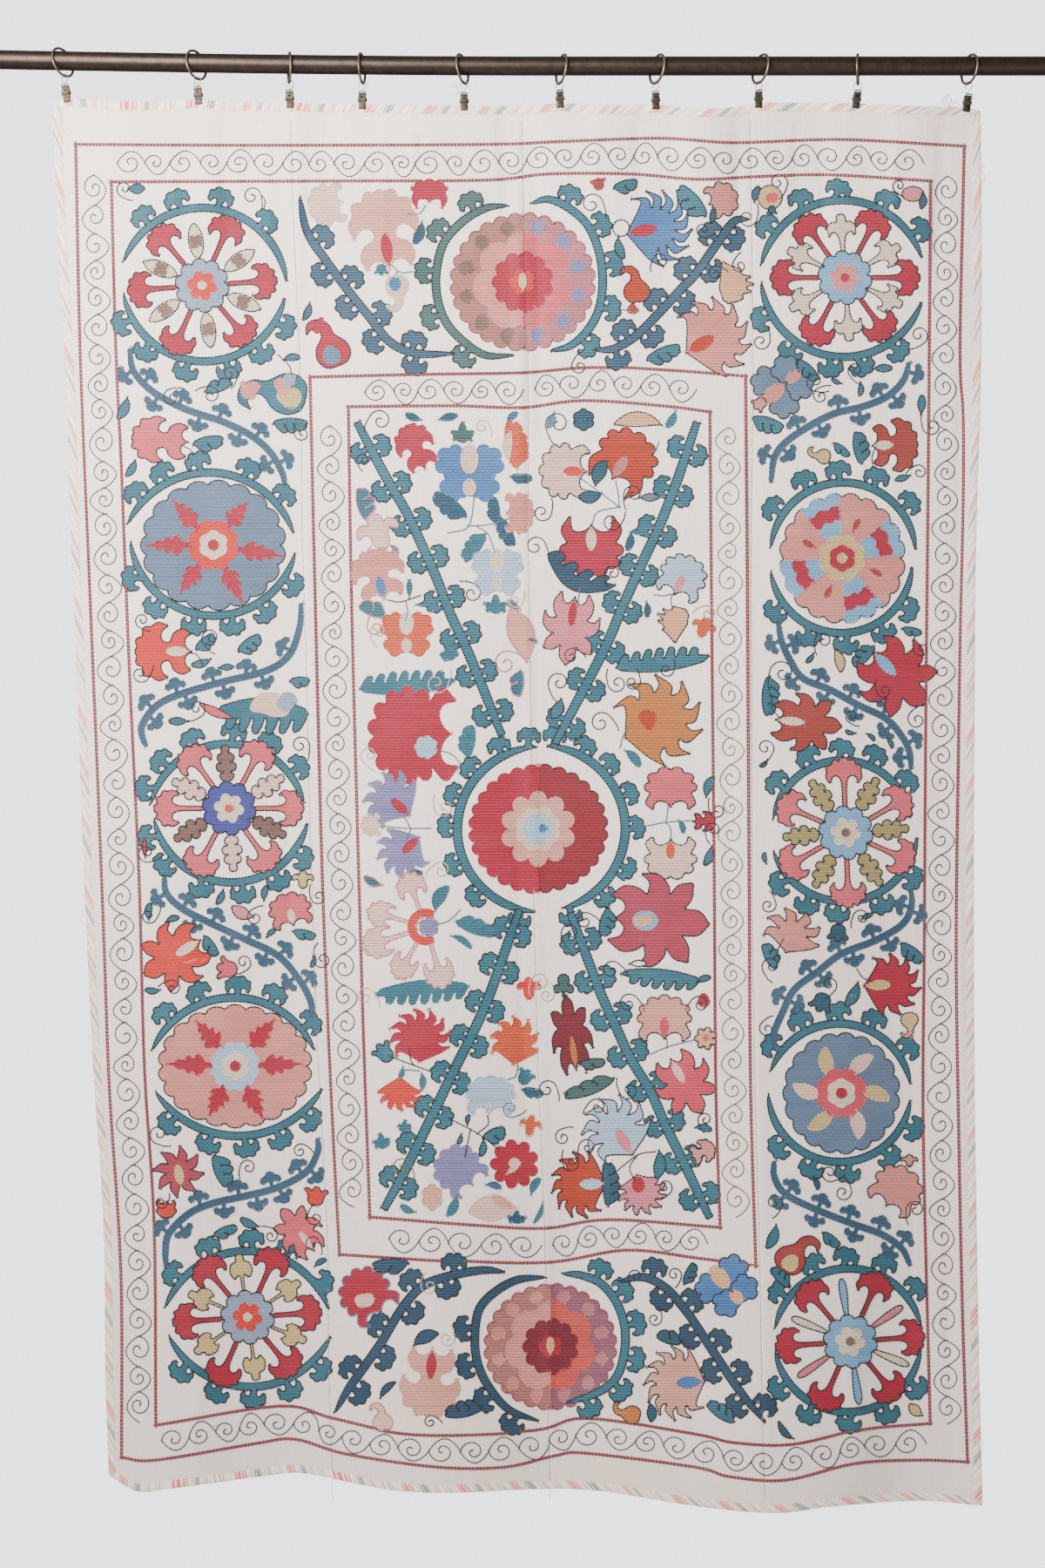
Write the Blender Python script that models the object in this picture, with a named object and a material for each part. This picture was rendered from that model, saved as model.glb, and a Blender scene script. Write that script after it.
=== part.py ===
"""An embroidered cotton hanging, four joined panels with a bound edge, clipped to a curtain rod.

Sizes are in millimetres in the tables and become metres where a mesh is made. +Z is up, the cloth's
face looks along -Y, and the origin is the middle of the rod. Across is X, drop is how far a point
lies below the origin, and forward is how far it stands out towards the front, along -Y.
"""

import math

import bmesh
import bpy
from mathutils import Matrix, Vector

MM = 0.001

# Cloth
PANEL_THICK = 1.2
BINDING_THICK = 0.6
BINDING_WIDE = 11.0
GAP = 0.3
SEAM_SHARES = (0.256, 0.505, 0.751)
CLOTH_WIDE = 1236.0
CLOTH_HIGH = 1845.0
CORNER_DROPS = {"top left": 47.0, "top right": 60.0, "bottom left": 1876.0, "bottom right": 1917.0}

# The side edges: drop, across of the left edge, across of the right edge
SIDE_EDGES = (
    (47, -626, 610),
    (200, -620.5, 611.5),
    (420, -608, 610.5),
    (640, -601, 604),
    (800, -594, 602.5),
    (1080, -584, 601),
    (1330, -572, 602),
    (1545, -558, 605),
    (1740, -555.5, 608.5),
    (1880, -551, 612),
    (1917, -551, 612.5),
)

# The lower hem: across, drop
LOWER_HEM = (
    (-551, 1876),
    (-513, 1898),
    (-477, 1895.5),
    (-347, 1878),
    (-297, 1873.5),
    (-234, 1885),
    (-173, 1896.5),
    (-99, 1900),
    (35, 1894.5),
    (108, 1898),
    (230, 1917.5),
    (338, 1927),
    (410, 1918.5),
    (528, 1910.5),
    (612.5, 1917),
)

# Each clip: across, drop of the hem there, sag of the hem to the next clip, how far the cloth stands
# forward between it and the next clip, turn and lean of its ring, lean of the clip (degrees)
CLIPS = (
    (-607.0, 41.2, 4.9, 7, 33, 12, 8.5),
    (-431.5, 44.1, 2.0, -5, 34, 8, 4),
    (-309.7, 48.7, 0.3, -4, -10, 0, 3),
    (-213.4, 50.6, 0.8, 5, 9, 2, 0),
    (-77.7, 52.2, 2.4, -6, 21.5, 7, 1),
    (49.9, 48.7, 2.6, 5, -19.6, -7, 1),
    (177.5, 50.6, 7.2, 11, -26.6, -7, 0.5),
    (314.4, 48.7, 0.0, -6, -27, -8, -1),
    (444.3, 49.3, 1.5, 7, 10, 0, -9),
    (591.6, 53.9, 0.0, 0, -22.5, -5.5, -9),
)
CLIP_FLAT = 8.0
RIPPLE_FADE = (60.0, 420.0)

# The long folds: across at the top, across at the hem, half width, forward at the hem
FOLDS = (
    (-500, -487, 120, 24),
    (-330, -297, 130, -26),
    (-130, -116, 150, 22),
    (70, 64, 120, -12),
    (330, 336, 190, 30),
    (545, 528, 110, -14),
)
FOLD_START = 75.0
FOLD_END = 1900.0
FOLD_POWER = 1.3
# The outline above is as seen from this far in front of the cloth, with the eye at this drop
SIGHT_DISTANCE = 3200.0
SIGHT_DROP = 956.0

# Rod
ROD_R = 12.5
ROD_HALF = 760.0
ROD_RISE = 8.5
ROD_RISE_AT = 696.0
ROD_RISE_POWER = 1.6
ROD_SIDES = 24
ROD_STEPS = 14

# Clip rings
RING_R = 19.25
RING_WIRE_R = 1.75
RING_STEPS = 20
RING_WIRE_SIDES = 6
HANG_EXACT = 0.001
EYE_R = 5.3
EYE_WIRE_R = 0.5
EYE_NECK = 1.5
EYE_STEPS = 12
# The eye's loop starts and ends short of its neck; degrees round the loop
EYE_TURNS = (-55, 232)
JAW_WIDE = 9.8
JAW_THICK = 0.8
GRIP = 7.5
BARREL_R = 3.1
BARREL_BACK = 0.5
BARREL_HEIGHT = 13.0
BARREL_LONG = 12.4
BARREL_SIDES = 8
# A jaw's bent plate, from its lip to its lever: forward of the cloth's middle, height above the lip
JAW_BENDS = ((2.2, 0.0), (2.2, 8.5), (3.7, 12.5), (3.4, 16.0), (5.2, 23.5))

# The cloth's mesh: rows down it, the most between two columns, and how near a seam one may stand
ROW_COUNT = 21
COLUMN_STEP = 34.0
SEAM_CLEAR = 4.5


def clear_scene():
    for obj in list(bpy.data.objects):
        bpy.data.objects.remove(obj)


def material(name, colour, roughness, metallic):
    made = bpy.data.materials.new(name)
    made.use_nodes = True
    shader = made.node_tree.nodes["Principled BSDF"]
    shader.inputs["Base Color"].default_value = (*colour, 1.0)
    shader.inputs["Roughness"].default_value = roughness
    shader.inputs["Metallic"].default_value = metallic
    return made


def add_object(name, mesh, finish):
    if not mesh.materials:
        mesh.materials.append(finish)
    obj = bpy.data.objects.new(name, mesh)
    bpy.context.scene.collection.objects.link(obj)
    return obj


def mesh_of(name, points, faces, smooth=True):
    mesh = bpy.data.meshes.new(name)
    mesh.from_pydata([tuple(p) for p in points], [], faces)
    work = bmesh.new()
    work.from_mesh(mesh)
    bmesh.ops.recalc_face_normals(work, faces=work.faces)
    work.to_mesh(mesh)
    work.free()
    if smooth:
        mesh.shade_smooth()
        mesh.set_sharp_from_angle(angle=math.radians(40))
    return mesh


def between(low, high, share):
    return low + (high - low) * share


def ease(low, high, value):
    share = min(max((value - low) / (high - low), 0.0), 1.0)
    return share * share * (3 - 2 * share)


def slope_at(rows, i, column):
    before = rows[max(i - 1, 0)]
    after = rows[min(i + 1, len(rows) - 1)]
    return (after[column] - before[column]) / (after[0] - before[0])


def read(rows, value, column=1):
    """A smooth curve through the rows of a table, read at one value of its first column."""
    value = min(max(value, rows[0][0]), rows[-1][0])
    i = 0
    while i < len(rows) - 2 and value > rows[i + 1][0]:
        i += 1
    span = rows[i + 1][0] - rows[i][0]
    share = (value - rows[i][0]) / span
    start, end = slope_at(rows, i, column) * span, slope_at(rows, i + 1, column) * span
    low, high = rows[i][column], rows[i + 1][column]
    cubic = 2 * low - 2 * high + start + end
    square = 3 * high - 3 * low - 2 * start - end
    return low + share * (start + share * (square + share * cubic))


def top_drop(across):
    """The upper hem: it hangs from the clips and sags a little between them."""
    first, last = CLIPS[0], CLIPS[-1]
    left, right = SIDE_EDGES[0][1:]
    if across <= first[0]:
        return between(CORNER_DROPS["top left"], first[1], (across - left) / (first[0] - left))
    if across >= last[0]:
        return between(last[1], CORNER_DROPS["top right"], (across - last[0]) / (right - last[0]))
    for near, far in zip(CLIPS, CLIPS[1:]):
        if across <= far[0]:
            share = (across - near[0]) / (far[0] - near[0])
            return between(near[1], far[1], share) + near[2] * 4 * share * (1 - share)


def hang(share_across, share_down):
    """Across and drop of a point of the cloth, from its shares of the width and the height."""
    left_drop = between(CORNER_DROPS["top left"], CORNER_DROPS["bottom left"], share_down)
    right_drop = between(CORNER_DROPS["top right"], CORNER_DROPS["bottom right"], share_down)
    across = between(read(SIDE_EDGES, left_drop, 1), read(SIDE_EDGES, right_drop, 2), share_across)
    top = top_drop(between(SIDE_EDGES[0][1], SIDE_EDGES[0][2], share_across))
    hem = read(LOWER_HEM, between(LOWER_HEM[0][0], LOWER_HEM[-1][0], share_across))
    return across, between(top, hem, share_down)


def forward(across, drop):
    """How far the cloth stands out: ripples between the clips, and long folds that grow downwards."""
    out = 0.0
    for near, far in zip(CLIPS, CLIPS[1:]):
        start, end = near[0] + CLIP_FLAT, far[0] - CLIP_FLAT
        if start < across < end:
            wave = math.sin(math.pi * (across - start) / (end - start)) ** 2
            out += near[3] * wave * (1 - ease(*RIPPLE_FADE, drop))
    grown = min(max((drop - FOLD_START) / (FOLD_END - FOLD_START), 0.0), 1.1)
    for top, hem, half, deep in FOLDS:
        away = abs(across - between(top, hem, grown)) / half
        if away < 1:
            out += deep * grown**FOLD_POWER * math.cos(math.pi / 2 * away) ** 2
    return out


def cloth_point(share_across, share_down, offset):
    """A point of the hung cloth in metres, offset towards the front from the cloth's middle."""
    across, drop = hang(share_across, share_down)
    out = forward(across, drop)
    lean_across = (forward(across + 1, drop) - forward(across - 1, drop)) / 2
    lean_down = (forward(across, drop + 1) - forward(across, drop - 1)) / 2
    face = Vector((-lean_across, -1, lean_down)).normalized()
    nearer = 1 - out / SIGHT_DISTANCE
    seen = Vector((across * nearer, -out, -between(SIGHT_DROP, drop, nearer)))
    return (seen + offset * face) * MM


def cloth_columns():
    """Shares of the width where the cloth's mesh has a line: the seams, the clips' sides and steps."""
    left = SIDE_EDGES[0][1]
    lines = [BINDING_WIDE + 2]
    for near, far in zip(CLIPS, CLIPS[1:]):
        start, end = near[0] + CLIP_FLAT - left, far[0] - CLIP_FLAT - left
        steps = max(round((end - start) / COLUMN_STEP), 2)
        lines += [between(start, end, i / steps) for i in range(steps + 1)]
    lines.append(CLOTH_WIDE - BINDING_WIDE - 2)
    clear = SEAM_CLEAR / CLOTH_WIDE
    shares = [line / CLOTH_WIDE for line in lines]
    shares = [share for share in shares if all(abs(share - seam) > clear for seam in SEAM_SHARES)]
    return sorted([*shares, *SEAM_SHARES])


def cloth_rows():
    edge = (BINDING_WIDE + 2) / CLOTH_HIGH
    return [between(edge, 1 - edge, i / ROW_COUNT) for i in range(ROW_COUNT + 1)]


def panel(name, left, right, finish):
    """One width of cloth: a thin sheet between two shares of the width, closed round its rim."""
    inset_down = (BINDING_THICK + GAP) / CLOTH_HIGH
    rows = [inset_down, *cloth_rows(), 1 - inset_down]
    clear = SEAM_CLEAR / 2 / CLOTH_WIDE
    columns = [left, *(c for c in cloth_columns() if left + clear < c < right - clear), right]
    points, faces = [], []
    for side in (1, -1):
        for row in rows:
            for column in columns:
                points.append(cloth_point(column, row, side * PANEL_THICK / 2))
    wide, high = len(columns), len(rows)
    back = wide * high
    for j in range(high - 1):
        for i in range(wide - 1):
            a = j * wide + i
            quad = (a, a + 1, a + 1 + wide, a + wide)
            faces += [quad, tuple(v + back for v in reversed(quad))]
    rim = list(range(wide))
    rim += [j * wide + wide - 1 for j in range(1, high)]
    rim += [(high - 1) * wide + i for i in range(wide - 2, -1, -1)]
    rim += [j * wide for j in range(high - 2, 0, -1)]
    for near, far in zip(rim, rim[1:] + rim[:1]):
        faces.append((near, far, far + back, near + back))
    return add_object(name, mesh_of(name, points, faces), finish)


def panels(finish):
    edge = (BINDING_THICK + GAP) / CLOTH_WIDE
    half_gap = GAP / 2 / CLOTH_WIDE
    cuts = [edge, *SEAM_SHARES, 1 - edge]
    for i, (left, right) in enumerate(zip(cuts, cuts[1:]), start=1):
        left += half_gap if i > 1 else 0
        right -= half_gap if i < len(cuts) - 1 else 0
        panel(f"panel_{i}", left, right, finish)


# The folded strip in section: depth in from the hem, offset from the cloth's middle
INNER_FACE = PANEL_THICK / 2 + GAP
OUTER_FACE = INNER_FACE + BINDING_THICK
BINDING_SECTION = (
    (0, OUTER_FACE),
    (BINDING_WIDE, OUTER_FACE),
    (BINDING_WIDE, INNER_FACE),
    (BINDING_THICK, INNER_FACE),
    (BINDING_THICK, -INNER_FACE),
    (BINDING_WIDE, -INNER_FACE),
    (BINDING_WIDE, -OUTER_FACE),
    (0, -OUTER_FACE),
)
MITRE_GAP = 0.25


def binding(name, upright, far_side, finish):
    """A folded strip over one edge, mitred at both corners where it meets its neighbours."""
    long, deep = (CLOTH_HIGH, CLOTH_WIDE) if upright else (CLOTH_WIDE, CLOTH_HIGH)
    stations = cloth_rows() if upright else cloth_columns()
    points, faces = [], []
    for k in range(len(stations) + 2):
        for depth, offset in BINDING_SECTION:
            mitre = (depth + MITRE_GAP) / long
            along = mitre if k == 0 else 1 - mitre if k > len(stations) else stations[k - 1]
            inwards = 1 - depth / deep if far_side else depth / deep
            shares = (inwards, along) if upright else (along, inwards)
            points.append(cloth_point(*shares, offset))
    ring = len(BINDING_SECTION)
    for k in range(len(stations) + 1):
        for i in range(ring):
            a, b = k * ring + i, k * ring + (i + 1) % ring
            faces.append((a, b, b + ring, a + ring))
    last = (len(stations) + 1) * ring
    faces += [tuple(range(ring)), tuple(range(last + ring - 1, last - 1, -1))]
    return add_object(name, mesh_of(name, points, faces), finish)


def rod_height(across):
    """The rod rises slightly towards its left end."""
    return ROD_RISE * (max(-across, 0.0) / ROD_RISE_AT) ** ROD_RISE_POWER


def rod(finish):
    points, faces = [], []
    for k in range(ROD_STEPS + 1):
        across = between(-ROD_HALF, ROD_HALF, k / ROD_STEPS)
        for i in range(ROD_SIDES):
            turn = 2 * math.pi * i / ROD_SIDES
            up = rod_height(across) + ROD_R * math.cos(turn)
            points.append(Vector((across, ROD_R * math.sin(turn), up)) * MM)
    for k in range(ROD_STEPS):
        for i in range(ROD_SIDES):
            a, b = k * ROD_SIDES + i, k * ROD_SIDES + (i + 1) % ROD_SIDES
            faces.append((a, b, b + ROD_SIDES, a + ROD_SIDES))
    last = ROD_STEPS * ROD_SIDES
    faces += [tuple(range(ROD_SIDES)), tuple(range(last + ROD_SIDES - 1, last - 1, -1))]
    return add_object("rod", mesh_of("rod", points, faces), finish)


def ring_axes(turn, lean):
    """A ring's directions: towards the front leg, through its hole, and up."""
    turn, lean = math.radians(turn), math.radians(lean)
    front = Vector((-math.sin(turn), -math.cos(turn), 0))
    side = Vector((math.cos(turn), -math.sin(turn), 0))
    up = math.cos(lean) * Vector((0, 0, 1)) - math.sin(lean) * side
    return front, up.cross(front), up, side


def ring_bottom(across, turn, lean):
    """The middle of the wire at the ring's lowest point, where the ring hangs just clear of the rod."""
    front, _, up, _ = ring_axes(turn, lean)
    nearest = ROD_R + RING_WIRE_R + GAP
    chord = math.cos(math.pi / RING_STEPS)

    def clearance(height):
        centre = Vector((across + RING_R * up.x, 0, height + RING_R * up.z))
        distances = []
        for degrees in range(0, 360, 5):
            angle = math.radians(degrees)
            spot = centre + RING_R * chord * (math.cos(angle) * front + math.sin(angle) * up)
            distances.append(math.hypot(spot.y, spot.z - rod_height(spot.x)))
        return min(distances)

    clear_of_rod = rod_height(across) - RING_R
    too_low = clear_of_rod - RING_R
    while clear_of_rod - too_low > HANG_EXACT:
        middle = (too_low + clear_of_rod) / 2
        if clearance(middle) < nearest:
            too_low = middle
        else:
            clear_of_rod = middle
    return Vector((across, -RING_R * up.y, clear_of_rod))


def ring_mesh():
    points, faces = [], []
    for i in range(RING_STEPS):
        angle = 2 * math.pi * i / RING_STEPS
        out = Vector((math.cos(angle), 0, math.sin(angle)))
        for j in range(RING_WIRE_SIDES):
            round_wire = 2 * math.pi * j / RING_WIRE_SIDES
            reach = RING_R + RING_WIRE_R * math.cos(round_wire)
            aside = Vector((0, RING_WIRE_R * math.sin(round_wire), 0))
            points.append((reach * out + aside) * MM)
    for i in range(RING_STEPS):
        for j in range(RING_WIRE_SIDES):
            a, b = i * RING_WIRE_SIDES, (i + 1) % RING_STEPS * RING_WIRE_SIDES
            k = (j + 1) % RING_WIRE_SIDES
            faces.append((a + j, a + k, b + k, b + j))
    return mesh_of("ring", points, faces)


def add_eye(name, bottom, side, clip_foot, finish):
    """A bent wire: a stem that rises from the clip's barrel, and a loop round the ring's wire."""
    inner = EYE_R - EYE_WIRE_R
    centre = bottom - Vector((0, 0, inner - RING_WIRE_R - GAP))
    neck = centre - Vector((0, 0, EYE_R + EYE_NECK))
    route = [clip_foot, between(clip_foot, neck, 0.5), neck]
    for i in range(EYE_STEPS + 1):
        angle = math.radians(between(*EYE_TURNS, i / EYE_STEPS))
        route.append(centre + EYE_R * (math.cos(angle) * side + math.sin(angle) * Vector((0, 0, 1))))
    wire = bpy.data.curves.new(name, "CURVE")
    wire.dimensions = "3D"
    wire.bevel_depth = EYE_WIRE_R * MM
    wire.bevel_resolution = 1
    wire.use_fill_caps = True
    spline = wire.splines.new("POLY")
    spline.points.add(len(route) - 1)
    for spot, place in zip(spline.points, route):
        spot.co = (*(place * MM), 1)
    return add_object(name, wire, finish)


def prism(name, outline, half_wide):
    """A flat outline in forward and height, drawn out to both sides."""
    count = len(outline)
    points = [
        Vector((side * half_wide, -out, up)) * MM for side in (-1, 1) for out, up in outline
    ]
    faces = [(i, (i + 1) % count, (i + 1) % count + count, i + count) for i in range(count)]
    faces += [tuple(range(count)), tuple(range(2 * count - 1, count - 1, -1))]
    return mesh_of(name, points, faces, smooth=False)


def jaw_outline(side):
    """The bent plate in section, its height measured from the cloth's hem."""
    inner, outer = [], []
    last = len(JAW_BENDS) - 1
    for i in range(last + 1):
        before, after = Vector(JAW_BENDS[max(i - 1, 0)]), Vector(JAW_BENDS[min(i + 1, last)])
        along = (after - before).normalized()
        across = Vector((along.y, -along.x)) * JAW_THICK / 2
        spot = Vector(JAW_BENDS[i]) - Vector((0, GRIP))
        outer.append(spot + across)
        inner.append(spot - across)
    return [(side * p.x, p.y) for p in outer + inner[::-1]]


def back_jaw_mesh():
    """The back plate with the pivot barrel joined to it; the barrel stands out as two small ears."""
    plate = add_object("plate", prism("plate", jaw_outline(-1), JAW_WIDE / 2), None)
    round_barrel = []
    for i in range(BARREL_SIDES):
        angle = 2 * math.pi * i / BARREL_SIDES
        up = BARREL_HEIGHT - GRIP + BARREL_R * math.cos(angle)
        round_barrel.append((BARREL_R * math.sin(angle) - BARREL_BACK, up))
    barrel = add_object("barrel", prism("barrel", round_barrel, BARREL_LONG / 2), None)
    joined = plate.modifiers.new("joined", "BOOLEAN")
    joined.operation = "UNION"
    joined.object = barrel
    bpy.context.view_layer.update()
    ready = plate.evaluated_get(bpy.context.evaluated_depsgraph_get())
    mesh = bpy.data.meshes.new_from_object(ready)
    mesh.name = "jaw_back"
    mesh.materials.clear()
    bpy.data.objects.remove(plate)
    bpy.data.objects.remove(barrel)
    return mesh


def clip_rings(brass, wire, dark_brass):
    ring_shape, back_shape = ring_mesh(), back_jaw_mesh()
    front_shape = prism("jaw_front", jaw_outline(1), JAW_WIDE / 2)
    barrel_top = BARREL_HEIGHT + BARREL_R + GAP - GRIP
    for i, (across, drop, _, _, turn, lean, clip_lean) in enumerate(CLIPS, start=1):
        hem = Vector((across, 0, -drop))
        tilt = math.radians(clip_lean)
        clip_up = Vector((-math.sin(tilt), 0, math.cos(tilt)))
        foot = hem + barrel_top * clip_up
        bottom = ring_bottom(foot.x - math.tan(tilt) * JAW_WIDE / 2, turn, lean)
        front, through, up, side = ring_axes(turn, lean)
        ring = add_object(f"ring_{i:02}", ring_shape, brass)
        facing = Matrix((front, through, up)).transposed().to_4x4()
        ring.matrix_world = Matrix.Translation((bottom + RING_R * up) * MM) @ facing
        add_eye(f"eye_{i:02}", bottom, side, foot, wire)
        for name, shape in (("jaw_front", front_shape), ("jaw_back", back_shape)):
            jaw = add_object(f"{name}_{i:02}", shape, dark_brass)
            jaw.matrix_world = Matrix.Translation(hem * MM) @ Matrix.Rotation(-tilt, 4, "Y")


def build():
    clear_scene()
    cotton = material("cotton", (0.76, 0.73, 0.68), 0.9, 0.0)
    striped = material("striped_cotton", (0.66, 0.50, 0.46), 0.9, 0.0)
    bronze = material("bronze_rod", (0.10, 0.08, 0.06), 0.35, 0.9)
    brass = material("antique_brass", (0.17, 0.14, 0.09), 0.35, 0.95)
    wire = material("steel_wire", (0.45, 0.44, 0.42), 0.3, 1.0)
    dark_brass = material("stamped_brass", (0.12, 0.10, 0.07), 0.4, 0.95)
    panels(cotton)
    binding("binding_top", False, False, striped)
    binding("binding_bottom", False, True, striped)
    binding("binding_left", True, False, striped)
    binding("binding_right", True, True, striped)
    rod(bronze)
    clip_rings(brass, wire, dark_brass)


build()
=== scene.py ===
# %% [markdown]
# This is a suzani: a hanging of four narrow cotton panels, embroidered panel by panel, joined, bound
# round the edge with striped cloth and clipped to a curtain rod. The imported frame already holds the
# plain solids. This file dresses them: first the view, then the cloth, its edge and its metal
# fittings, and last the embroidery, which is the largest part of the work.

# %% Load the frame
import cmath
import math
import random

import bmesh
import bpy
import numpy as np
from mathutils import Matrix, Vector


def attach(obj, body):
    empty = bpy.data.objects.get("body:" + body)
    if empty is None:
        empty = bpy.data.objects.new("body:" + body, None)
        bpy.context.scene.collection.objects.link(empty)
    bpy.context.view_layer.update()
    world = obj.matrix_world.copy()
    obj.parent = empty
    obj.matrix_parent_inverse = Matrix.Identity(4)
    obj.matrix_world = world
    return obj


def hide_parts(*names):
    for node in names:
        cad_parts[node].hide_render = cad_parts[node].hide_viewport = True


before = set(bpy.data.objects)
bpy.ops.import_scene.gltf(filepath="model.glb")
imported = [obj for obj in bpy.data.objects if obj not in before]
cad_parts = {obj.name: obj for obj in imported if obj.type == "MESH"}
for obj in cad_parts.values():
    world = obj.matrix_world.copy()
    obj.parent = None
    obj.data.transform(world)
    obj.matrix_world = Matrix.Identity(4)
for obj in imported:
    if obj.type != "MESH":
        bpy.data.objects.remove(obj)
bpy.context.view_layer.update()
MM = 0.001
scene = bpy.context.scene

# %% [markdown]
# The photograph looks straight at the cloth from about the middle of its height. A level camera
# 3.2 m in front gives the same view, with its lens worked out from the height that the picture shows.
# The light is a plain studio: a soft key light in front on the left, a weaker and warmer one low on
# the right, and a pale world.

# %% The camera
SIGHT_DISTANCE = 3200.0
SIGHT_DROP = 956.0
PIXEL = 1.16
PHOTO_HIGH = 1800
SENSOR = 36.0

camera_data = bpy.data.cameras.new("camera")
camera_data.sensor_width = SENSOR
camera_data.lens = SENSOR * SIGHT_DISTANCE / (PHOTO_HIGH * PIXEL)
camera = bpy.data.objects.new("camera", camera_data)
camera.location = (0, -SIGHT_DISTANCE * MM, -SIGHT_DROP * MM)
camera.rotation_euler = (math.pi / 2, 0, 0)
scene.collection.objects.link(camera)
scene.camera = camera
print(f"lens {camera_data.lens:.1f} mm")

# %% The studio light
WORLD_COLOUR = (0.93, 0.945, 1.0, 1.0)
WALL_SEEN = 2.8
WORLD_LIGHT = 0.38
LIGHT_AIM = (0, 0, -0.3)
# Each light: its name, watts, size and place in metres, colour
LIGHTS = (
    ("key", 160.0, 1.2, (-0.92, -1.6, 0.15), (1.0, 0.985, 0.965)),
    ("fill", 27.0, 1.6, (1.4, -2.2, -2.0), (1.0, 0.85, 0.81)),
)


def soft_light(name, watts, size, place, colour):
    data = bpy.data.lights.new(name, "AREA")
    data.energy = watts
    data.size = size
    data.color = colour
    light = bpy.data.objects.new(name, data)
    light.location = place
    aim = Vector(LIGHT_AIM) - Vector(place)
    light.rotation_euler = aim.to_track_quat("-Z", "Y").to_euler()
    scene.collection.objects.link(light)


world = scene.world or bpy.data.worlds.new("world")
scene.world = world
world.use_nodes = True
sky = world.node_tree
sky.nodes["Background"].inputs["Color"].default_value = WORLD_COLOUR
# the camera sees a brighter wall than the light that the world gives
sight = sky.nodes.new("ShaderNodeLightPath")
strength = sky.nodes.new("ShaderNodeMix")
strength.inputs["A"].default_value = WORLD_LIGHT
strength.inputs["B"].default_value = WALL_SEEN
sky.links.new(sight.outputs["Is Camera Ray"], strength.inputs["Factor"])
sky.links.new(strength.outputs["Result"], sky.nodes["Background"].inputs["Strength"])
for light in LIGHTS:
    soft_light(*light)

# %% The pale floor
FLOOR_DROP, FLOOR_BACK, FLOOR_FRONT, FLOOR_SIDE = 2200.0, 400.0, -4500, 3000
FLOOR_GREY = (0.8, 0.8, 0.8, 1)


def add_floor():
    made = bpy.data.materials.new("pale floor")
    made.use_nodes = True
    shader = made.node_tree.nodes["Principled BSDF"]
    shader.inputs["Base Color"].default_value = FLOOR_GREY
    shader.inputs["Roughness"].default_value = 0.9
    corners = (
        (-FLOOR_SIDE, FLOOR_FRONT), (FLOOR_SIDE, FLOOR_FRONT), (FLOOR_SIDE, FLOOR_BACK),
        (-FLOOR_SIDE, FLOOR_BACK),
    )
    mesh = bpy.data.meshes.new("floor")
    mesh.from_pydata([(x * MM, y * MM, -FLOOR_DROP * MM) for x, y in corners], [], [(0, 1, 2, 3)])
    mesh.materials.append(made)
    floor = bpy.data.objects.new("floor", mesh)
    scene.collection.objects.link(floor)


add_floor()

# %% [markdown]
# Many finishes here are one weave or one thread in another colour, so the nodes that they share are
# built once as groups. A small helper writes each tree from short lines: a node, the values of its
# sockets, and the sockets that feed it.

# %% Helpers for node trees


def linear(code):
    """A colour from its six-digit code, as the light values that shaders use."""
    parts = [int(code[i : i + 2], 16) / 255 for i in (0, 2, 4)]
    return tuple(p / 12.92 if p <= 0.04045 else ((p + 0.055) / 1.055) ** 2.4 for p in parts) + (1.0,)


def add_node(tree, kind, settings=None, **sockets):
    """Adds a node. A socket's value is a constant or another node's output; _ stands for a space."""
    node = tree.nodes.new(kind)
    for key, value in (settings or {}).items():
        setattr(node, key, value)
    for key, value in sockets.items():
        socket = node.inputs[int(key[1:])] if key[1:].isdigit() else node.inputs[key.replace("_", " ")]
        if isinstance(value, bpy.types.NodeSocket):
            tree.links.new(value, socket)
        elif isinstance(value, bpy.types.Node):
            tree.links.new(value.outputs[0], socket)
        else:
            socket.default_value = value
    return node


def arithmetic(tree, operation, first, second=0.0, clamp=False):
    return add_node(
        tree, "ShaderNodeMath", {"operation": operation, "use_clamp": clamp}, i0=first, i1=second
    ).outputs[0]


def mixed(tree, share, first, second, blend="MIX"):
    node = tree.nodes.new("ShaderNodeMix")
    node.data_type = "RGBA"
    node.blend_type = blend
    for index, value in ((0, share), (6, first), (7, second)):
        if isinstance(value, bpy.types.NodeSocket):
            tree.links.new(value, node.inputs[index])
        else:
            node.inputs[index].default_value = value
    return node.outputs[2]


def scaled_place(tree, place, scale):
    return add_node(tree, "ShaderNodeMapping", Vector=place, Scale=scale).outputs[0]


def new_group(name, inputs, outputs):
    """A shader node group. Inputs are name: first value, outputs are name: socket kind."""
    group = bpy.data.node_groups.new(name, "ShaderNodeTree")
    for label, value in inputs.items():
        if isinstance(value, tuple):
            kind = "NodeSocketColor" if len(value) == 4 else "NodeSocketVector"
        else:
            kind = "NodeSocketFloat"
        group.interface.new_socket(label, in_out="INPUT", socket_type=kind).default_value = value
    for label, kind in outputs.items():
        group.interface.new_socket(label, in_out="OUTPUT", socket_type=kind)
    return group, group.nodes.new("NodeGroupInput").outputs, group.nodes.new("NodeGroupOutput").inputs


# %% [markdown]
# Hand-woven cotton is never quite even. Threads cross over and under about every millimetre, some
# are thicker than their neighbours, and old cloth yellows in soft patches. The group below gives the
# height of such a weave and a slow change of tone, and it serves the ground cloth and the edge strip.

# %% The weave group
COLOUR, VALUE = "NodeSocketColor", "NodeSocketFloat"
FULL_TURN = 6.28318


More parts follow.
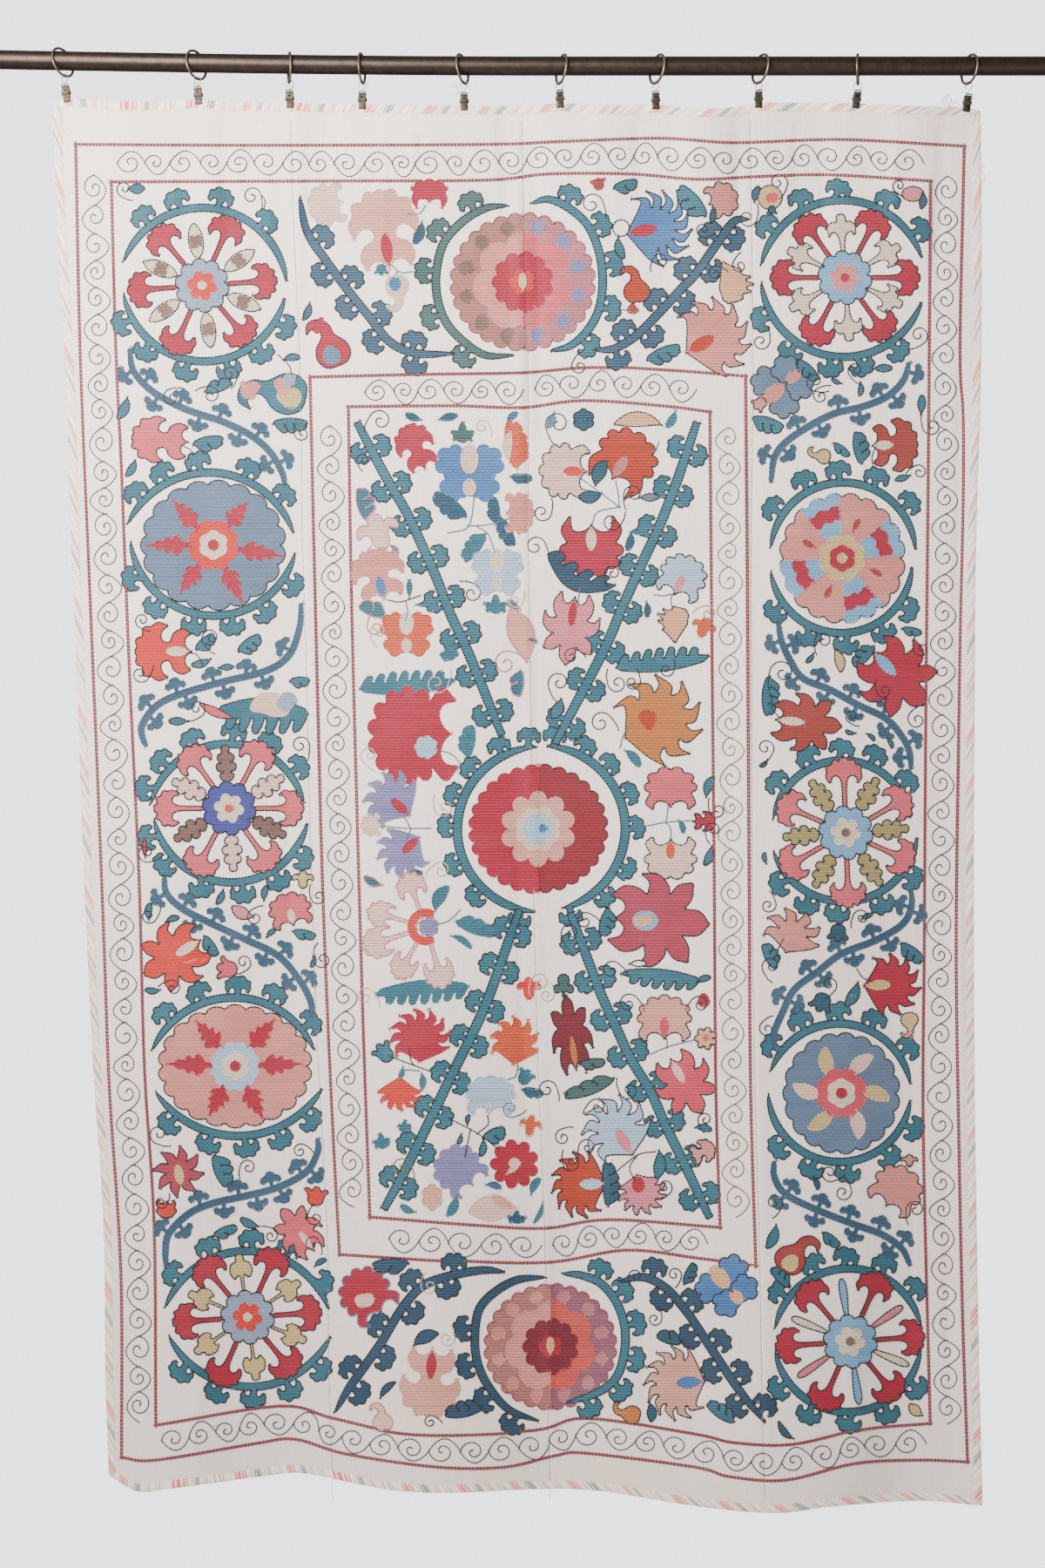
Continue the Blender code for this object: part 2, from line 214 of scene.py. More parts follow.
def build_weave():
    tree, given, out = new_group(
        "weave",
        {
            "Place": (0.0, 0.0, 0.0), "Colour": (0.8, 0.8, 0.8, 1.0), "Aged": (0.8, 0.7, 0.5, 1.0),
            "Thread": 0.0009,
        },
        {"Colour": COLOUR, "Height": VALUE},
    )
    count = arithmetic(tree, "DIVIDE", FULL_TURN, given["Thread"])
    apart = add_node(tree, "ShaderNodeSeparateXYZ", Vector=given["Place"])
    warp = arithmetic(tree, "SINE", arithmetic(tree, "MULTIPLY", apart.outputs["X"], count))
    weft = arithmetic(tree, "SINE", arithmetic(tree, "MULTIPLY", apart.outputs["Z"], count))
    crossing = arithmetic(tree, "MULTIPLY", warp, weft)
    slub_place = scaled_place(tree, given["Place"], (420.0, 60.0, 9.0))
    slubs = add_node(tree, "ShaderNodeTexNoise", Vector=slub_place, Scale=1.0, Detail=3.0)
    height = arithmetic(tree, "ADD", arithmetic(tree, "MULTIPLY", crossing, 0.35), slubs.outputs[0])
    patches = add_node(tree, "ShaderNodeTexNoise", Vector=given["Place"], Scale=2.3, Detail=4.0)
    above = arithmetic(tree, "SUBTRACT", patches.outputs[0], 0.42)
    aging = arithmetic(tree, "MULTIPLY", above, 1.6, True)
    aged = mixed(tree, aging, given["Colour"], given["Aged"])
    streak_place = scaled_place(tree, given["Place"], (150.0, 30.0, 2.2))
    streaks = add_node(tree, "ShaderNodeTexNoise", Vector=streak_place, Scale=1.0, Detail=2.0)
    shade = arithmetic(tree, "ADD", arithmetic(tree, "MULTIPLY", streaks.outputs[0], 0.10), 0.95)
    tree.links.new(mixed(tree, 1.0, aged, shade, "MULTIPLY"), out["Colour"])
    tree.links.new(height, out["Height"])
    return tree


WEAVE = build_weave()


def finish_of(name):
    """An empty material with its shader, ready for a finish to be linked in."""
    made = bpy.data.materials.new(name)
    made.use_nodes = True
    return made, made.node_tree, made.node_tree.nodes["Principled BSDF"]


def use_group(tree, group, **sockets):
    node = tree.nodes.new("ShaderNodeGroup")
    node.node_tree = group
    for key, value in sockets.items():
        if isinstance(value, bpy.types.NodeSocket):
            tree.links.new(value, node.inputs[key])
        else:
            node.inputs[key].default_value = value
    return node.outputs


def bumped(tree, shader, height, depth, strength):
    node = add_node(tree, "ShaderNodeBump", Height=height, Distance=depth, Strength=strength)
    tree.links.new(node.outputs["Normal"], shader.inputs["Normal"])


def object_place(tree):
    return tree.nodes.new("ShaderNodeTexCoord").outputs["Object"]


# %% The ground cotton, with its stains
GROUND = linear("ddd0c9")
GROUND_AGED = linear("d8cab8")
# Stains: across and drop of the middle in millimetres, half width, half height, strength, colour
STAINS = (
    (123, 1876, 75, 40, 0.55, "dcc9a0"),
    (592, 80, 38, 26, 0.35, "c9d0bd"),
    (-245, 905, 34, 30, 0.30, "dfcba6"),
    (-415, 1225, 18, 60, 0.22, "dccfb4"),
    (300, 520, 40, 90, 0.14, "ddd3a8"),
)


def cotton_finish():
    made, tree, shader = finish_of("cotton cloth")
    place = object_place(tree)
    cloth = use_group(tree, WEAVE, Place=place, Colour=GROUND, Aged=GROUND_AGED, Thread=0.0011)
    colour = cloth["Colour"]
    for across, drop, wide, high, strength, code in STAINS:
        middle = add_node(tree, "ShaderNodeVectorMath", {"operation": "SUBTRACT"}, i0=place)
        middle.inputs[1].default_value = (across * MM, 0, -drop * MM)
        flat = scaled_place(tree, middle.outputs[0], (1 / (wide * MM), 0, 1 / (high * MM)))
        rough_edge = add_node(tree, "ShaderNodeTexNoise", Vector=flat, Scale=1.7, Detail=4.0).outputs[0]
        reach = add_node(tree, "ShaderNodeVectorMath", {"operation": "LENGTH"}, i0=flat).outputs["Value"]
        near = arithmetic(tree, "SUBTRACT", arithmetic(tree, "ADD", rough_edge, 0.5), reach, True)
        share = arithmetic(tree, "MULTIPLY", near, strength)
        colour = mixed(tree, share, colour, linear(code))
    tree.links.new(colour, shader.inputs["Base Color"])
    shader.inputs["Roughness"].default_value = 0.92
    shader.inputs["Sheen Weight"].default_value = 0.15
    shader.inputs["Specular IOR Level"].default_value = 0.2
    rumple_place = scaled_place(tree, place, (26.0, 0.0, 4.5))
    rumpled = add_node(tree, "ShaderNodeTexNoise", Vector=rumple_place, Scale=1.0, Detail=3.0).outputs[0]
    height = arithmetic(tree, "ADD", rumpled, arithmetic(tree, "MULTIPLY", cloth["Height"], 0.07))
    bumped(tree, shader, height, 0.0045, 0.7)
    return made


COTTON = cotton_finish()

# %% [markdown]
# The edge strip is cut on the bias from a striped cotton, so its stripes run over the edge at a
# slant, in bunches: coral, then blue-grey, then tan, with cream between them. The stripes follow the
# strip round the cloth, so this finish reads the strip's own map: its first value is the distance
# along the edge and its second the distance over it, in metres. The second is stretched on the two
# side strips, where the stripes slant more steeply and the other way.

# %% The striped edge cotton
STRIPE_SLANT = 0.9
STRIPE_REPEAT = 0.078
# Where each stripe of one repeat starts, as a share of it, and its colour
STRIPES = (
    (0.000, "e6ddd2"), (0.030, "d9604f"), (0.060, "ecd6c8"), (0.080, "d04a3c"), (0.125, "ead6c8"),
    (0.145, "dc7464"), (0.185, "e8dccf"), (0.200, "cf6a60"), (0.225, "e8e0d5"), (0.290, "b39a7e"),
    (0.305, "e8e0d5"), (0.345, "6d7580"), (0.372, "dcd9d2"), (0.392, "3d4552"), (0.425, "d9d6d0"),
    (0.440, "626a76"), (0.465, "e7e0d5"), (0.540, "c49c72"), (0.555, "e8e0d5"), (0.590, "de7c6a"),
    (0.615, "ebdace"), (0.635, "d87060"), (0.650, "e8e0d5"), (0.760, "9a866c"), (0.775, "e5ded3"),
    (0.830, "737b84"), (0.845, "e8e0d5"), (0.870, "dd8a74"), (0.885, "e8e0d5"),
)


def stripe_finish():
    made, tree, shader = finish_of("striped cotton")
    chart = add_node(tree, "ShaderNodeUVMap", {"uv_map": "edge"}).outputs[0]
    apart = add_node(tree, "ShaderNodeSeparateXYZ", Vector=chart)
    slant = arithmetic(tree, "MULTIPLY", apart.outputs["Y"], STRIPE_SLANT)
    along = arithmetic(tree, "ADD", apart.outputs["X"], slant)
    wander = add_node(tree, "ShaderNodeTexNoise", {"noise_dimensions": "1D"}, W=along, Scale=5.0)
    drift = arithmetic(tree, "MULTIPLY", wander.outputs[0], 0.11)
    repeats = arithmetic(tree, "DIVIDE", arithmetic(tree, "ADD", along, drift), STRIPE_REPEAT)
    share = arithmetic(tree, "FRACT", repeats)
    ramp = tree.nodes.new("ShaderNodeValToRGB")
    ramp.color_ramp.interpolation = "CONSTANT"
    while len(ramp.color_ramp.elements) < len(STRIPES):
        ramp.color_ramp.elements.new(0.5)
    for element, (start, code) in zip(ramp.color_ramp.elements, STRIPES):
        element.position = start
        element.color = linear(code)
    tree.links.new(share, ramp.inputs[0])
    place = object_place(tree)
    cloth = use_group(tree, WEAVE, Place=place, Colour=(1, 1, 1, 1), Aged=linear("efe2cc"), Thread=0.0008)
    faded = mixed(tree, 0.10, ramp.outputs[0], linear("e9e0d5"))
    tree.links.new(mixed(tree, 1.0, faded, cloth["Colour"], "MULTIPLY"), shader.inputs["Base Color"])
    shader.inputs["Roughness"].default_value = 0.9
    shader.inputs["Sheen Weight"].default_value = 0.1
    bumped(tree, shader, cloth["Height"], 0.0003, 0.5)
    return made


STRIPED = stripe_finish()

# %% [markdown]
# The rod is a brushed bronze tube, its rings and clips older brass that is dark in its hollows and
# bright where hands have rubbed it. One group makes the wear: the Pointiness of a surface isn't kept
# by the export, so the wear is drawn by two noises, a broad one for the patina and a fine one for
# the rubbing, and the brushing is a noise stretched along the rod.

# %% The worn metal group and its four finishes


def build_patina():
    tree, given, out = new_group(
        "patina",
        {
            "Place": (0.0, 0.0, 0.0), "Dark": (0.05, 0.04, 0.03, 1.0), "Bright": (0.3, 0.25, 0.2, 1.0),
            "Wear": 0.5, "Rough": 0.35, "Brushing": (40.0, 1500.0, 1500.0),
        },
        {"Colour": COLOUR, "Roughness": VALUE, "Height": VALUE},
    )
    broad = add_node(tree, "ShaderNodeTexNoise", Vector=given["Place"], Scale=90.0, Detail=4.0).outputs[0]
    fine = add_node(tree, "ShaderNodeTexNoise", Vector=given["Place"], Scale=900.0, Detail=3.0).outputs[0]
    stretched = add_node(
        tree, "ShaderNodeVectorMath", {"operation": "MULTIPLY"}, i0=given["Place"], i1=given["Brushing"]
    ).outputs[0]
    brushing = add_node(tree, "ShaderNodeTexNoise", Vector=stretched, Scale=1.0, Detail=2.0).outputs[0]
    most = arithmetic(tree, "MULTIPLY", broad, 0.7)
    both = arithmetic(tree, "ADD", most, arithmetic(tree, "MULTIPLY", fine, 0.3))
    rubbed = arithmetic(tree, "ADD", both, arithmetic(tree, "SUBTRACT", given["Wear"], 0.75))
    share = arithmetic(tree, "MULTIPLY", rubbed, 2.0, True)
    tree.links.new(mixed(tree, share, given["Dark"], given["Bright"]), out["Colour"])
    uneven = arithmetic(tree, "MULTIPLY", arithmetic(tree, "SUBTRACT", brushing, 0.5), 0.25)
    tree.links.new(arithmetic(tree, "ADD", given["Rough"], uneven), out["Roughness"])
    tree.links.new(arithmetic(tree, "ADD", brushing, broad), out["Height"])
    return tree


PATINA = build_patina()


def metal_finish(name, dark, bright, wear, rough, brushing, depth):
    made, tree, shader = finish_of(name)
    worn = use_group(
        tree, PATINA, Place=object_place(tree), Dark=linear(dark), Bright=linear(bright), Wear=wear,
        Rough=rough, Brushing=brushing,
    )
    tree.links.new(worn["Colour"], shader.inputs["Base Color"])
    tree.links.new(worn["Roughness"], shader.inputs["Roughness"])
    shader.inputs["Metallic"].default_value = 0.85
    bumped(tree, shader, worn["Height"], depth, 0.5)
    return made


BRONZE = metal_finish("brushed bronze", "261e1a", "3e332b", 0.55, 0.42, (12.0, 900.0, 900.0), 0.00004)
BRASS = metal_finish("ring brass", "42382d", "7d6e5a", 0.55, 0.38, (300.0, 300.0, 300.0), 0.00006)
WIRE = metal_finish("eye wire", "55534f", "8f8d88", 0.6, 0.34, (500.0, 500.0, 500.0), 0.00003)
STAMPED = metal_finish("stamped clip brass", "2a231d", "574c3e", 0.4, 0.50, (250.0, 250.0, 60.0), 0.00008)
print("finishes so far:", len(bpy.data.materials))

# %% [markdown]
# The cloth hangs in ripples between its clips and in long soft folds that grow towards the hem, and
# the solids already have that shape. The same sizes are repeated here, so that the dressed cloth lies
# where its solid does. On top of them come the small creases that a solid leaves out: each is one
# soft ridge or trough between two points, with its own width and height.

# %% The sizes that the cloth shares with its solids
CLOTH_WIDE = 1236.0
CLOTH_HIGH = 1845.0
TOP_LEFT_DROP, TOP_RIGHT_DROP = 47.0, 60.0
BOTTOM_LEFT_DROP, BOTTOM_RIGHT_DROP = 1876.0, 1917.0
SEAM_SHARES = (0.256, 0.505, 0.751)

# The side edges: drop, across of the left edge, across of the right edge
SIDE_EDGES = (
    (47, -626, 610), (200, -620.5, 611.5), (420, -608, 610.5), (640, -601, 604), (800, -594, 602.5),
    (1080, -584, 601), (1330, -572, 602), (1545, -558, 605), (1740, -555.5, 608.5), (1880, -551, 612),
    (1917, -551, 612.5),
)

# The lower hem: across, drop
LOWER_HEM = (
    (-551, 1876), (-513, 1898), (-477, 1895.5), (-347, 1878), (-297, 1873.5), (-234, 1885),
    (-173, 1896.5), (-99, 1900), (35, 1894.5), (108, 1898), (230, 1917.5), (338, 1927), (410, 1918.5),
    (528, 1910.5), (612.5, 1917),
)

# Each clip: across, drop of the hem there, sag of the hem to the next clip, how far the cloth stands
# forward between it and the next clip, turn and lean of its ring, lean of the clip (degrees)
CLIPS = (
    (-607.0, 41.2, 4.9, 7, 33, 12, 8.5),
    (-431.5, 44.1, 2.0, -5, 34, 8, 4),
    (-309.7, 48.7, 0.3, -4, -10, 0, 3),
    (-213.4, 50.6, 0.8, 5, 9, 2, 0),
    (-77.7, 52.2, 2.4, -6, 21.5, 7, 1),
    (49.9, 48.7, 2.6, 5, -19.6, -7, 1),
    (177.5, 50.6, 7.2, 11, -26.6, -7, 0.5),
    (314.4, 48.7, 0.0, -6, -27, -8, -1),
    (444.3, 49.3, 1.5, 7, 10, 0, -9),
    (591.6, 53.9, 0.0, 0, -22.5, -5.5, -9),
)
CLIP_FLAT = 8.0
RIPPLE_FADE = (60.0, 420.0)

# The long folds: across at the top, across at the hem, half width, forward at the hem
FOLDS = (
    (-500, -487, 120, 24),
    (-330, -297, 130, -26),
    (-130, -116, 150, 22),
    (70, 64, 120, -12),
    (330, 336, 190, 30),
    (545, 528, 110, -14),
)
FOLD_START, FOLD_END, FOLD_POWER = 75.0, 1900.0, 1.3

# %% The small creases
# Each crease: across and drop of its start, across and drop of its end, half width, height
CREASES = (
    (-560, 70, -540, 210, 16, 1.6), (-505, 60, -512, 190, 12, -1.4), (-470, 62, -462, 240, 14, 1.5),
    (-400, 60, -392, 260, 13, -1.6), (-372, 58, -380, 180, 10, 1.4), (-345, 60, -332, 330, 12, 1.8),
    (-283, 60, -290, 420, 13, -1.7), (-255, 62, -248, 210, 10, 1.3), (-180, 62, -190, 260, 14, 1.5),
    (-140, 62, -128, 170, 10, -1.2), (-45, 62, -30, 200, 12, 1.4), (-8, 60, -2, 640, 14, 2.2),
    (14, 60, 26, 520, 13, -1.8), (100, 62, 92, 230, 13, 1.5), (150, 62, 158, 190, 11, -1.3),
    (230, 60, 222, 170, 16, 1.8), (282, 62, 292, 250, 12, -1.5), (355, 62, 348, 210, 12, 1.4),
    (404, 60, 398, 300, 14, -1.5), (500, 62, 492, 230, 14, 1.6), (560, 62, 552, 320, 15, -1.8),
    (-300, 420, -262, 1180, 16, 2.0), (-276, 1180, -246, 1840, 18, 2.2),
    (-330, 700, -300, 1300, 18, -1.8), (2, 640, 22, 1260, 12, 1.8), (22, 1260, 38, 1850, 13, 2.0),
    (-14, 900, 8, 1500, 13, -1.4), (292, 430, 306, 1120, 14, 1.7), (306, 1120, 330, 1880, 16, 1.8),
    (270, 760, 286, 1400, 16, -1.5), (-575, 300, -548, 900, 12, 1.6), (-556, 900, -520, 1500, 14, 1.8),
    (-520, 1500, -505, 1860, 16, 1.8), (-592, 360, -566, 820, 9, -1.5), (586, 300, 578, 900, 12, -1.6),
    (578, 900, 586, 1560, 13, 1.7), (560, 1420, 576, 1890, 14, -1.8), (-440, 1560, -430, 1880, 24, 2.2),
    (-180, 1600, -170, 1885, 26, -2.2), (130, 1640, 150, 1890, 26, 2.2),
    (210, 1500, 236, 1880, 24, -2.0), (440, 1600, 452, 1895, 26, 2.0), (-560, 240, -380, 258, 22, 0.9),
    (60, 470, 250, 492, 20, -0.8), (-210, 980, -20, 1000, 24, 0.8), (330, 1220, 520, 1250, 24, -0.9),
    (-500, 1180, -330, 1160, 22, 0.9), (60, 1480, 260, 1500, 24, 0.9),
)
CREASE_RISE = 1.45
SEAM_DIP, SEAM_HALF = 0.6, 2.6

# %% The hung surface


def between(low, high, share):
    return low + (high - low) * share


def ease(low, high, value):
    share = np.clip((value - low) / (high - low), 0.0, 1.0)
    return share * share * (3 - 2 * share)


def read(rows, value, column=1):
    """A smooth curve through the rows of a table, read at values of its first column."""
    keys = np.array([row[0] for row in rows], float)
    heights = np.array([row[column] for row in rows], float)
    before, after = np.r_[0, np.arange(len(keys) - 1)], np.r_[np.arange(1, len(keys)), len(keys) - 1]
    slopes = (heights[after] - heights[before]) / (keys[after] - keys[before])
    value = np.clip(value, keys[0], keys[-1])
    i = np.clip(np.searchsorted(keys, value) - 1, 0, len(keys) - 2)
    span = keys[i + 1] - keys[i]
    share = (value - keys[i]) / span
    low, high = heights[i], heights[i + 1]
    start, end = slopes[i] * span, slopes[i + 1] * span
    cubic = 2 * low - 2 * high + start + end
    square = 3 * high - 3 * low - 2 * start - end
    return low + share * (start + share * (square + share * cubic))


def top_drop(across):
    """The upper hem: it hangs from the clips and sags a little between them."""
    stops = [SIDE_EDGES[0][1], *(clip[0] for clip in CLIPS), SIDE_EDGES[0][2]]
    drop = np.interp(across, stops, [TOP_LEFT_DROP, *(clip[1] for clip in CLIPS), TOP_RIGHT_DROP])
    for near, far in zip(CLIPS, CLIPS[1:]):
        share = np.clip((across - near[0]) / (far[0] - near[0]), 0, 1)
        drop = drop + near[2] * 4 * share * (1 - share)
    return drop


def hems(share_across):
    """The drops of the upper and the lower hem at one share of the width."""
    top = top_drop(between(SIDE_EDGES[0][1], SIDE_EDGES[0][2], share_across))
    return top, read(LOWER_HEM, between(LOWER_HEM[0][0], LOWER_HEM[-1][0], share_across))


def hang(share_across, share_down):
    """Across and drop of a point of the cloth, from its shares of the width and the height."""
    left = read(SIDE_EDGES, between(TOP_LEFT_DROP, BOTTOM_LEFT_DROP, share_down), 1)
    right = read(SIDE_EDGES, between(TOP_RIGHT_DROP, BOTTOM_RIGHT_DROP, share_down), 2)
    top, hem = hems(share_across)
    return between(left, right, share_across), between(top, hem, share_down)


def seam_across(share, drop):
    """Where a line that follows the panels down the cloth stands at one drop."""
    top, hem = hems(np.asarray(share, float))
    return hang(share, (drop - top) / (hem - top))[0]


def creases(across, drop):
    """The small creases, each a soft ridge or trough that fades at both ends."""
    raised = np.zeros(np.broadcast(across, drop).shape)
    for start_across, start_drop, end_across, end_drop, half, high in CREASES:
        run = complex(end_across - start_across, end_drop - start_drop)
        away = (across - start_across + 1j * (drop - start_drop)) / run
        aside = np.abs(away.imag) * abs(run) / half
        along = np.clip(away.real, 0, 1)
        soft = np.where(aside < 1, np.cos(np.pi / 2 * np.minimum(aside, 1)) ** 2, 0)
        raised += CREASE_RISE * high * soft * np.sin(np.pi * along) ** 0.7
    return raised


def forward(across, drop):
    """How far the cloth stands out: ripples, long folds, small creases and the dip along each seam."""
    out = np.zeros(np.broadcast(across, drop).shape)
    for near, far in zip(CLIPS, CLIPS[1:]):
        start, end = near[0] + CLIP_FLAT, far[0] - CLIP_FLAT
        share = np.clip((across - start) / (end - start), 0, 1)
        out += near[3] * np.sin(np.pi * share) ** 2 * (1 - ease(*RIPPLE_FADE, drop))
    grown = np.clip((drop - FOLD_START) / (FOLD_END - FOLD_START), 0.0, 1.1)
    for top, hem, half, deep in FOLDS:
        away = np.minimum(np.abs(across - between(top, hem, grown)) / half, 1)
        out += deep * grown**FOLD_POWER * np.cos(np.pi / 2 * away) ** 2
    for share in SEAM_SHARES:
        out -= SEAM_DIP * np.exp(-(((across - seam_across(share, drop)) / SEAM_HALF) ** 2))
    return out + creases(across, drop)


def on_cloth(across, drop, offset):
    """Points on the hung cloth in metres, as seen from the camera at their across and drop."""
    across, drop = np.broadcast_arrays(np.asarray(across, float), np.asarray(drop, float))
    out = forward(across, drop)
    lean_across = (forward(across + 1, drop) - forward(across - 1, drop)) / 2
    lean_down = (forward(across, drop + 1) - forward(across, drop - 1)) / 2
    nearer = 1 - out / SIGHT_DISTANCE
    long = np.sqrt(lean_across**2 + 1 + lean_down**2)
    spots = np.stack([across * nearer, -out, -between(SIGHT_DROP, drop, nearer)], -1)
    face = np.stack([-lean_across, -np.ones_like(out), lean_down], -1) / long[..., None]
    return (spots + np.asarray(offset)[..., None] * face) * MM


# %% Helpers that make an object of a mesh
SHARP_FROM = 42


def add_piece(name, points, faces, finish, slot):
    mesh = bpy.data.meshes.new(name)
    mesh.from_pydata([tuple(p) for p in points], [], faces)
    mesh.materials.append(finish)
    mesh.shade_smooth()
    mesh.set_sharp_from_angle(angle=math.radians(SHARP_FROM))
    piece = bpy.data.objects.new(name, mesh)
    scene.collection.objects.link(piece)
    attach(piece, "root")
    return piece


def triangles(piece):
    return sum(len(face.vertices) - 2 for face in piece.data.polygons)


# %% [markdown]
# Each panel is a thin sheet with a front and a back, on a grid that is finer across than down,
# because the folds run down. Its columns crowd together at the seams, where the cloth dips into the
# stitching. A simulation could hang the cloth too, but the folds are known here, so a direct mesh
# keeps them where the photograph has them.

# %% The four panels
CLOTH_THICK = 0.8
EDGE_INSET = 0.9
SEAM_GAP = 0.04
COLUMN_STEP, ROW_STEP = 4.6, 14.0
NEAR_SEAM = (1.2, 2.6, 4.6, 7.6)


def sheet_mesh(columns, rows, thick):
    """Points and faces of a closed thin sheet over a grid of shares."""
    across, drop = hang(columns[None, :], rows[:, None])
    spots = [on_cloth(across, drop, side * thick / 2).reshape(-1, 3) for side in (1, -1)]
    wide, high = len(columns), len(rows)
    back = wide * high
    faces = []
    for j in range(high - 1):
        for i in range(wide - 1):
            a = j * wide + i
            faces.append((a, a + wide, a + wide + 1, a + 1))
            faces.append((a + back, a + 1 + back, a + wide + 1 + back, a + wide + back))
    rim = [*range(wide), *(j * wide + wide - 1 for j in range(1, high))]
    rim += [(high - 1) * wide + i for i in range(wide - 2, -1, -1)]
    rim += [j * wide for j in range(high - 2, 0, -1)]
    faces += [(a, b, b + back, a + back) for a, b in zip(rim, rim[1:] + rim[:1])]
    return np.concatenate(spots), faces


def panel_columns(left, right):
    near = np.array(NEAR_SEAM) / CLOTH_WIDE
    steps = round((right - left - 2 * near[-1]) * CLOTH_WIDE / COLUMN_STEP)
    middle = np.linspace(left + near[-1], right - near[-1], steps + 1)
    return np.unique(np.r_[left, left + near, middle, right - near, right])


def add_panels():
    edge, half_gap = EDGE_INSET / CLOTH_WIDE, SEAM_GAP / 2 / CLOTH_WIDE
    cuts = [edge, *SEAM_SHARES, 1 - edge]
    inset = EDGE_INSET / CLOTH_HIGH
    rows = np.linspace(inset, 1 - inset, round(CLOTH_HIGH / ROW_STEP))
    for i, (left, right) in enumerate(zip(cuts, cuts[1:]), start=1):
        left += half_gap if i > 1 else 0
        right -= half_gap if i < len(cuts) - 1 else 0
        points, faces = sheet_mesh(panel_columns(left, right), rows, CLOTH_THICK)
        piece = add_piece(f"cloth_panel_{i}", points, faces, COTTON, "cotton")
        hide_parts(f"panel_{i}")


add_panels()

# %% [markdown]
# The edge strip is folded over the rim of the cloth and sewn through. It is a channel in section, a
# little puffed where it turns over the edge, and mitred at the corners like its solid. The strip
# carries the map that the striped finish reads.

# %% The four edge strips
BINDING_WIDE = 11.0
BINDING_THICK = 0.6
INNER_FACE = 0.75
OUTER_FACE = INNER_FACE + BINDING_THICK
# The folded strip in section: depth in from the hem, offset from the cloth's middle
SECTION = (
    (0.25, 1.0), (1.6, OUTER_FACE + 0.25), (5.2, OUTER_FACE + 0.1), (9.4, OUTER_FACE + 0.15),
    (BINDING_WIDE, OUTER_FACE - 0.3), (BINDING_WIDE - 0.2, INNER_FACE - 0.2), (0.9, INNER_FACE),
    (0.9, -INNER_FACE), (BINDING_WIDE - 0.2, -INNER_FACE + 0.2), (BINDING_WIDE, -OUTER_FACE + 0.3),
    (9.4, -OUTER_FACE - 0.15), (5.2, -OUTER_FACE - 0.1), (1.6, -OUTER_FACE - 0.25), (0.25, -1.0),
    (-0.1, 0.0),
)
EDGE_STEP = 6.0
PUCKER, PUCKER_LONG, PUCKER_DRIFT = 0.22, 17.0, 31
UPRIGHT_SLANT = -2.4


def add_edge(name, upright, far_side):
    long, deep = (CLOTH_HIGH, CLOTH_WIDE) if upright else (CLOTH_WIDE, CLOTH_HIGH)
    count, ring = round(long / EDGE_STEP), len(SECTION)
    depth, offset = np.array(SECTION).T
    share = np.linspace(0, 1, count + 1)[:, None]
    mitre = (depth + 0.25) / long
    along = mitre + share * (1 - 2 * mitre)
    inwards = 1 - depth / deep if far_side else depth / deep
    inwards = np.broadcast_to(inwards, along.shape)
    across, drop = hang(inwards, along) if upright else hang(along, inwards)
    waves = np.sin(2 * np.pi * along * long / PUCKER_LONG) * np.sin(along * long / PUCKER_DRIFT)
    pucker = 1 + PUCKER * waves
    points = on_cloth(across, drop, offset * pucker).reshape(-1, 3)
    faces = []
    for k in range(count):
        for i in range(ring):
            a, b = k * ring + i, k * ring + (i + 1) % ring
            faces.append((a, b, b + ring, a + ring))
    last = count * ring
    faces += [tuple(range(ring - 1, -1, -1)), tuple(range(last, last + ring))]
    if upright == far_side:
        faces = [face[::-1] for face in faces]
    piece = add_piece(f"edge_{name}", points, faces, STRIPED, "striped_cotton")
    reach = np.r_[0, np.cumsum(np.hypot(np.diff(depth), np.diff(offset)))]
    chart = piece.data.uv_layers.new(name="edge")
    steeper = UPRIGHT_SLANT if upright else 1.0
    for loop in piece.data.loops:
        k, i = divmod(loop.vertex_index, ring)
        chart.data[loop.index].uv = (k / count * long * MM, steeper * reach[i] * MM)
    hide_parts(f"binding_{name}")
    print(piece.name, triangles(piece), "triangles")


add_edge("top", False, False)
add_edge("bottom", False, True)
add_edge("left", True, False)
add_edge("right", True, True)

# %% [markdown]
# The rod, the rings and the wire eyes are all one thing to a modeller: a round section drawn along a
# path. One function makes them. It carries its frame from point to point, so that the tube doesn't
# twist, and closes the ends or joins them.

# %% A round section along a path


def tube(path, radius, sides, closed=False):
    """Points and faces of a round tube in metres along a path in millimetres."""
    path = [Vector(spot) for spot in path]
    count = len(path)
    points, faces, across = [], [], None
    for i, spot in enumerate(path):
        before = path[(i - 1) % count] if closed or i > 0 else spot
        after = path[(i + 1) % count] if closed or i < count - 1 else spot
        along = (after - before).normalized()
        if across is None:
            across = along.orthogonal().normalized()
        across = (across - across.dot(along) * along).normalized()
        upwards = along.cross(across)
        for j in range(sides):
            turn = 2 * math.pi * j / sides
            points.append((spot + radius * (math.cos(turn) * across + math.sin(turn) * upwards)) * MM)
    # A closed path comes back turned, so its last span joins at the nearest corner.
    skip = 0
    if closed:
        last = points[(count - 1) * sides]
        skip = min(range(sides), key=lambda j: (points[j] - last).length)
    for i in range(count if closed else count - 1):
        start, end = i * sides, (i + 1) % count * sides
        turn = skip if closed and i == count - 1 else 0
        for j in range(sides):
            k = (j + 1) % sides
            faces.append((start + j, start + k, end + (k + turn) % sides, end + (j + turn) % sides))
    if not closed:
        faces.append(tuple(range(sides - 1, -1, -1)))
        faces.append(tuple(range((count - 1) * sides, count * sides)))
    return points, faces


# %% The rod
ROD_R = 12.5
ROD_HALF = 760.0
ROD_RISE, ROD_RISE_AT, ROD_RISE_POWER = 8.5, 696.0, 1.6
ROD_STEPS, ROD_SIDES = 48, 48
ROD_END = 0.8


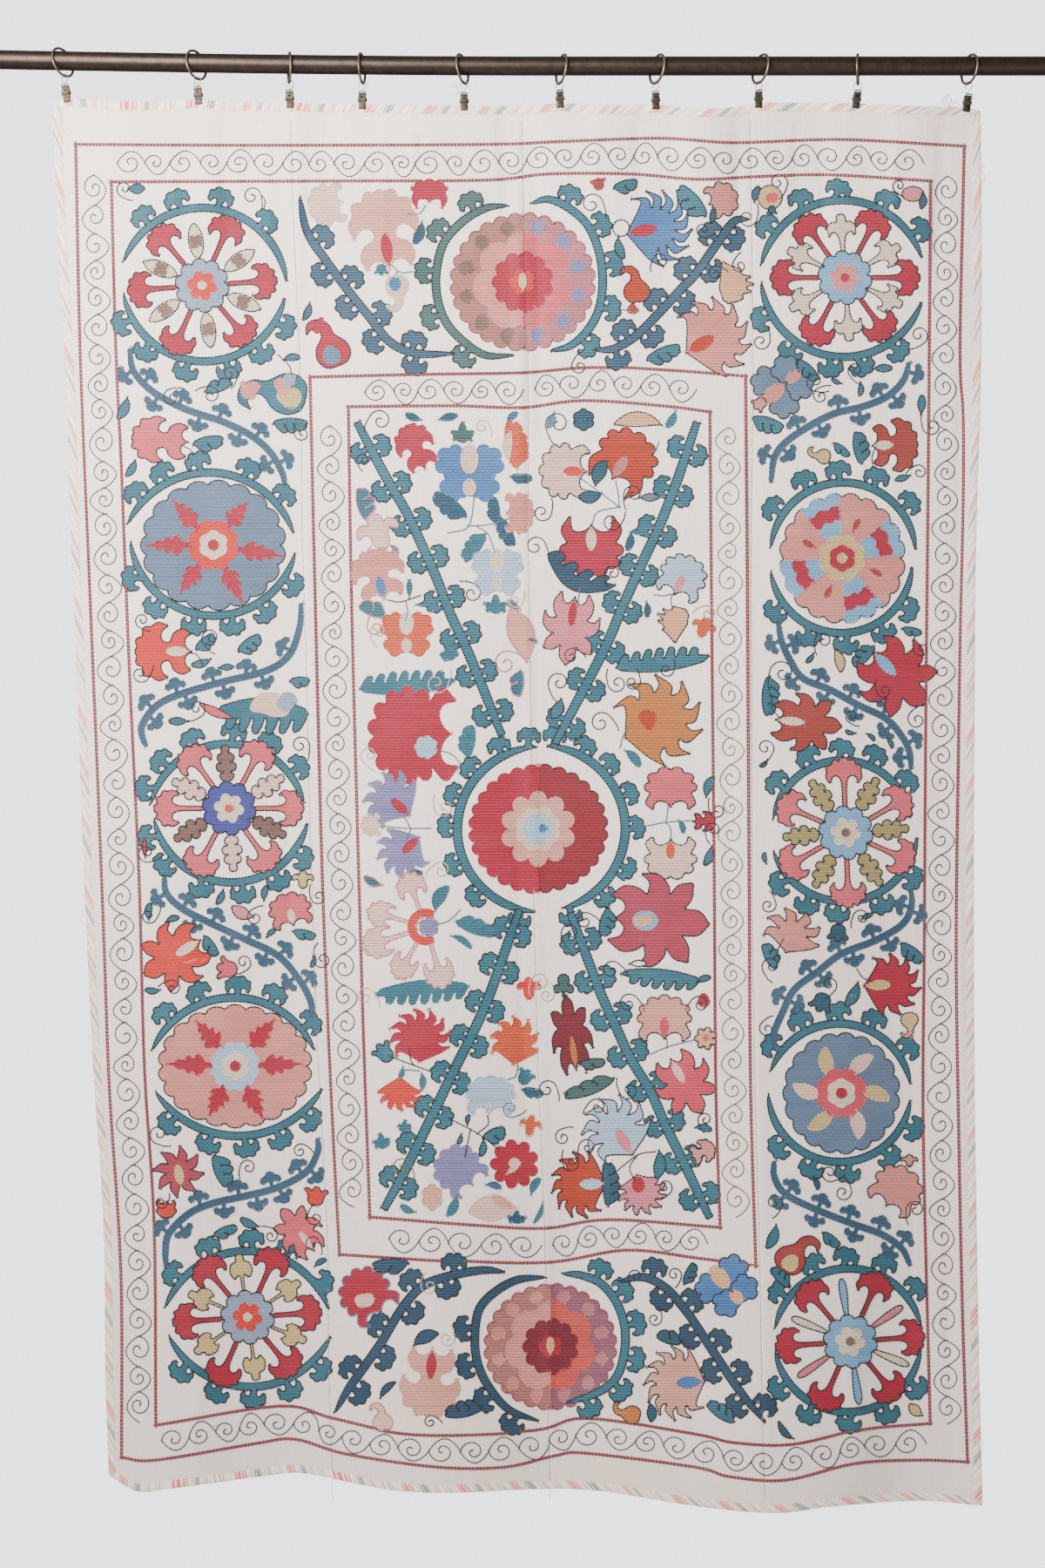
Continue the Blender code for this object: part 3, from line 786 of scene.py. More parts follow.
def rod_height(across):
    """The rod rises slightly towards its left end."""
    return ROD_RISE * (max(-across, 0.0) / ROD_RISE_AT) ** ROD_RISE_POWER


def add_rod():
    inner = ROD_HALF - ROD_END
    stations = [(-ROD_HALF, ROD_R - ROD_END)]
    stations += [(between(-inner, inner, k / ROD_STEPS), ROD_R) for k in range(ROD_STEPS + 1)]
    stations += [(ROD_HALF, ROD_R - ROD_END)]
    points, faces = [], []
    for across, radius in stations:
        for j in range(ROD_SIDES):
            turn = 2 * math.pi * j / ROD_SIDES
            up = rod_height(across) + radius * math.cos(turn)
            points.append(Vector((across, radius * math.sin(turn), up)) * MM)
    for k in range(len(stations) - 1):
        for j in range(ROD_SIDES):
            a, b = k * ROD_SIDES + j, k * ROD_SIDES + (j + 1) % ROD_SIDES
            faces.append((a, a + ROD_SIDES, b + ROD_SIDES, b))
    last = (len(stations) - 1) * ROD_SIDES
    faces += [tuple(range(ROD_SIDES)), tuple(range(last + ROD_SIDES - 1, last - 1, -1))]
    piece = add_piece("curtain_rod", points, faces, BRONZE, "bronze_rod")
    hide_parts("rod")
    print("rod", triangles(piece), "triangles")


add_rod()

# %% [markdown]
# Each clip ring is four things: the ring that slides on the rod, a bent wire eye round it, and two
# stamped jaws on a small pivot. A jaw is a plate with holes, so it is built as a grid of cells in
# which some cells are left out, and every open cell gets its walls. The plate is then bent along the
# same line as its solid.

# %% Rings and wire eyes
RING_R, RING_WIRE_R = 19.25, 1.75
RING_STEPS, RING_SIDES = 64, 14
HANG_GAP, HANG_STEPS, HANG_EXACT = 0.3, 20, 0.001
EYE_R, EYE_WIRE_R, EYE_NECK = 5.3, 0.55, 1.5
EYE_STEPS, EYE_SIDES = 26, 10
EYE_TURNS = (-55, 232)
JAW_WIDE = 9.8
GRIP = 7.5
BARREL_HEIGHT, BARREL_R, BARREL_BACK, BARREL_LONG, BARREL_SIDES = 13.0, 3.1, 0.5, 12.4, 20


def ring_axes(turn, lean):
    """A ring's directions: towards the front leg, up, and to its side."""
    turn, lean = math.radians(turn), math.radians(lean)
    front = Vector((-math.sin(turn), -math.cos(turn), 0))
    side = Vector((math.cos(turn), -math.sin(turn), 0))
    return front, math.cos(lean) * Vector((0, 0, 1)) - math.sin(lean) * side, side


def ring_bottom(across, turn, lean):
    """The middle of the wire at the ring's lowest point, where the ring hangs just clear of the rod."""
    front, up, _ = ring_axes(turn, lean)
    chord = math.cos(math.pi / HANG_STEPS)
    high = rod_height(across) - RING_R
    low = high - RING_R
    while high - low > HANG_EXACT:
        middle = (low + high) / 2
        centre = Vector((across + RING_R * up.x, 0, middle + RING_R * up.z))
        spots = [
            centre + RING_R * chord * (math.cos(math.radians(a)) * front + math.sin(math.radians(a)) * up)
            for a in range(0, 360, 5)
        ]
        nearest = min(math.hypot(spot.y, spot.z - rod_height(spot.x)) for spot in spots)
        if nearest < ROD_R + RING_WIRE_R + HANG_GAP:
            low = middle
        else:
            high = middle
    return Vector((across, -RING_R * up.y, high))


def add_ring(number, bottom, turn, lean):
    front, up, _ = ring_axes(turn, lean)
    centre = bottom + RING_R * up
    angles = [2 * math.pi * i / RING_STEPS for i in range(RING_STEPS)]
    path = [centre + RING_R * (math.cos(a) * front + math.sin(a) * up) for a in angles]
    shape = tube(path, RING_WIRE_R, RING_SIDES, True)
    piece = add_piece(f"clip_ring_{number:02}", *shape, BRASS, "antique_brass")
    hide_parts(f"ring_{number:02}")


def add_eye(number, bottom, side, foot):
    centre = bottom - Vector((0, 0, EYE_R - EYE_WIRE_R + 0.05 - RING_WIRE_R - HANG_GAP))
    neck = centre - Vector((0, 0, EYE_R + EYE_NECK))
    path = [foot, foot.lerp(neck, 0.4), foot.lerp(neck, 0.8), neck]
    for i in range(EYE_STEPS + 1):
        turn = math.radians(between(*EYE_TURNS, i / EYE_STEPS))
        path.append(centre + EYE_R * (math.cos(turn) * side + math.sin(turn) * Vector((0, 0, 1))))
    shape = tube(path, EYE_WIRE_R, EYE_SIDES)
    piece = add_piece(f"wire_eye_{number:02}", *shape, WIRE, "steel_wire")
    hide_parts(f"eye_{number:02}")


# %% The stamped jaws
JAW_THICK = 0.8
# The bent plate: height above the lip, forward of the cloth's middle
JAW_BEND = ((0.0, 2.2), (8.5, 2.2), (12.5, 3.7), (16.0, 3.4), (23.5, 5.2))
JAW_COLUMNS = (-4.9, -4.6, -3.9, -3.4, -2.9, -1.7, 0.0, 1.7, 2.9, 3.4, 3.9, 4.6, 4.9)
JAW_ROWS = (
    0.0, 0.35, 0.9, 1.5, 2.3, 2.8, 5.0, 7.4, 7.9, 9.0, 10.5, 12.0, 13.5, 15.1, 16.9, 18.3, 19.2, 20.1,
    21.2, 22.1, 23.0, 23.5,
)
# Holes in the front plate: half width, lowest and highest height
HOLES = ((3.95, 19.15, 20.15), (3.95, 21.15, 22.15), (1.75, 15.05, 16.95))
# The raised field of the front plate: how far, lowest and highest height, half width
FIELD_RAISE, FIELD_LOW, FIELD_TOP, FIELD_HALF = 0.28, 2.5, 7.7, 3.2
LIP_RAISE, LIP_HIGH, CORNER_R = 0.4, 1.2, 0.9
# The long sides turn back from this far out, by this share
SIDE_FROM, SIDE_TURN = 4.3, 0.35


def jaw_cell_open(aside, height):
    return any(abs(aside) < half and low < height < high for half, low, high in HOLES)


def jaw_forward(aside, height):
    forward_by = float(read(JAW_BEND, height))
    if FIELD_LOW < height < FIELD_TOP and abs(aside) < FIELD_HALF:
        forward_by += FIELD_RAISE
    if height < LIP_HIGH:
        forward_by += LIP_RAISE * math.sin(math.pi * (LIP_HIGH - height) / (2 * LIP_HIGH))
    return forward_by - SIDE_TURN * max(abs(aside) - SIDE_FROM, 0)


def plate(side, pierced):
    """A bent plate with holes, in its own millimetres: aside, along Y, height from the cloth's hem."""
    points, faces = [], []
    wide, high = len(JAW_COLUMNS), len(JAW_ROWS)
    for thick in (JAW_THICK / 2, -JAW_THICK / 2):
        for height in JAW_ROWS:
            for aside in JAW_COLUMNS:
                corner = height in (JAW_ROWS[0], JAW_ROWS[-1]) and abs(aside) == JAW_COLUMNS[-1]
                cut = CORNER_R if corner else 0
                inset = aside - math.copysign(cut * 0.5, aside)
                lift = cut * (0.5 if height == 0 else -0.5)
                away = jaw_forward(aside, height) + thick
                points.append(Vector((inset, -side * away, height + lift - GRIP)))
    back = wide * high
    solid = set()
    for j in range(high - 1):
        for i in range(wide - 1):
            middle = (JAW_COLUMNS[i] + JAW_COLUMNS[i + 1]) / 2, (JAW_ROWS[j] + JAW_ROWS[j + 1]) / 2
            if not (pierced and jaw_cell_open(*middle)):
                solid.add((i, j))
    for i, j in sorted(solid):
        a = j * wide + i
        corners = (a, a + 1, a + wide + 1, a + wide)
        faces += [corners, tuple(c + back for c in reversed(corners))]
        beside = ((i, j - 1), (i + 1, j), (i, j + 1), (i - 1, j))
        for k, cell in enumerate(beside):
            if cell not in solid:
                p, q = corners[k], corners[(k + 1) % 4]
                faces.append((q, p, p + back, q + back))
    return points, [face if side > 0 else face[::-1] for face in faces]


def barrel():
    """The pivot that both jaws turn on: a short rolled tube with a rivet head at each end."""
    stations = (
        (-BARREL_LONG / 2, 1.2), (-BARREL_LONG / 2 + 0.1, 2.0), (-BARREL_LONG / 2 + 0.5, 2.3),
        (-5.3, 2.3),
        (-5.2, BARREL_R - 0.15), (-4.9, BARREL_R), (4.9, BARREL_R), (5.2, BARREL_R - 0.15), (5.3, 2.3),
        (BARREL_LONG / 2 - 0.5, 2.3), (BARREL_LONG / 2 - 0.1, 2.0), (BARREL_LONG / 2, 1.2),
    )
    sides, points, faces = BARREL_SIDES, [], []
    for aside, radius in stations:
        for j in range(sides):
            turn = 2 * math.pi * j / sides
            up = BARREL_HEIGHT - GRIP + radius * math.cos(turn)
            points.append(Vector((aside, radius * math.sin(turn) + BARREL_BACK, up)))
    for k in range(len(stations) - 1):
        for j in range(sides):
            a, b = k * sides + j, k * sides + (j + 1) % sides
            faces.append((a, a + sides, b + sides, b))
    last = (len(stations) - 1) * sides
    return points, faces + [tuple(range(sides)), tuple(range(last + sides - 1, last - 1, -1))]


def joined(*shapes):
    points, faces = [], []
    for more_points, more_faces in shapes:
        faces += [tuple(v + len(points) for v in face) for face in more_faces]
        points += more_points
    return points, faces


def add_clips():
    shapes = {"front": plate(1, True), "back": joined(plate(-1, False), barrel())}
    for number, (across, drop, _, _, turn, lean, clip_lean) in enumerate(CLIPS, start=1):
        hem, tilt = Vector((across, 0, -drop)), math.radians(clip_lean)
        clip_up = Vector((-math.sin(tilt), 0, math.cos(tilt)))
        foot = hem + (BARREL_HEIGHT + BARREL_R + HANG_GAP - GRIP) * clip_up
        bottom = ring_bottom(foot.x - math.tan(tilt) * JAW_WIDE / 2, turn, lean)
        add_ring(number, bottom, turn, lean)
        add_eye(number, bottom, ring_axes(turn, lean)[2], foot)
        lean_over = Matrix.Rotation(-tilt, 3, "Y")
        for side, (points, faces) in shapes.items():
            placed = [(hem + lean_over @ spot) * MM for spot in points]
            piece = add_piece(f"clip_{side}_{number:02}", placed, faces, STAMPED, "stamped_brass")
            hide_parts(f"jaw_{side}_{number:02}")
    print("each jaw has", [len(faces) for _, faces in shapes.values()], "faces")


add_clips()

# %% [markdown]
# The embroidery is drawn first and sewn afterwards. A drawing is a list of marks: filled shapes, each
# with a thread colour and perhaps an outline, and lines. Points are complex numbers in millimetres,
# with the real part to the right and the imaginary part up, because turning and scaling a motif is
# then one multiplication. The motifs are the old stock of this craft, such as rosettes in broken
# rings, hooked buds, almond leaves and carnations, each built here from its own few sizes.

# %% The thread colours
# Each colour: its code, the code it fades to, how far it fades
THREADS = {
    "crimson": ("bb2148", "d0536e", 0.4),
    "deep_crimson": ("8c2238", "a84458", 0.5),
    "coral": ("dc4538", "ec7a66", 0.4),
    "salmon": ("df9a91", "ebb8ac", 0.6),
    "pink": ("e0919d", "eeb4b4", 0.6),
    "rose": ("d9596c", "e78a90", 0.5),
    "shell": ("e4ae9e", "edc6b8", 0.6),
    "melon": ("e0727c", "e99aa0", 0.4),
    "wine": ("bc4a62", "cc7080", 0.4),
    "garnet": ("a62c40", "b84c5a", 0.4),
    "dusk": ("bd847e", "cb9a92", 0.5),
    "flesh": ("e39f97", "ecb8b0", 0.5),
    "plum": ("a66e7e", "b88593", 0.5),
    "watermelon": ("d9665c", "e2857a", 0.4),
    "brick_red": ("b04c42", "c26a60", 0.4),
    "rust": ("c24a24", "d2683f", 0.35),
    "mauve": ("c9858f", "dba9a8", 0.6),
    "orange": ("d9683f", "e68f66", 0.4),
    "amber": ("cd8844", "dba468", 0.4),
    "peach": ("e8b992", "f0cfb0", 0.5),
    "cream": ("ecdac6", "f0e4d4", 0.6),
    "blush": ("efcdbf", "f3ded2", 0.6),
    "straw": ("d9c28e", "e5d4aa", 0.5),
    "brown": ("8d6c62", "b0958a", 0.6),
    "olive": ("b5a574", "c9bd94", 0.5),
    "sky": ("8cb8d8", "b1cfe0", 0.55),
    "ice": ("bccfe2", "d6e0ea", 0.5),
    "cornflower": ("5687b9", "7ba3c8", 0.5),
    "slate": ("788ca5", "95a5b8", 0.5),
    "greyblue": ("a3afc6", "bcc4d2", 0.5),
    "lilac": ("9690ba", "aea8c8", 0.5),
    "violet": ("585ca8", "7477b5", 0.4),
    "teal": ("3f7d8e", "629eaa", 0.5),
    "deep_teal": ("326378", "4c8094", 0.5),
    "stem_blue": ("466a82", "6c8b9c", 0.5),
    "ink_blue": ("345a74", "53778c", 0.45),
    "grey_green": ("507674", "759392", 0.5),
    "navy": ("17202b", "28343f", 0.4),
    "frame_red": ("9d4c55", "b06a70", 0.45),
    "scroll_grey": ("3c4b52", "5d6c70", 0.5),
    "scroll_green": ("7f8a6a", "a0a684", 0.5),
    "pale_thread": ("dccdb8", "e6dccb", 0.5),
    "pale_pink": ("d9929c", "e5b4b6", 0.5),
    "stem_teal": ("4f8092", "7ba0aa", 0.5),
}

# %% Marks, and how they are moved
# FILLS holds colour, outline points, edge colour and the number of the union that it belongs to, or
# 0. LINES holds colour, kind, points and how many fills lie under the line.
FILLS, LINES = [], []


def fill(colour, points, edge="navy"):
    return ("fill", colour, np.asarray(points, complex), edge)


def joined_fill(colour, points, edge="navy"):
    return ("joined", colour, np.asarray(points, complex), edge)


def line(colour, points, kind="tendril"):
    return (kind, colour, np.asarray(points, complex), None)


def moved(marks, place=0j, turn=0.0, size=1.0, mirror=False):
    """Marks mirrored across, turned (degrees), scaled and then placed."""
    spin = size * cmath.exp(1j * math.radians(turn))
    made = []
    for kind, colour, points, edge in marks:
        side = -points.real if mirror else points.real
        made.append((kind, colour, place + spin * (side + 1j * points.imag), edge))
    return made


def sew(marks, *where, **how):
    """Adds marks to the drawing. The joined fills of one call are outlined as one shape."""
    union = len(FILLS) + 1
    for kind, colour, points, edge in moved(marks, *where, **how):
        if kind in ("fill", "joined"):
            FILLS.append((colour, points, edge, union if kind == "joined" else 0))
        else:
            LINES.append((colour, kind, points, len(FILLS)))


def at(pixel_across, pixel_down):
    """The place on the cloth of a pixel of the 1200 by 1800 photograph."""
    rod_middle_across, rod_middle_down = 600, 76
    return complex(pixel_across - rod_middle_across, rod_middle_down - pixel_down) * PIXEL


# %% Curves and outlines
BLOB_CORNERS = 9


def curve(points, steps, closed=False):
    """A smooth line through a few points. A point given twice is a sharp corner."""
    points = [complex(*p) if isinstance(p, tuple) else complex(p) for p in points]
    count = len(points)
    made = []
    for i in range(count if closed else count - 1):
        here, there = points[i], points[(i + 1) % count]
        if here == there:
            continue
        before = points[i - 1] if closed or i > 0 else here
        after = points[(i + 2) % count] if closed or i < count - 2 else there
        start = (there - before) / 2 if before != here else there - here
        end = (after - here) / 2 if after != there else there - here
        for k in range(steps):
            t = k / steps
            cubic, square = 2 * here - 2 * there + start + end, 3 * there - 3 * here - 2 * start - end
            made.append(here + t * (start + t * (square + t * cubic)))
    if not closed:
        made.append(points[-1])
    return np.array(made)


def both_sides(half_outline, long, wide):
    """A closed shape that is the same on both sides of its middle line, from its right half."""
    right = [complex(x * wide, y * long) for x, y in half_outline]
    left = [complex(-p.real, p.imag) for p in reversed(right) if p.real > 0.004]
    return curve(right + left, 4, closed=True)


def disc(radius, squash=1.0, steps=20):
    turn = np.linspace(0, 2 * np.pi, steps, endpoint=False)
    return radius * (np.cos(turn) + 1j * squash * np.sin(turn))


def scalloped(radius, count, depth, turn=0.0, steps=6):
    """A round outline with rounded lobes."""
    share = np.linspace(0, count, count * steps, endpoint=False)
    reach = radius * (1 - depth + depth * np.abs(np.sin(np.pi * share)) ** 0.7)
    return reach * np.exp(1j * (2 * np.pi * share / count + math.radians(turn)))


def strap(path, thick, ends):
    """A band along a path, drawn in towards both its ends."""
    path = np.asarray(path)
    along = np.gradient(path)
    aside = 1j * along / np.abs(along)
    share = np.linspace(0, 1, len(path))
    width = thick / 2 * (1 - (1 - ends) * np.abs(2 * share - 1) ** 7)
    return np.concatenate([path + aside * width, (path - aside * width)[::-1]])


def blob(radius, seed):
    """A soft uneven patch, for places where one dye lot ran out and another took over."""
    chance = random.Random(seed)
    spots = [
        radius * chance.uniform(0.65, 1.1) * cmath.exp(2j * math.pi * k / BLOB_CORNERS)
        for k in range(BLOB_CORNERS)
    ]
    return curve(spots, 4, closed=True)


# %% Petals and buds by their right half: across, up; a repeated point is a corner
FLARE = (
    (0.04, 0), (0.045, 0.30), (0.06, 0.52), (0.11, 0.63), (0.19, 0.66), (0.27, 0.60), (0.29, 0.50),
    (0.29, 0.50), (0.38, 0.60), (0.38, 0.72), (0.36, 0.73), (0.38, 0.85), (0.28, 0.90), (0.27, 0.89),
    (0.22, 1.00), (0.12, 0.98), (0.11, 0.97), (0.07, 1.04), (0, 1.04),
)
ALMOND = ((0, 0), (0, 0), (0.14, 0.18), (0.20, 0.50), (0.14, 0.82), (0, 1.0), (0, 1.0))
OAK = (
    (0.03, 0), (0.17, 0.10), (0.18, 0.22), (0.08, 0.27), (0.08, 0.27), (0.25, 0.33), (0.25, 0.50),
    (0.11, 0.53), (0.11, 0.53), (0.23, 0.62), (0.19, 0.76), (0.08, 0.78), (0.08, 0.78), (0.11, 0.93),
    (0, 1.0),
)
MUSHROOM = (
    (0.03, 0), (0.04, 0.35), (0.10, 0.44), (0.18, 0.34), (0.18, 0.34), (0.30, 0.50), (0.26, 0.74),
    (0.12, 0.80), (0.12, 0.80), (0.09, 0.97), (0, 1.0),
)
BELL = (
    (0.04, 0), (0.07, 0.28), (0.13, 0.46), (0.26, 0.52), (0.34, 0.40), (0.34, 0.40), (0.38, 0.66),
    (0.24, 0.80), (0.13, 0.78), (0.13, 0.78), (0.10, 0.97), (0, 1.0),
)
FINGER = ((0.04, 0), (0.075, 0.25), (0.10, 0.60), (0.085, 0.88), (0, 1.0))
RAY = (
    (0.05, 0), (0.05, 0.20), (0.15, 0.28), (0.20, 0.40), (0.20, 0.40), (0.10, 0.42), (0.10, 0.42),
    (0.17, 0.58), (0.17, 0.58), (0.07, 0.60), (0.07, 0.60), (0.10, 0.77), (0.10, 0.77), (0.04, 0.80),
    (0, 1.0), (0, 1.0),
)
BUD = (
    (0.17, 0), (0.12, 0.20), (0.14, 0.38), (0.22, 0.47), (0.33, 0.40), (0.39, 0.24), (0.39, 0.24),
    (0.52, 0.38), (0.50, 0.58), (0.50, 0.58), (0.52, 0.76), (0.33, 0.84), (0.33, 0.84), (0.28, 1.0),
    (0.11, 1.02), (0, 0.95), (0, 0.95),
)
TREFOIL = (
    (0.09, 0), (0.07, 0.30), (0.12, 0.46), (0.28, 0.46), (0.42, 0.34), (0.42, 0.34), (0.54, 0.56),
    (0.42, 0.76), (0.24, 0.74), (0.24, 0.74), (0.20, 0.96), (0, 1.0),
)
LILY = (
    (0, 0), (0, 0), (0.16, 0.06), (0.25, 0.26), (0.26, 0.44), (0.40, 0.52), (0.60, 0.44), (0.60, 0.44),
    (0.60, 0.66), (0.42, 0.80), (0.22, 0.74), (0.22, 0.74), (0.20, 0.92), (0, 1.05), (0, 1.05),
)
TULIP = (
    (0, 0), (0, 0), (0.20, 0.04), (0.36, 0.22), (0.38, 0.46), (0.47, 0.66), (0.58, 0.80), (0.58, 0.80),
    (0.40, 0.88), (0.22, 0.72), (0.22, 0.72), (0.16, 0.90), (0, 1.0), (0, 1.0),
)
CROWN = (
    (0.08, 0), (0.26, 0.10), (0.44, 0.04), (0.44, 0.04), (0.46, 0.36), (0.58, 0.52), (0.58, 0.52),
    (0.32, 0.56), (0.20, 0.50), (0.20, 0.50), (0.13, 0.80), (0, 1.0), (0, 1.0),
)


def petal(half_outline, colour, long, wide, edge, start=0.0):
    """A petal that stands on the point start up from the origin."""
    outline = both_sides(half_outline, long, wide)
    return [fill(colour, outline + 1j * start, edge)]


def around(marks, turns):
    """The same marks at several turns round the origin; a petal's own axis points up at 90 degrees."""
    return [mark for turn in turns for mark in moved(marks, turn=turn - 90)]


# %% Leaves and tendrils


def comma(colour, long=1.0, wide=0.4, bend=0.35, edge="navy"):
    """A smooth leaf that bends to the right as it rises."""
    share = np.linspace(0, 1, 14)
    spine = long * (1j * share * (1 - 0.3 * abs(bend) * share) + bend * share**2)
    along = np.gradient(spine)
    aside = -1j * along / np.abs(along)
    width = wide / 2 * np.sin(np.pi * share**1.1) ** 0.8
    left_side = (spine - aside * width)[::-1][1:-1]
    return [fill(colour, np.concatenate([spine + aside * width, left_side]), edge)]


HOOK_DEPTH = 1.25
# One hook of each leaf: step along the leaf, reach out from it
ACANTHUS_HOOK = ((0.0, 0.20), (0.22, 0.58), (0.62, 0.76), (1.05, 0.74), (1.30, 0.56), (1.05, 0.40))
SERRATED_HOOK = (
    (0.0, 0.40), (0.2, 0.68), (0.5, 0.94), (0.85, 0.92), (0.95, 0.74), (0.84, 0.60), (0.90, 0.42),
)


def acanthus(colour, wide, teeth, bend=0.25, edge="navy"):
    """A long leaf, smooth along its left side and hooked along its right."""
    share = np.linspace(0, 1, 20)
    spine = 1j * share + bend * share**2
    along = np.gradient(spine)
    aside = -1j * along / np.abs(along)

    def side(t, reach):
        swell = math.sin(math.pi * min(0.12 + 0.80 * t, 0.97)) ** 0.6
        parts = (spine.real, spine.imag, aside.real, aside.imag)
        read_at = [np.interp(t, share, part) for part in parts]
        return complex(*read_at[:2]) + wide * reach * swell * complex(*read_at[2:])

    hooked = []
    for k in range(teeth):
        for step, reach in ACANTHUS_HOOK:
            t = min(0.04 + 0.88 * (k + step) / teeth, 1.0)
            hooked.append(side(t, reach * HOOK_DEPTH - 0.25 * (HOOK_DEPTH - 1)))
    smooth_side = [side(t, -0.26) for t in np.linspace(0.94, 0.06, 12)]
    return [fill(colour, [spine[0], *hooked, spine[-1], *smooth_side], edge)]


def serrated(colour, wide, teeth, bend, edge="navy"):
    """A narrow leaf, one unit long, with a row of separate hooks along its right."""

    def side(t, reach):
        swell = 0.55 + 0.45 * math.sin(math.pi * t)
        return bend * math.sin(math.pi * t) + 1j * t + wide * reach * swell

    hooked = [
        side(0.03 + 0.90 * (k + step) / teeth, reach)
        for k in range(teeth)
        for step, reach in SERRATED_HOOK
    ]
    smooth_side = [side(t, -0.24) for t in np.linspace(0.96, 0.04, 10)]
    return [fill(colour, [side(0, 0), *hooked, side(1.04, 0.2), *smooth_side], edge)]


CURL_TURNS, CURL_STALK = 1.2, 0.55


def curl(colour):
    """A tendril that rises from the origin and rolls over to the right."""
    share = np.linspace(0, 1, 26)
    radius = 0.31 * (1 - share) + 0.07
    rolled = complex(0.38, CURL_STALK) + radius * np.exp(1j * (np.pi - 2 * np.pi * CURL_TURNS * share))
    foot = [0.08 + 0j, 0.02 + 0.25j * CURL_STALK, 0.6j * CURL_STALK]
    return [line(colour, 1.15 * np.concatenate([foot, rolled]))]


# %% Flowers: each stands on the origin and is one unit tall
SLIT_WIDE = 0.42


def slit_mark(colour, long=0.42, start=0.06):
    return fill(colour, both_sides(ALMOND, long, SLIT_WIDE) + 1j * start, None)


FAN_WIDE = 1.1


def fan(colour, lobes, spread=112, edge="navy", slit=None, horn=0.0):
    """A carnation from the side: a scalloped fan over two horns that curl back past its stem."""
    centre, rim = 0.50j, []
    for k in range(lobes * 5 + 1):
        turn = math.radians(90 - spread + 2 * spread * k / (lobes * 5))
        reach = 0.41 + 0.09 * abs(math.sin(math.pi * k / 5)) ** 0.7
        rim.append(centre + reach * cmath.exp(1j * turn))
    tip = 0.33 - (0.08 + horn) * 1j
    right = curve([0, 0, 0.08 + 0.09j, 0.20 + 0.13j, 0.30 + 0.07j, tip, tip, 0.47 + 0.08j, rim[0]], 4)
    left = [complex(-p.real, p.imag) for p in right[::-1]]
    outline = np.array([*right[:-1], *rim, *left[1:-1]])
    marks = [fill(colour, outline.real * FAN_WIDE + 1j * outline.imag, edge)]
    return [*marks, slit_mark(slit)] if slit else marks


def spiky(colour, points, spread, hook=12.0, depth=0.36, edge="navy", slit=None):
    """A flower with long hooked petals, like a chrysanthemum from the side."""
    centre, outline = 0.46j, [0j, 0j]
    span = 2 * spread / points
    start = 90 - spread
    for k in range(points):
        low = start + k * span
        if k:
            outline += [centre + 0.54 * (1 - depth) * cmath.exp(1j * math.radians(low))] * 2
        outline += [centre + 0.47 * cmath.exp(1j * math.radians(low + span * 0.18))]
        outline += [centre + 0.58 * cmath.exp(1j * math.radians(low + span * 0.55 + hook))] * 2
        outline += [centre + 0.44 * cmath.exp(1j * math.radians(low + span * 0.72))]
    marks = [fill(colour, curve(outline, 3, closed=True), edge)]
    return [*marks, slit_mark(slit)] if slit else marks


def simple(half_outline, colour, edge="navy", slit=None):
    marks = petal(half_outline, colour, 1.0, 1.0, edge)
    return [*marks, slit_mark(slit, 0.40)] if slit else marks


PAISLEY = (
    (0, 0), (0.22, 0.03), (0.34, 0.22), (0.30, 0.45), (0.14, 0.62), (0.12, 0.78), (0.24, 0.86),
    (0.38, 0.78), (0.38, 0.78), (0.30, 0.98), (0.08, 1.0), (-0.08, 0.84), (-0.12, 0.62), (-0.28, 0.40),
    (-0.30, 0.18), (-0.18, 0.03),
)


def paisley(colour, inner=None, edge="navy", tip=None):
    """A drop whose tip curls over, with perhaps a patch of a second colour."""
    marks = [fill(colour, curve(PAISLEY, 4, closed=True), edge)]
    if tip:
        marks.append(fill(tip, 0.08 + 0.86j + blob(0.17, 9), None))
    if inner:
        marks.append(fill(inner, 0.06 + 0.27j + blob(0.20, 4), None))
    return marks


def winged(colour, body, edge=None, foot=None):
    """A flower like a butterfly: four scalloped wings round a pale body."""
    upper, lower = scalloped(0.30, 6, 0.24, 12), scalloped(0.26, 5, 0.24, 30)
    marks = [fill(colour, 0.5j + disc(0.2), None)]
    for side in (-1, 1):
        marks.append(fill(colour, side * (0.27 + upper.real) + 1j * (0.66 + upper.imag), edge))
        marks.append(fill(colour, side * (0.23 + lower.real) + 1j * (0.28 + lower.imag), edge))
    marks.append(fill(body, 0.72j + disc(0.14, 1.7), None))
    return [*marks, fill(foot or body, 0.25j + disc(0.10, 1.4), None)]


def floret(colour, petals, centre, edge="navy", depth=0.34):
    rim = fill(colour, 0.5j + scalloped(0.5, petals, depth), edge)
    return [rim, fill(centre, 0.5j + disc(0.11), None)]


STAR_POINTS, STAR_HOOK, STAR_DEPTH = 8, 10.0, 0.5


def star(colour, slit):
    """A round star of hooked petals, seen from the front, with a slit in its middle."""
    outline, span = [], 360 / STAR_POINTS
    for k in range(STAR_POINTS):
        low = span * k
        outline += [0.5j + 0.5 * (1 - STAR_DEPTH) * cmath.exp(1j * math.radians(low))] * 2
        outline += [0.5j + 0.38 * cmath.exp(1j * math.radians(low + span * 0.22))]
        outline += [0.5j + 0.52 * cmath.exp(1j * math.radians(low + span * 0.5 + STAR_HOOK))] * 2
        outline += [0.5j + 0.38 * cmath.exp(1j * math.radians(low + span * 0.78))]
    return [fill(colour, curve(outline, 3, closed=True), "navy"), slit_mark(slit, 0.40, 0.24)]


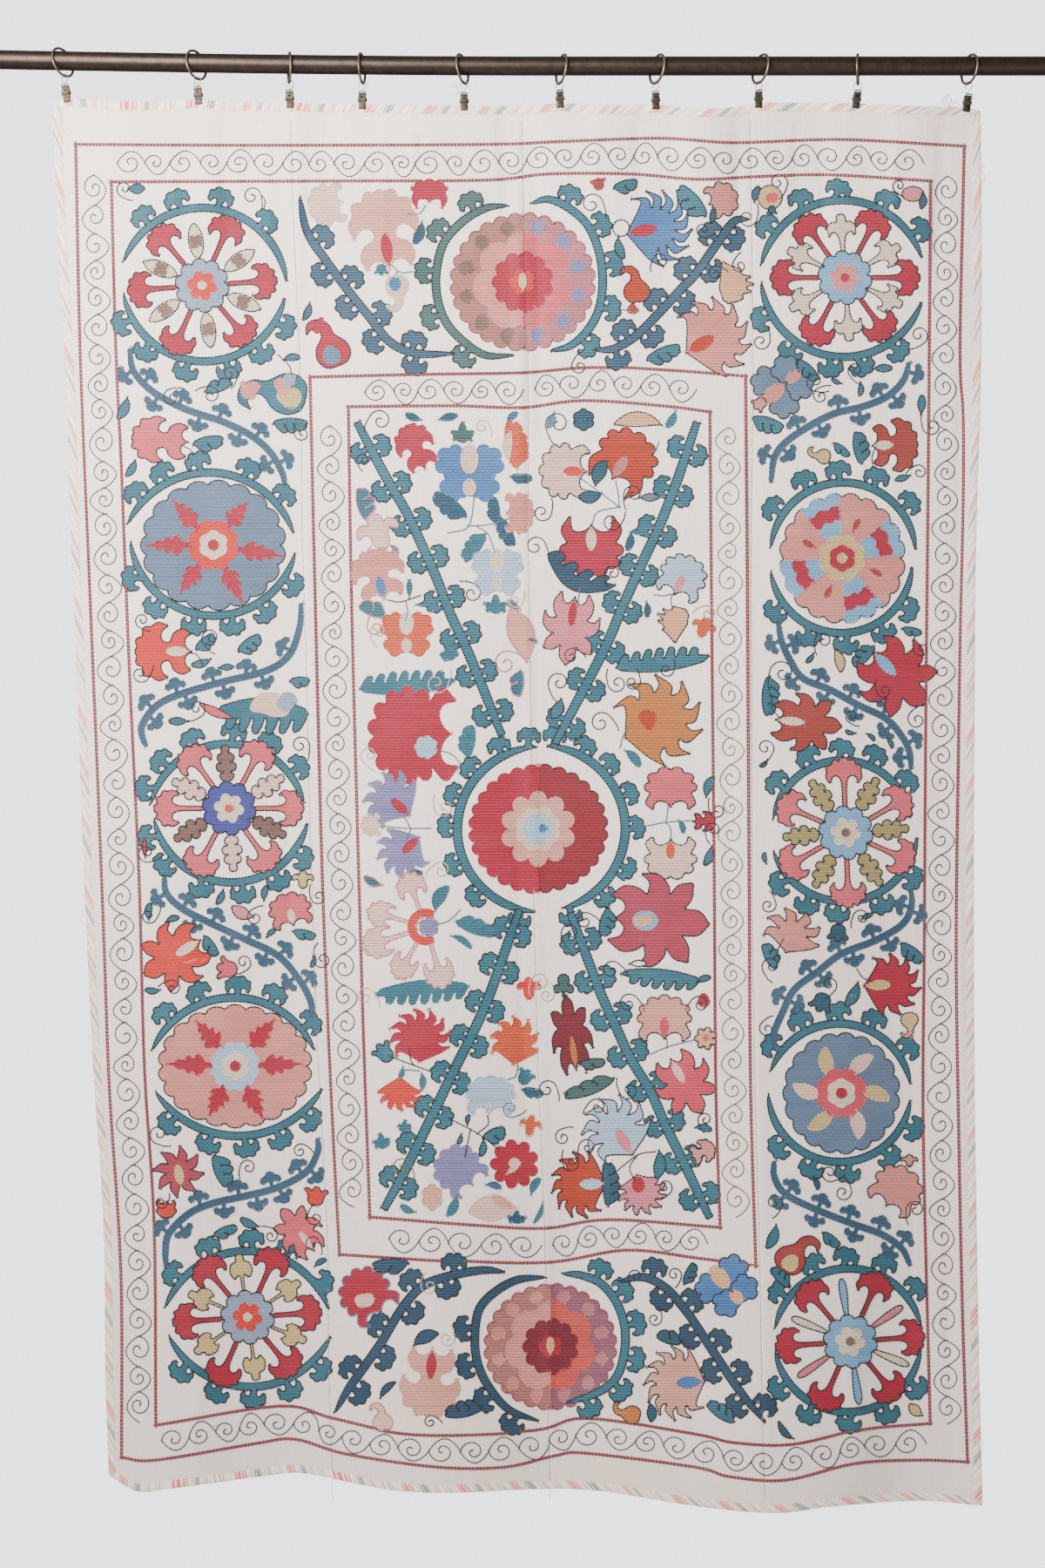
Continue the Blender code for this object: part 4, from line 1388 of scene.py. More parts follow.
TWO_TIER = (
    (0, 0), (0, 0), (0.10, 0.10), (0.24, 0.10), (0.34, 0.0), (0.34, 0.0), (0.42, 0.16), (0.34, 0.32),
    (0.20, 0.38), (0.17, 0.46), (0.24, 0.55), (0.38, 0.53), (0.48, 0.42), (0.48, 0.42), (0.54, 0.60),
    (0.46, 0.74), (0.46, 0.74), (0.44, 0.88), (0.28, 0.90), (0.28, 0.90), (0.22, 1.02), (0.08, 1.0),
    (0.08, 1.0), (0, 1.04),
)
HORNED = (
    (0, 0), (0, 0), (0.12, 0.10), (0.24, 0.06), (0.30, -0.08), (0.30, -0.08), (0.44, 0.08),
    (0.42, 0.24), (0.34, 0.34), (0.34, 0.34), (0.50, 0.36), (0.62, 0.26), (0.62, 0.26), (0.62, 0.46),
    (0.48, 0.58), (0.36, 0.60), (0.36, 0.60), (0.50, 0.70), (0.54, 0.86), (0.54, 0.86), (0.34, 0.86),
    (0.18, 0.78), (0.18, 0.78), (0.16, 0.96), (0, 1.08), (0, 1.08),
)
CLOVER = (
    (0.05, 0), (0.07, 0.26), (0.20, 0.22), (0.36, 0.18), (0.48, 0.30), (0.46, 0.48), (0.30, 0.56),
    (0.20, 0.54), (0.20, 0.54), (0.28, 0.70), (0.24, 0.90), (0.10, 1.0), (0, 1.0),
)


POD_LOBES, POD_WIDE = 5, 0.9


def pod(colour):
    """A plump bud with lobes along one side, pointed at its top."""
    outline = [0j]
    for k in range(POD_LOBES):
        for step, reach in ((0.15, 0.34), (0.5, 0.50), (0.85, 0.38)):
            t = (k + step) / POD_LOBES
            outline.append(complex(POD_WIDE * reach * (0.45 + 0.9 * math.sin(math.pi * t)), t * 0.92))
    outline += [0.04 + 0.96j, -0.12 + 1.05j, -0.16 + 0.7j, -0.20 + 0.38j, -0.12 + 0.08j]
    return [fill(colour, outline)]


def grow_at(marks, across, down, turn, tall, mirror=False, wide=1.0):
    """Sews a flower with its middle at a pixel of the photograph, turned, and so many pixels tall."""
    if wide != 1.0:
        marks = [(*mark[:2], mark[2].real * wide + 1j * mark[2].imag, mark[3]) for mark in marks]
    every = np.concatenate([mark[2] for mark in marks])
    middle = complex(every.real.min() + every.real.max(), every.imag.min() + every.imag.max()) / 2
    if mirror:
        middle = -middle.conjugate()
    size = tall * PIXEL
    origin = at(across, down) - size * middle * cmath.exp(1j * math.radians(turn))
    sew(marks, origin, turn, size, mirror)


# %% [markdown]
# The great rosettes sit in rings that are broken at their sides, and hooked buds grow outwards from
# each ring. The wheel inside is a scalloped core with twelve petals, six of one kind and six of
# another. Between the wheels run long stems with pairs of buds, bent like an S or straight.

# %% Broken rings, branches and stems
BUD_SIZE = 28.0
ARC_STEPS = 26
PAIR_LEAN, PAIR_START = 12, 0.02


def bud(colour, long, wide, edge, shape):
    return [joined_fill(colour, both_sides(shape, long, wide), edge)]


def arc_through(first, middle, last):
    """Part of a circle that passes through three points."""
    ratio = (last - first) / (middle - first)
    centre = first + (middle - first) * (ratio - abs(ratio) ** 2) / (2j * ratio.imag)
    sweep = cmath.phase((middle - centre) / (first - centre))
    sweep += cmath.phase((last - centre) / (middle - centre))
    return centre + (first - centre) * np.exp(1j * np.linspace(0, sweep, ARC_STEPS))


def budding(path, thick, spots, colour, size, edge="navy", shape=BUD, wide=1.15, ends=0.12):
    """A stem along a path, with a bud that leans from it towards each of some spots."""
    marks = []
    for spot in spots:
        foot = path[np.argmin(np.abs(path - spot))]
        turn = math.degrees(cmath.phase(spot - foot)) - 90
        marks += moved(bud(colour, size, size * wide, edge, shape), foot, turn)
    return [*marks, joined_fill(colour, strap(path, thick, ends), edge)]


def stem_with_buds(path, thick, buds, colour, size):
    """A stem along a path with pairs of buds at even distances."""
    marks, count = [], len(path)
    along = np.gradient(path)
    for k in range(buds):
        share = PAIR_START + (1 - 2 * PAIR_START) * (k + 0.5) / buds
        i = min(round(share * (count - 1)), count - 1)
        heading = math.degrees(cmath.phase(along[i]))
        for side in (-1, 1):
            near = min(i + (side > 0), count - 1)
            turn = heading + side * (90 - PAIR_LEAN) - 90
            marks += moved(bud(colour, size, size * 1.05, "navy", BUD), path[near], turn)
    return [*marks, joined_fill(colour, strap(path, thick, 0.7))]


# %% The wheels inside the rings
WHEEL_TURNS = (0, 62, 126, 180, 242, 306)
BETWEEN_TURNS = (30, 94, 154, 210, 274, 334)


# A ragged patch of another dye lot on a petal
PATCH = np.array([
    -0.11 + 0.34j, -0.04 + 0.30j, 0.03 + 0.36j, 0.11 + 0.33j, 0.13 + 0.60j, 0.05 + 0.66j, 0.0 + 0.60j,
    -0.06 + 0.67j, -0.13 + 0.60j,
])


def wheel(size, core, heart, dot, flared, other, other_colour, spin, patch):
    """A core with six flared petals and six of another shape between them."""
    long, start = size * 0.50, size * 0.36
    plain = []
    if patch:
        band = long * (PATCH.real * 1.3 + 1j * PATCH.imag) + 1j * size * 0.36
        plain.append(fill(patch, band, None))
    colours = (other_colour,) if isinstance(other_colour, str) else other_colour
    marks = []
    for k, turn in enumerate(BETWEEN_TURNS):
        leaf = petal(other, colours[k % len(colours)], long, long, "navy", start)
        marks += around([*leaf, *plain], (turn + spin,))
    flares = petal(FLARE, flared, size * 0.63, size * 0.63, "navy", start)
    marks += around(flares, [turn + spin for turn in WHEEL_TURNS])
    marks.append(fill(core, scalloped(size * 0.37, 10, 0.15, 8), "navy"))
    marks.append(fill(heart, scalloped(size * 0.20, 6, 0.36, 20, 8), None))
    marks.append(fill(dot, disc(size * 0.055, 1.0, 10), None))
    return marks



# %% [markdown]
# The layout follows the photograph. Places are read from it as pixels across and down, and `at`
# turns them into millimetres on the cloth. The two frames come first: dusty red lines with a thin
# scroll running between them.

# %% The seam stitches and the frame lines
# Corners and bends of each side: pixels across, pixels down
OUTER_LEFT = (
    (87, 165), (92, 400), (102, 655), (112, 887), (120, 1092), (126, 1253), (139, 1457), (140, 1672),
)
OUTER_TOP = (
    (87, 165), (300, 166), (560, 165), (637, 162), (757, 158), (840, 163), (927, 160), (986, 160),
    (1107, 167),
)
OUTER_RIGHT = (
    (1107, 167), (1102, 400), (1106, 477), (1106, 579), (1102, 760), (1098, 1066), (1101, 1304),
    (1105, 1500), (1111, 1677),
)
OUTER_FOOT = (
    (140, 1672), (179, 1675), (293, 1656), (339, 1651), (398, 1668), (502, 1683), (579, 1683),
    (637, 1670), (673, 1667), (798, 1683), (838, 1694), (902, 1698), (981, 1679), (1055, 1675),
    (1111, 1677),
)
SECOND_LEFT = (
    (128, 209), (133, 400), (139, 527), (143, 630), (150, 800), (160, 1015), (166, 1227), (177, 1406),
    (179, 1636),
)
SECOND_TOP = (
    (128, 209), (400, 208), (560, 207), (630, 200), (724, 200), (800, 206), (869, 203), (953, 201),
    (1068, 208),
)
SECOND_RIGHT = ((1068, 208), (1066, 500), (1063, 800), (1061, 1092), (1060, 1304), (1068, 1633))
SECOND_FOOT = (
    (179, 1636), (321, 1614), (383, 1628), (476, 1646), (612, 1642), (673, 1628), (798, 1646),
    (843, 1656), (910, 1658), (991, 1640), (1068, 1633),
)
MIDDLE_LEFT = ((356, 432), (362, 700), (370, 1000), (380, 1250), (390, 1439))
MIDDLE_TOP = ((356, 432), (480, 429), (600, 427), (680, 421), (780, 426), (856, 432))
MIDDLE_RIGHT = ((856, 432), (858, 700), (860, 1000), (862, 1250), (868, 1453))
MIDDLE_FOOT = ((390, 1439), (520, 1447), (630, 1449), (719, 1435), (800, 1444), (868, 1453))
INNER_LEFT = ((400, 467), (404, 700), (412, 1000), (418, 1200), (425, 1397))
INNER_TOP = ((400, 467), (520, 466), (600, 468), (669, 460), (760, 466), (815, 473))
INNER_RIGHT = ((815, 473), (817, 700), (820, 1000), (822, 1250), (827, 1409))
INNER_FOOT = ((425, 1397), (540, 1406), (625, 1410), (700, 1400), (827, 1409))
FRAMES = (
    OUTER_LEFT, OUTER_TOP, OUTER_RIGHT, OUTER_FOOT, SECOND_LEFT, SECOND_TOP, SECOND_RIGHT, SECOND_FOOT,
    MIDDLE_LEFT, MIDDLE_TOP, MIDDLE_RIGHT, MIDDLE_FOOT, INNER_LEFT, INNER_TOP, INNER_RIGHT, INNER_FOOT,
)
# Each frame line is two chains side by side, this far from its middle
FRAME_HALF = 1.05


def photo_path(pixels, steps=6):
    return curve([at(*pixel) for pixel in pixels], steps)


for share in SEAM_SHARES:
    drops = np.linspace(75, 1905, 160)
    sew([line("pale_thread", seam_across(share, drops) - 1j * drops, "seam")])
for side in FRAMES:
    path = photo_path(side)
    aside = 1j * np.gradient(path) / np.abs(np.gradient(path))
    for shift in (-FRAME_HALF, FRAME_HALF):
        sew([line("frame_red", path + shift * aside, "frame")])

# %% The running scroll between the lines
SCROLL_PITCH = 37.5
SCROLL_SWING = 16.5
drawn = np.random.default_rng(5)


def evenly(points, step, closed):
    """Points at even distances along a line."""
    if closed:
        points = np.append(points, points[0])
    reach = np.r_[0, np.cumsum(np.abs(np.diff(points)))]
    if reach[-1] < step:
        return points
    stops = np.linspace(0, reach[-1], max(round(reach[-1] / step), 2) + 1)
    return np.interp(stops, reach, points.real) + 1j * np.interp(stops, reach, points.imag)


def scroll(near, far, start, end, colour, first=1):
    """A wave with a spiral in each bend, along the middle of two frame lines from share to share."""
    near, far = evenly(photo_path(near), 3.0, False), evenly(photo_path(far), 3.0, False)
    shares = np.linspace(0, 1, 400)

    def along(path, share):
        reach = np.linspace(0, 1, len(path))
        return np.interp(share, reach, path.real) + 1j * np.interp(share, reach, path.imag)

    middle = (along(near, shares) + along(far, shares)) / 2
    reach = np.r_[0, np.cumsum(np.abs(np.diff(middle)))]
    low, high = start * reach[-1], end * reach[-1]
    bends = max(round((high - low) / SCROLL_PITCH), 1)
    pitch = (high - low) / bends

    def spot(u, v):
        i = np.clip(np.searchsorted(reach, u), 1, len(middle) - 1)
        run = middle[i] - middle[i - 1]
        base = middle[i - 1] + run * (u - reach[i - 1]) / (reach[i] - reach[i - 1])
        return base + 1j * v * run / np.abs(run)

    stops = low + pitch * (np.arange(bends + 1) + np.array([0, *drawn.uniform(-0.1, 0.1, bends - 1), 0]))
    for k, (start_u, end_u) in enumerate(zip(stops, stops[1:])):
        side = first * (1 if k % 2 == 0 else -1)
        share = np.linspace(0, 1, 13)
        swing = SCROLL_SWING * drawn.uniform(0.88, 1.12)
        wave = spot(between(start_u, end_u, share), side * swing * np.sin(np.pi * share) ** 0.8)
        sew([line(colour, wave, "scroll")])
        turned = np.linspace(0, 2 * np.pi * drawn.uniform(1.02, 1.3), 30)
        long = (end_u - start_u) * drawn.uniform(0.39, 0.44)
        radius = long * (1 - 0.88 * turned / turned[-1])
        u = start_u + long - radius * np.cos(turned)
        v = side * 0.92 * -radius * np.sin(turned)
        sew([line(colour, spot(u, v), "scroll")])


scroll(OUTER_LEFT, SECOND_LEFT, 0.010, 0.985, "scroll_grey")
scroll(OUTER_RIGHT, SECOND_RIGHT, 0.010, 0.985, "scroll_grey", -1)
TOP_STARTS = (0.028, 0.252, 0.507, 0.757, 0.972)
for low, high in zip(TOP_STARTS, TOP_STARTS[1:]):
    scroll(OUTER_TOP, SECOND_TOP, low, high, "scroll_grey")
    scroll(OUTER_FOOT, SECOND_FOOT, low, high, "scroll_grey", -1)
scroll(MIDDLE_LEFT, INNER_LEFT, 0.04, 0.965, "scroll_grey")
scroll(MIDDLE_RIGHT, INNER_RIGHT, 0.04, 0.965, "scroll_green", -1)
for low, high in ((0.09, 0.485), (0.515, 0.92)):
    scroll(MIDDLE_TOP, INNER_TOP, low, high, "scroll_grey")
    scroll(MIDDLE_FOOT, INNER_FOOT, low, high, "scroll_grey", -1)

# %% The rings of the side columns
# Each: three places on its upper arc and three on its lower arc, then the places of its buds
RINGS = (
    (((142, 300), (225, 239), (329, 323)),
     ((142, 338), (230, 415), (327, 342)),
     ((157, 239), (200, 224), (255, 224), (309, 252)),
     ((147, 369), (168, 402), (212, 428), (264, 428), (304, 414), (333, 378))),
    (((147, 601), (230, 543), (337, 612)),
     ((150, 623), (245, 707), (339, 635)),
     ((154, 563), (180, 535), (227, 530), (287, 535), (329, 566)),
     ((153, 664), (176, 701), (222, 719), (267, 724), (310, 709), (344, 678))),
    (((173, 923), (255, 854), (349, 922)),
     ((177, 941), (268, 1013), (353, 945)),
     ((168, 905), (175, 867), (218, 845), (268, 843), (311, 852), (349, 877)),
     ((174, 961), (191, 991), (231, 1018), (279, 1027), (325, 1019), (353, 987))),
    (((175, 1205), (268, 1145), (361, 1205)),
     ((179, 1254), (278, 1304), (370, 1250)),
     ((184, 1157), (226, 1137), (273, 1133), (315, 1142), (356, 1174)),
     ((193, 1291), (238, 1314), (284, 1322), (328, 1318), (366, 1293))),
    (((190, 1500), (281, 1436), (378, 1503)),
     ((194, 1534), (286, 1592), (380, 1534)),
     ((199, 1462), (238, 1430), (288, 1419), (332, 1434), (361, 1470)),
     ((206, 1577), (246, 1602), (290, 1608), (335, 1600), (370, 1573))),
    (((874, 303), (968, 229), (1058, 295)),
     ((874, 324), (973, 409), (1058, 346)),
     ((880, 259), (919, 229), (962, 219), (1019, 229), (1054, 264)),
     ((874, 366), (908, 402), (953, 417), (990, 420), (1035, 405))),
    (((885, 627), (966, 553), (1051, 630)),
     ((885, 656), (966, 726), (1047, 650)),
     ((885, 581), (921, 545), (962, 539), (1007, 545), (1050, 572)),
     ((893, 698), (928, 726), (971, 739), (1016, 729), (1049, 702))),
    (((888, 939), (968, 872), (1046, 939)),
     ((888, 977), (968, 1034), (1053, 960)),
     ((887, 893), (925, 865), (967, 857), (1007, 862), (1046, 890)),
     ((893, 1015), (926, 1039), (961, 1046), (1012, 1035), (1044, 1006))),
    (((885, 1228), (966, 1174), (1045, 1243)),
     ((882, 1256), (963, 1333), (1045, 1262)),
     ((885, 1198), (920, 1174), (962, 1161), (1004, 1168), (1044, 1201)),
     ((891, 1319), (929, 1345), (973, 1345), (1022, 1328), (1049, 1295))),
    (((890, 1523), (974, 1455), (1057, 1520)),
     ((890, 1550), (974, 1620), (1057, 1548)),
     ((893, 1480), (930, 1446), (972, 1440), (1016, 1446), (1052, 1477)),
     ((895, 1592), (930, 1618), (975, 1630), (1018, 1620), (1052, 1592))),
)
for upper, lower, upper_buds, lower_buds in RINGS:
    for places, buds in ((upper, upper_buds), (lower, lower_buds)):
        path = arc_through(*(at(*place) for place in places))
        sew(budding(path, 10, [at(*spot) for spot in buds], "teal", BUD_SIZE))

# %% The wheels
WHEELS = (
    (232, 328, "greyblue", "coral", "cream", "crimson", ALMOND, "cream", 4, "brown"),
    (263, 928, "violet", "cream", "rose", "melon", OAK, ("blush", "brown"), 0, None),
    (284, 1512, "greyblue", "coral", "cream", "crimson", MUSHROOM, "straw", 4, None),
    (970, 318, "sky", "salmon", "crimson", "crimson", BELL, "cream", 0, None),
    (971, 955, "sky", "cream", "brown", "melon", OAK, "olive", 30, None),
    (976, 1539, "sky", "cream", "brown", "crimson", FINGER, ("pink", "sky", "cream"), 4, None),
)
WHEEL_SIZE = 98.0
for across, down, *parts in WHEELS:
    sew(wheel(WHEEL_SIZE, *parts), at(across, down))


# %% The full rosettes
def rosette(place, wide, high, colour, lobes):
    outline = scalloped(1.0, lobes, 0.07)
    sew([fill(colour, wide * outline.real + 1j * high * outline.imag)], place)


def rosette_heart(place, ring, ring_size, ring_lobes, heart, dot):
    sew([fill(ring, scalloped(ring_size, ring_lobes, 0.14), None)], place)
    sew([fill(heart, scalloped(ring_size * 0.56, 6, 0.16), None)], place)
    sew([fill(dot, disc(ring_size * 0.2), None)], place)


def sector(outline, start, end, near=0.0, far=1.0):
    """The part of an outline between two turns, in degrees, from a near to a far share of its reach."""
    turn = np.degrees(np.angle(outline)) % 360
    kept = outline[(turn >= start) & (turn <= end)]
    return np.concatenate([near * kept[::-1], far * kept]) if near else np.append(0j, far * kept)


SLATE_ROSETTE = at(245, 626)
rosette(SLATE_ROSETTE, 97, 87, "slate", 19)
for turn, long in ((132, 54), (52, 48), (-9, 68), (-63, 60), (235, 52), (180, 63)):
    sew(around(petal(RAY, "crimson", long, 66, None, 27), (turn,)), SLATE_ROSETTE)
rosette_heart(SLATE_ROSETTE, "coral", 34, 8, "cream", "crimson")

SALMON_ROSETTE = at(270, 1224)
rosette(SALMON_ROSETTE, 103, 82, "salmon", 22)
for turn, long in ((178, 66), (2, 64), (131, 56), (50, 58), (242, 50), (298, 54)):
    sew(around(petal(RAY, "crimson", long, 70, None, 26), (turn,)), SALMON_ROSETTE)
rosette_heart(SALMON_ROSETTE, "ice", 33, 12, "cream", "crimson")

PARTED_ROSETTE = at(967, 640)
rosette(PARTED_ROSETTE, 84, 87, "salmon", 20)
parted = scalloped(1.0, 20, 0.07)
parted = 84 * parted.real + 87j * parted.imag
for start in (2, 92, 182, 272):
    sew([fill("sky", sector(parted, start, start + 40), None)], PARTED_ROSETTE)
    sew([fill("crimson", sector(parted, start, start + 40, 0.60, 0.80), None)], PARTED_ROSETTE)
    drop = around(moved(comma("brick_red", 18, 7, 0.1, None), 40j), (start + 66,))
    sew(drop, PARTED_ROSETTE)
rosette_heart(PARTED_ROSETTE, "straw", 31, 8, "crimson", "straw")

SMALL_ROSETTE = at(966, 1254)
rosette(SMALL_ROSETTE, 78, 81, "slate", 19)
for k, turn in enumerate((122, 63, 5, -56, 240, 183)):
    leaf = comma("blush" if k % 2 else "straw", 44, 19, 0.35, None)
    sew(around(moved(leaf, 24j), (turn,)), SMALL_ROSETTE)
rosette_heart(SMALL_ROSETTE, "rose", 34, 8, "cream", "crimson")

# %% The three rosettes that lie on the middle seam
# Each panel was sewn alone, so their two halves differ.


def half_of(outline, side):
    """One half of an outline: everything past the middle line is drawn back to it."""
    return np.where(outline.real * side > 0, outline, 1j * outline.imag)


def halved_rosette(place, wide, high, left, right, heart, core, slit):
    """Each half: the colour of its rim, of its inner field, and of the patches in its rim."""
    rim = scalloped(1.0, 28, 0.07)
    rim = wide * rim.real + 1j * high * rim.imag
    for side, (outer, inner, patches) in ((-1, left), (1, right)):
        sew([fill(outer, half_of(rim, side), None)], place)
        field = 0.70 * scalloped(1.0, 7, 0.16, 10) * (wide + high) / 2
        sew([fill(inner, half_of(field, side), None)], place)
        for k in range(6):
            turn = math.radians(-75 + 30 * k)
            spot = 0.80 * complex(side * wide * math.cos(turn), high * math.sin(turn))
            sew([fill(patches, spot + blob(0.11 * wide, 3 * k + 1), None)], place)
    sew([fill(heart, scalloped(0.42 * wide, 11, 0.16), None)], place)
    sew([fill(core, scalloped(0.17 * wide, 5, 0.25), None)], place)
    sew([fill(slit, both_sides(ALMOND, 22, 22) - 10j, None)], place)
    sew([line("frame_red", np.append(rim, rim[:1]))], place)


halved_rosette(
    at(600, 323), 97, 92, ("dusk", "flesh", "brown"), ("mauve", "melon", "lilac"), "crimson", "coral",
    "cream",
)
halved_rosette(
    at(632, 1545), 89, 84, ("dusk", "flesh", "salmon"), ("plum", "watermelon", "mauve"), "deep_crimson",
    "crimson", "peach",
)
CENTRE = at(618, 951)
rim = scalloped(1.0, 28, 0.07)
rim = 93 * rim.real + 86j * rim.imag
sew([fill("crimson", half_of(rim, -1), None), fill("garnet", half_of(rim, 1), None)], CENTRE)
sew([fill("shell", scalloped(50, 10, 0.22), None), fill("blush", scalloped(30, 8, 0.14), None)], CENTRE)
sew([fill("ice", scalloped(21, 7, 0.16), None), fill("cornflower", 6 + disc(5), None)], CENTRE)
right_rim = rim[np.abs(np.angle(rim)) < 1.5]
sew([line("navy", right_rim[np.argsort(np.angle(right_rim))])], CENTRE)

# %% The arcs and branches round them
# Each: colour, thickness, places along it, places of its buds
ARMS = (
    ("grey_green", 10.5,
     ((583, 235), (558, 238), (533, 252), (510, 277), (501, 310), (502, 341), (512, 369), (533, 392),
      (558, 407), (590, 407)),
     ((538, 226), (501, 262), (484, 310), (492, 364), (531, 410))),
    ("teal", 10.5,
     ((610, 234), (630, 229), (653, 239), (675, 259), (688, 290), (692, 323), (688, 354), (675, 379),
      (655, 397), (632, 403)),
     ((655, 224), (692, 257), (704, 303), (697, 354), (673, 395))),
    ("stem_blue", 11,
     ((344, 226), (352, 264), (372, 295), (400, 333), (425, 364), (448, 392), (479, 405), (522, 405)),
     ((372, 270), (365, 318), (393, 356), (402, 320), (433, 361), (423, 395), (476, 389), (476, 417))),
    ("stem_blue", 11,
     ((682, 402), (706, 400), (732, 384), (757, 359), (783, 331), (800, 313), (825, 277), (843, 254),
      (859, 252)),
     ((714, 377), (710, 414), (752, 390), (750, 341), (790, 351), (783, 305), (819, 313), (808, 262),
      (846, 277))),
    ("ink_blue", 10.5,
     ((626, 1465), (594, 1468), (568, 1482), (550, 1502), (545, 1533), (548, 1563), (561, 1591),
      (584, 1617), (618, 1630)),
     ((533, 1524), (535, 1567), (552, 1608), (587, 1634))),
    ("teal", 10.5,
     ((646, 1462), (668, 1464), (691, 1474), (709, 1497), (718, 1528), (715, 1563), (704, 1586),
      (681, 1601), (651, 1610)),
     ((691, 1454), (723, 1476), (735, 1517), (732, 1561), (715, 1598), (679, 1620))),
    ("ink_blue", 11,
     ((385, 1620), (400, 1594), (415, 1573), (438, 1540), (461, 1502), (484, 1476), (515, 1464),
      (553, 1457), (579, 1459)),
     ((521, 1450), (516, 1482), (470, 1466), (478, 1510), (433, 1519), (448, 1561), (400, 1566),
      (417, 1601))),
    ("ink_blue", 11,
     ((711, 1471), (739, 1466), (765, 1479), (788, 1505), (800, 1522), (826, 1562), (852, 1600),
      (879, 1633)),
     ((753, 1450), (757, 1494), (796, 1492), (786, 1538), (830, 1536), (812, 1576), (856, 1572),
      (846, 1614), (884, 1606))),
)
for colour, thick, places, buds in ARMS:
    sew(budding(photo_path(places), thick, [at(*spot) for spot in buds], colour, BUD_SIZE))

CENTRE_BUDS = (
    (573, 857), (607, 848), (637, 843), (677, 849), (707, 872), (724, 910), (729, 950), (716, 995),
    (695, 1030), (655, 1051), (596, 1056), (543, 1030), (513, 995), (505, 947), (517, 910), (540, 880),
)
for start, end in ((-75, 86), (94, 266)):
    turn = np.radians(np.linspace(start, end, 36))
    path = CENTRE + 4 + 112 * np.cos(turn) + 110j * np.sin(turn)
    side = 1 if start < 0 else -1
    buds = [at(*spot) for spot in CENTRE_BUDS if (at(*spot) - CENTRE).real * side > 0]
    sew(budding(path, 11.5, buds, "teal", BUD_SIZE * 0.92))

# %% The stems between the rings
WINDING_STEMS = (
    (((149, 400), (153, 425), (173, 448), (204, 466), (230, 476), (255, 484), (288, 500), (311, 520),
      (324, 543), (327, 556)),
     ((171, 432), (140, 434), (169, 474), (212, 452), (226, 491), (258, 464), (271, 509), (304, 487),
      (306, 534), (337, 524))),
    (((346, 693), (344, 721), (332, 752), (306, 770), (255, 783), (204, 798), (179, 811), (164, 831),
      (163, 844), (168, 857)),
     ((241, 769), (283, 763), (199, 778), (168, 806), (218, 811), (260, 800), (306, 789), (180, 830),
      (320, 740))),
    (((189, 1006), (191, 1025), (209, 1043), (242, 1060), (283, 1079), (319, 1097), (344, 1125),
      (357, 1150), (358, 1168)),
     ((177, 1034), (218, 1030), (251, 1046), (220, 1067), (262, 1086), (292, 1065), (302, 1105),
      (331, 1087), (330, 1129), (360, 1118))),
    (((365, 1307), (365, 1322), (352, 1345), (319, 1363), (281, 1373), (245, 1381), (217, 1393),
      (194, 1416), (190, 1437), (191, 1455)),
     ((339, 1335), (367, 1354), (309, 1347), (272, 1359), (329, 1379), (297, 1386), (227, 1371),
      (258, 1396), (215, 1418), (183, 1407))),
    (((1044, 415), (1037, 436), (1019, 454), (991, 466), (958, 474), (928, 489), (902, 507), (889, 525),
      (885, 553)),
     ((1056, 430), (1005, 441), (1035, 465), (961, 452), (989, 486), (912, 480), (947, 501), (876, 520),
      (912, 526))),
    (((893, 710), (897, 734), (907, 757), (922, 778), (953, 791), (984, 808), (1017, 824), (1035, 844),
      (1044, 862), (1046, 882)),
     ((881, 741), (915, 737), (906, 785), (945, 768), (945, 806), (982, 786), (977, 825), (1020, 806),
      (1012, 843), (1057, 844), (1030, 869))),
    (((1046, 1018), (1046, 1041), (1035, 1061), (1004, 1079), (966, 1094), (938, 1115), (912, 1135),
      (899, 1160), (889, 1184), (888, 1202)),
     ((1028, 1036), (1059, 1050), (998, 1062), (1024, 1087), (959, 1081), (982, 1107), (922, 1102),
      (950, 1129), (888, 1138), (921, 1155))),
    (((889, 1332), (889, 1350), (902, 1370), (938, 1388), (979, 1404), (1012, 1416), (1035, 1432),
      (1045, 1452)),
     ((915, 1354), (892, 1383), (946, 1371), (933, 1408), (978, 1384), (977, 1423), (1014, 1396),
      (1018, 1438), (1045, 1414))),
)
for places, buds in WINDING_STEMS:
    path = photo_path(places)
    sew(budding(path, 8.5, [at(*spot) for spot in buds], "stem_blue", 23, None, TREFOIL, 1.1, 0.5))

# %% The straight branches of the middle field
for places in (
    ((410, 484), (441, 543), (466, 586), (484, 624), (502, 665), (517, 704), (538, 749), (576, 843)),
    ((800, 485), (777, 553), (757, 604), (737, 647), (714, 698), (693, 747), (637, 854)),
    ((441, 1387), (464, 1345), (494, 1284), (520, 1230), (543, 1184), (563, 1138), (596, 1043)),
    ((655, 1048), (688, 1136), (706, 1176), (724, 1215), (747, 1253), (765, 1294), (783, 1330),
     (815, 1398)),
):
    sew(stem_with_buds(evenly(photo_path(places), 3.0, False), 12.5, 8, "teal", 27))

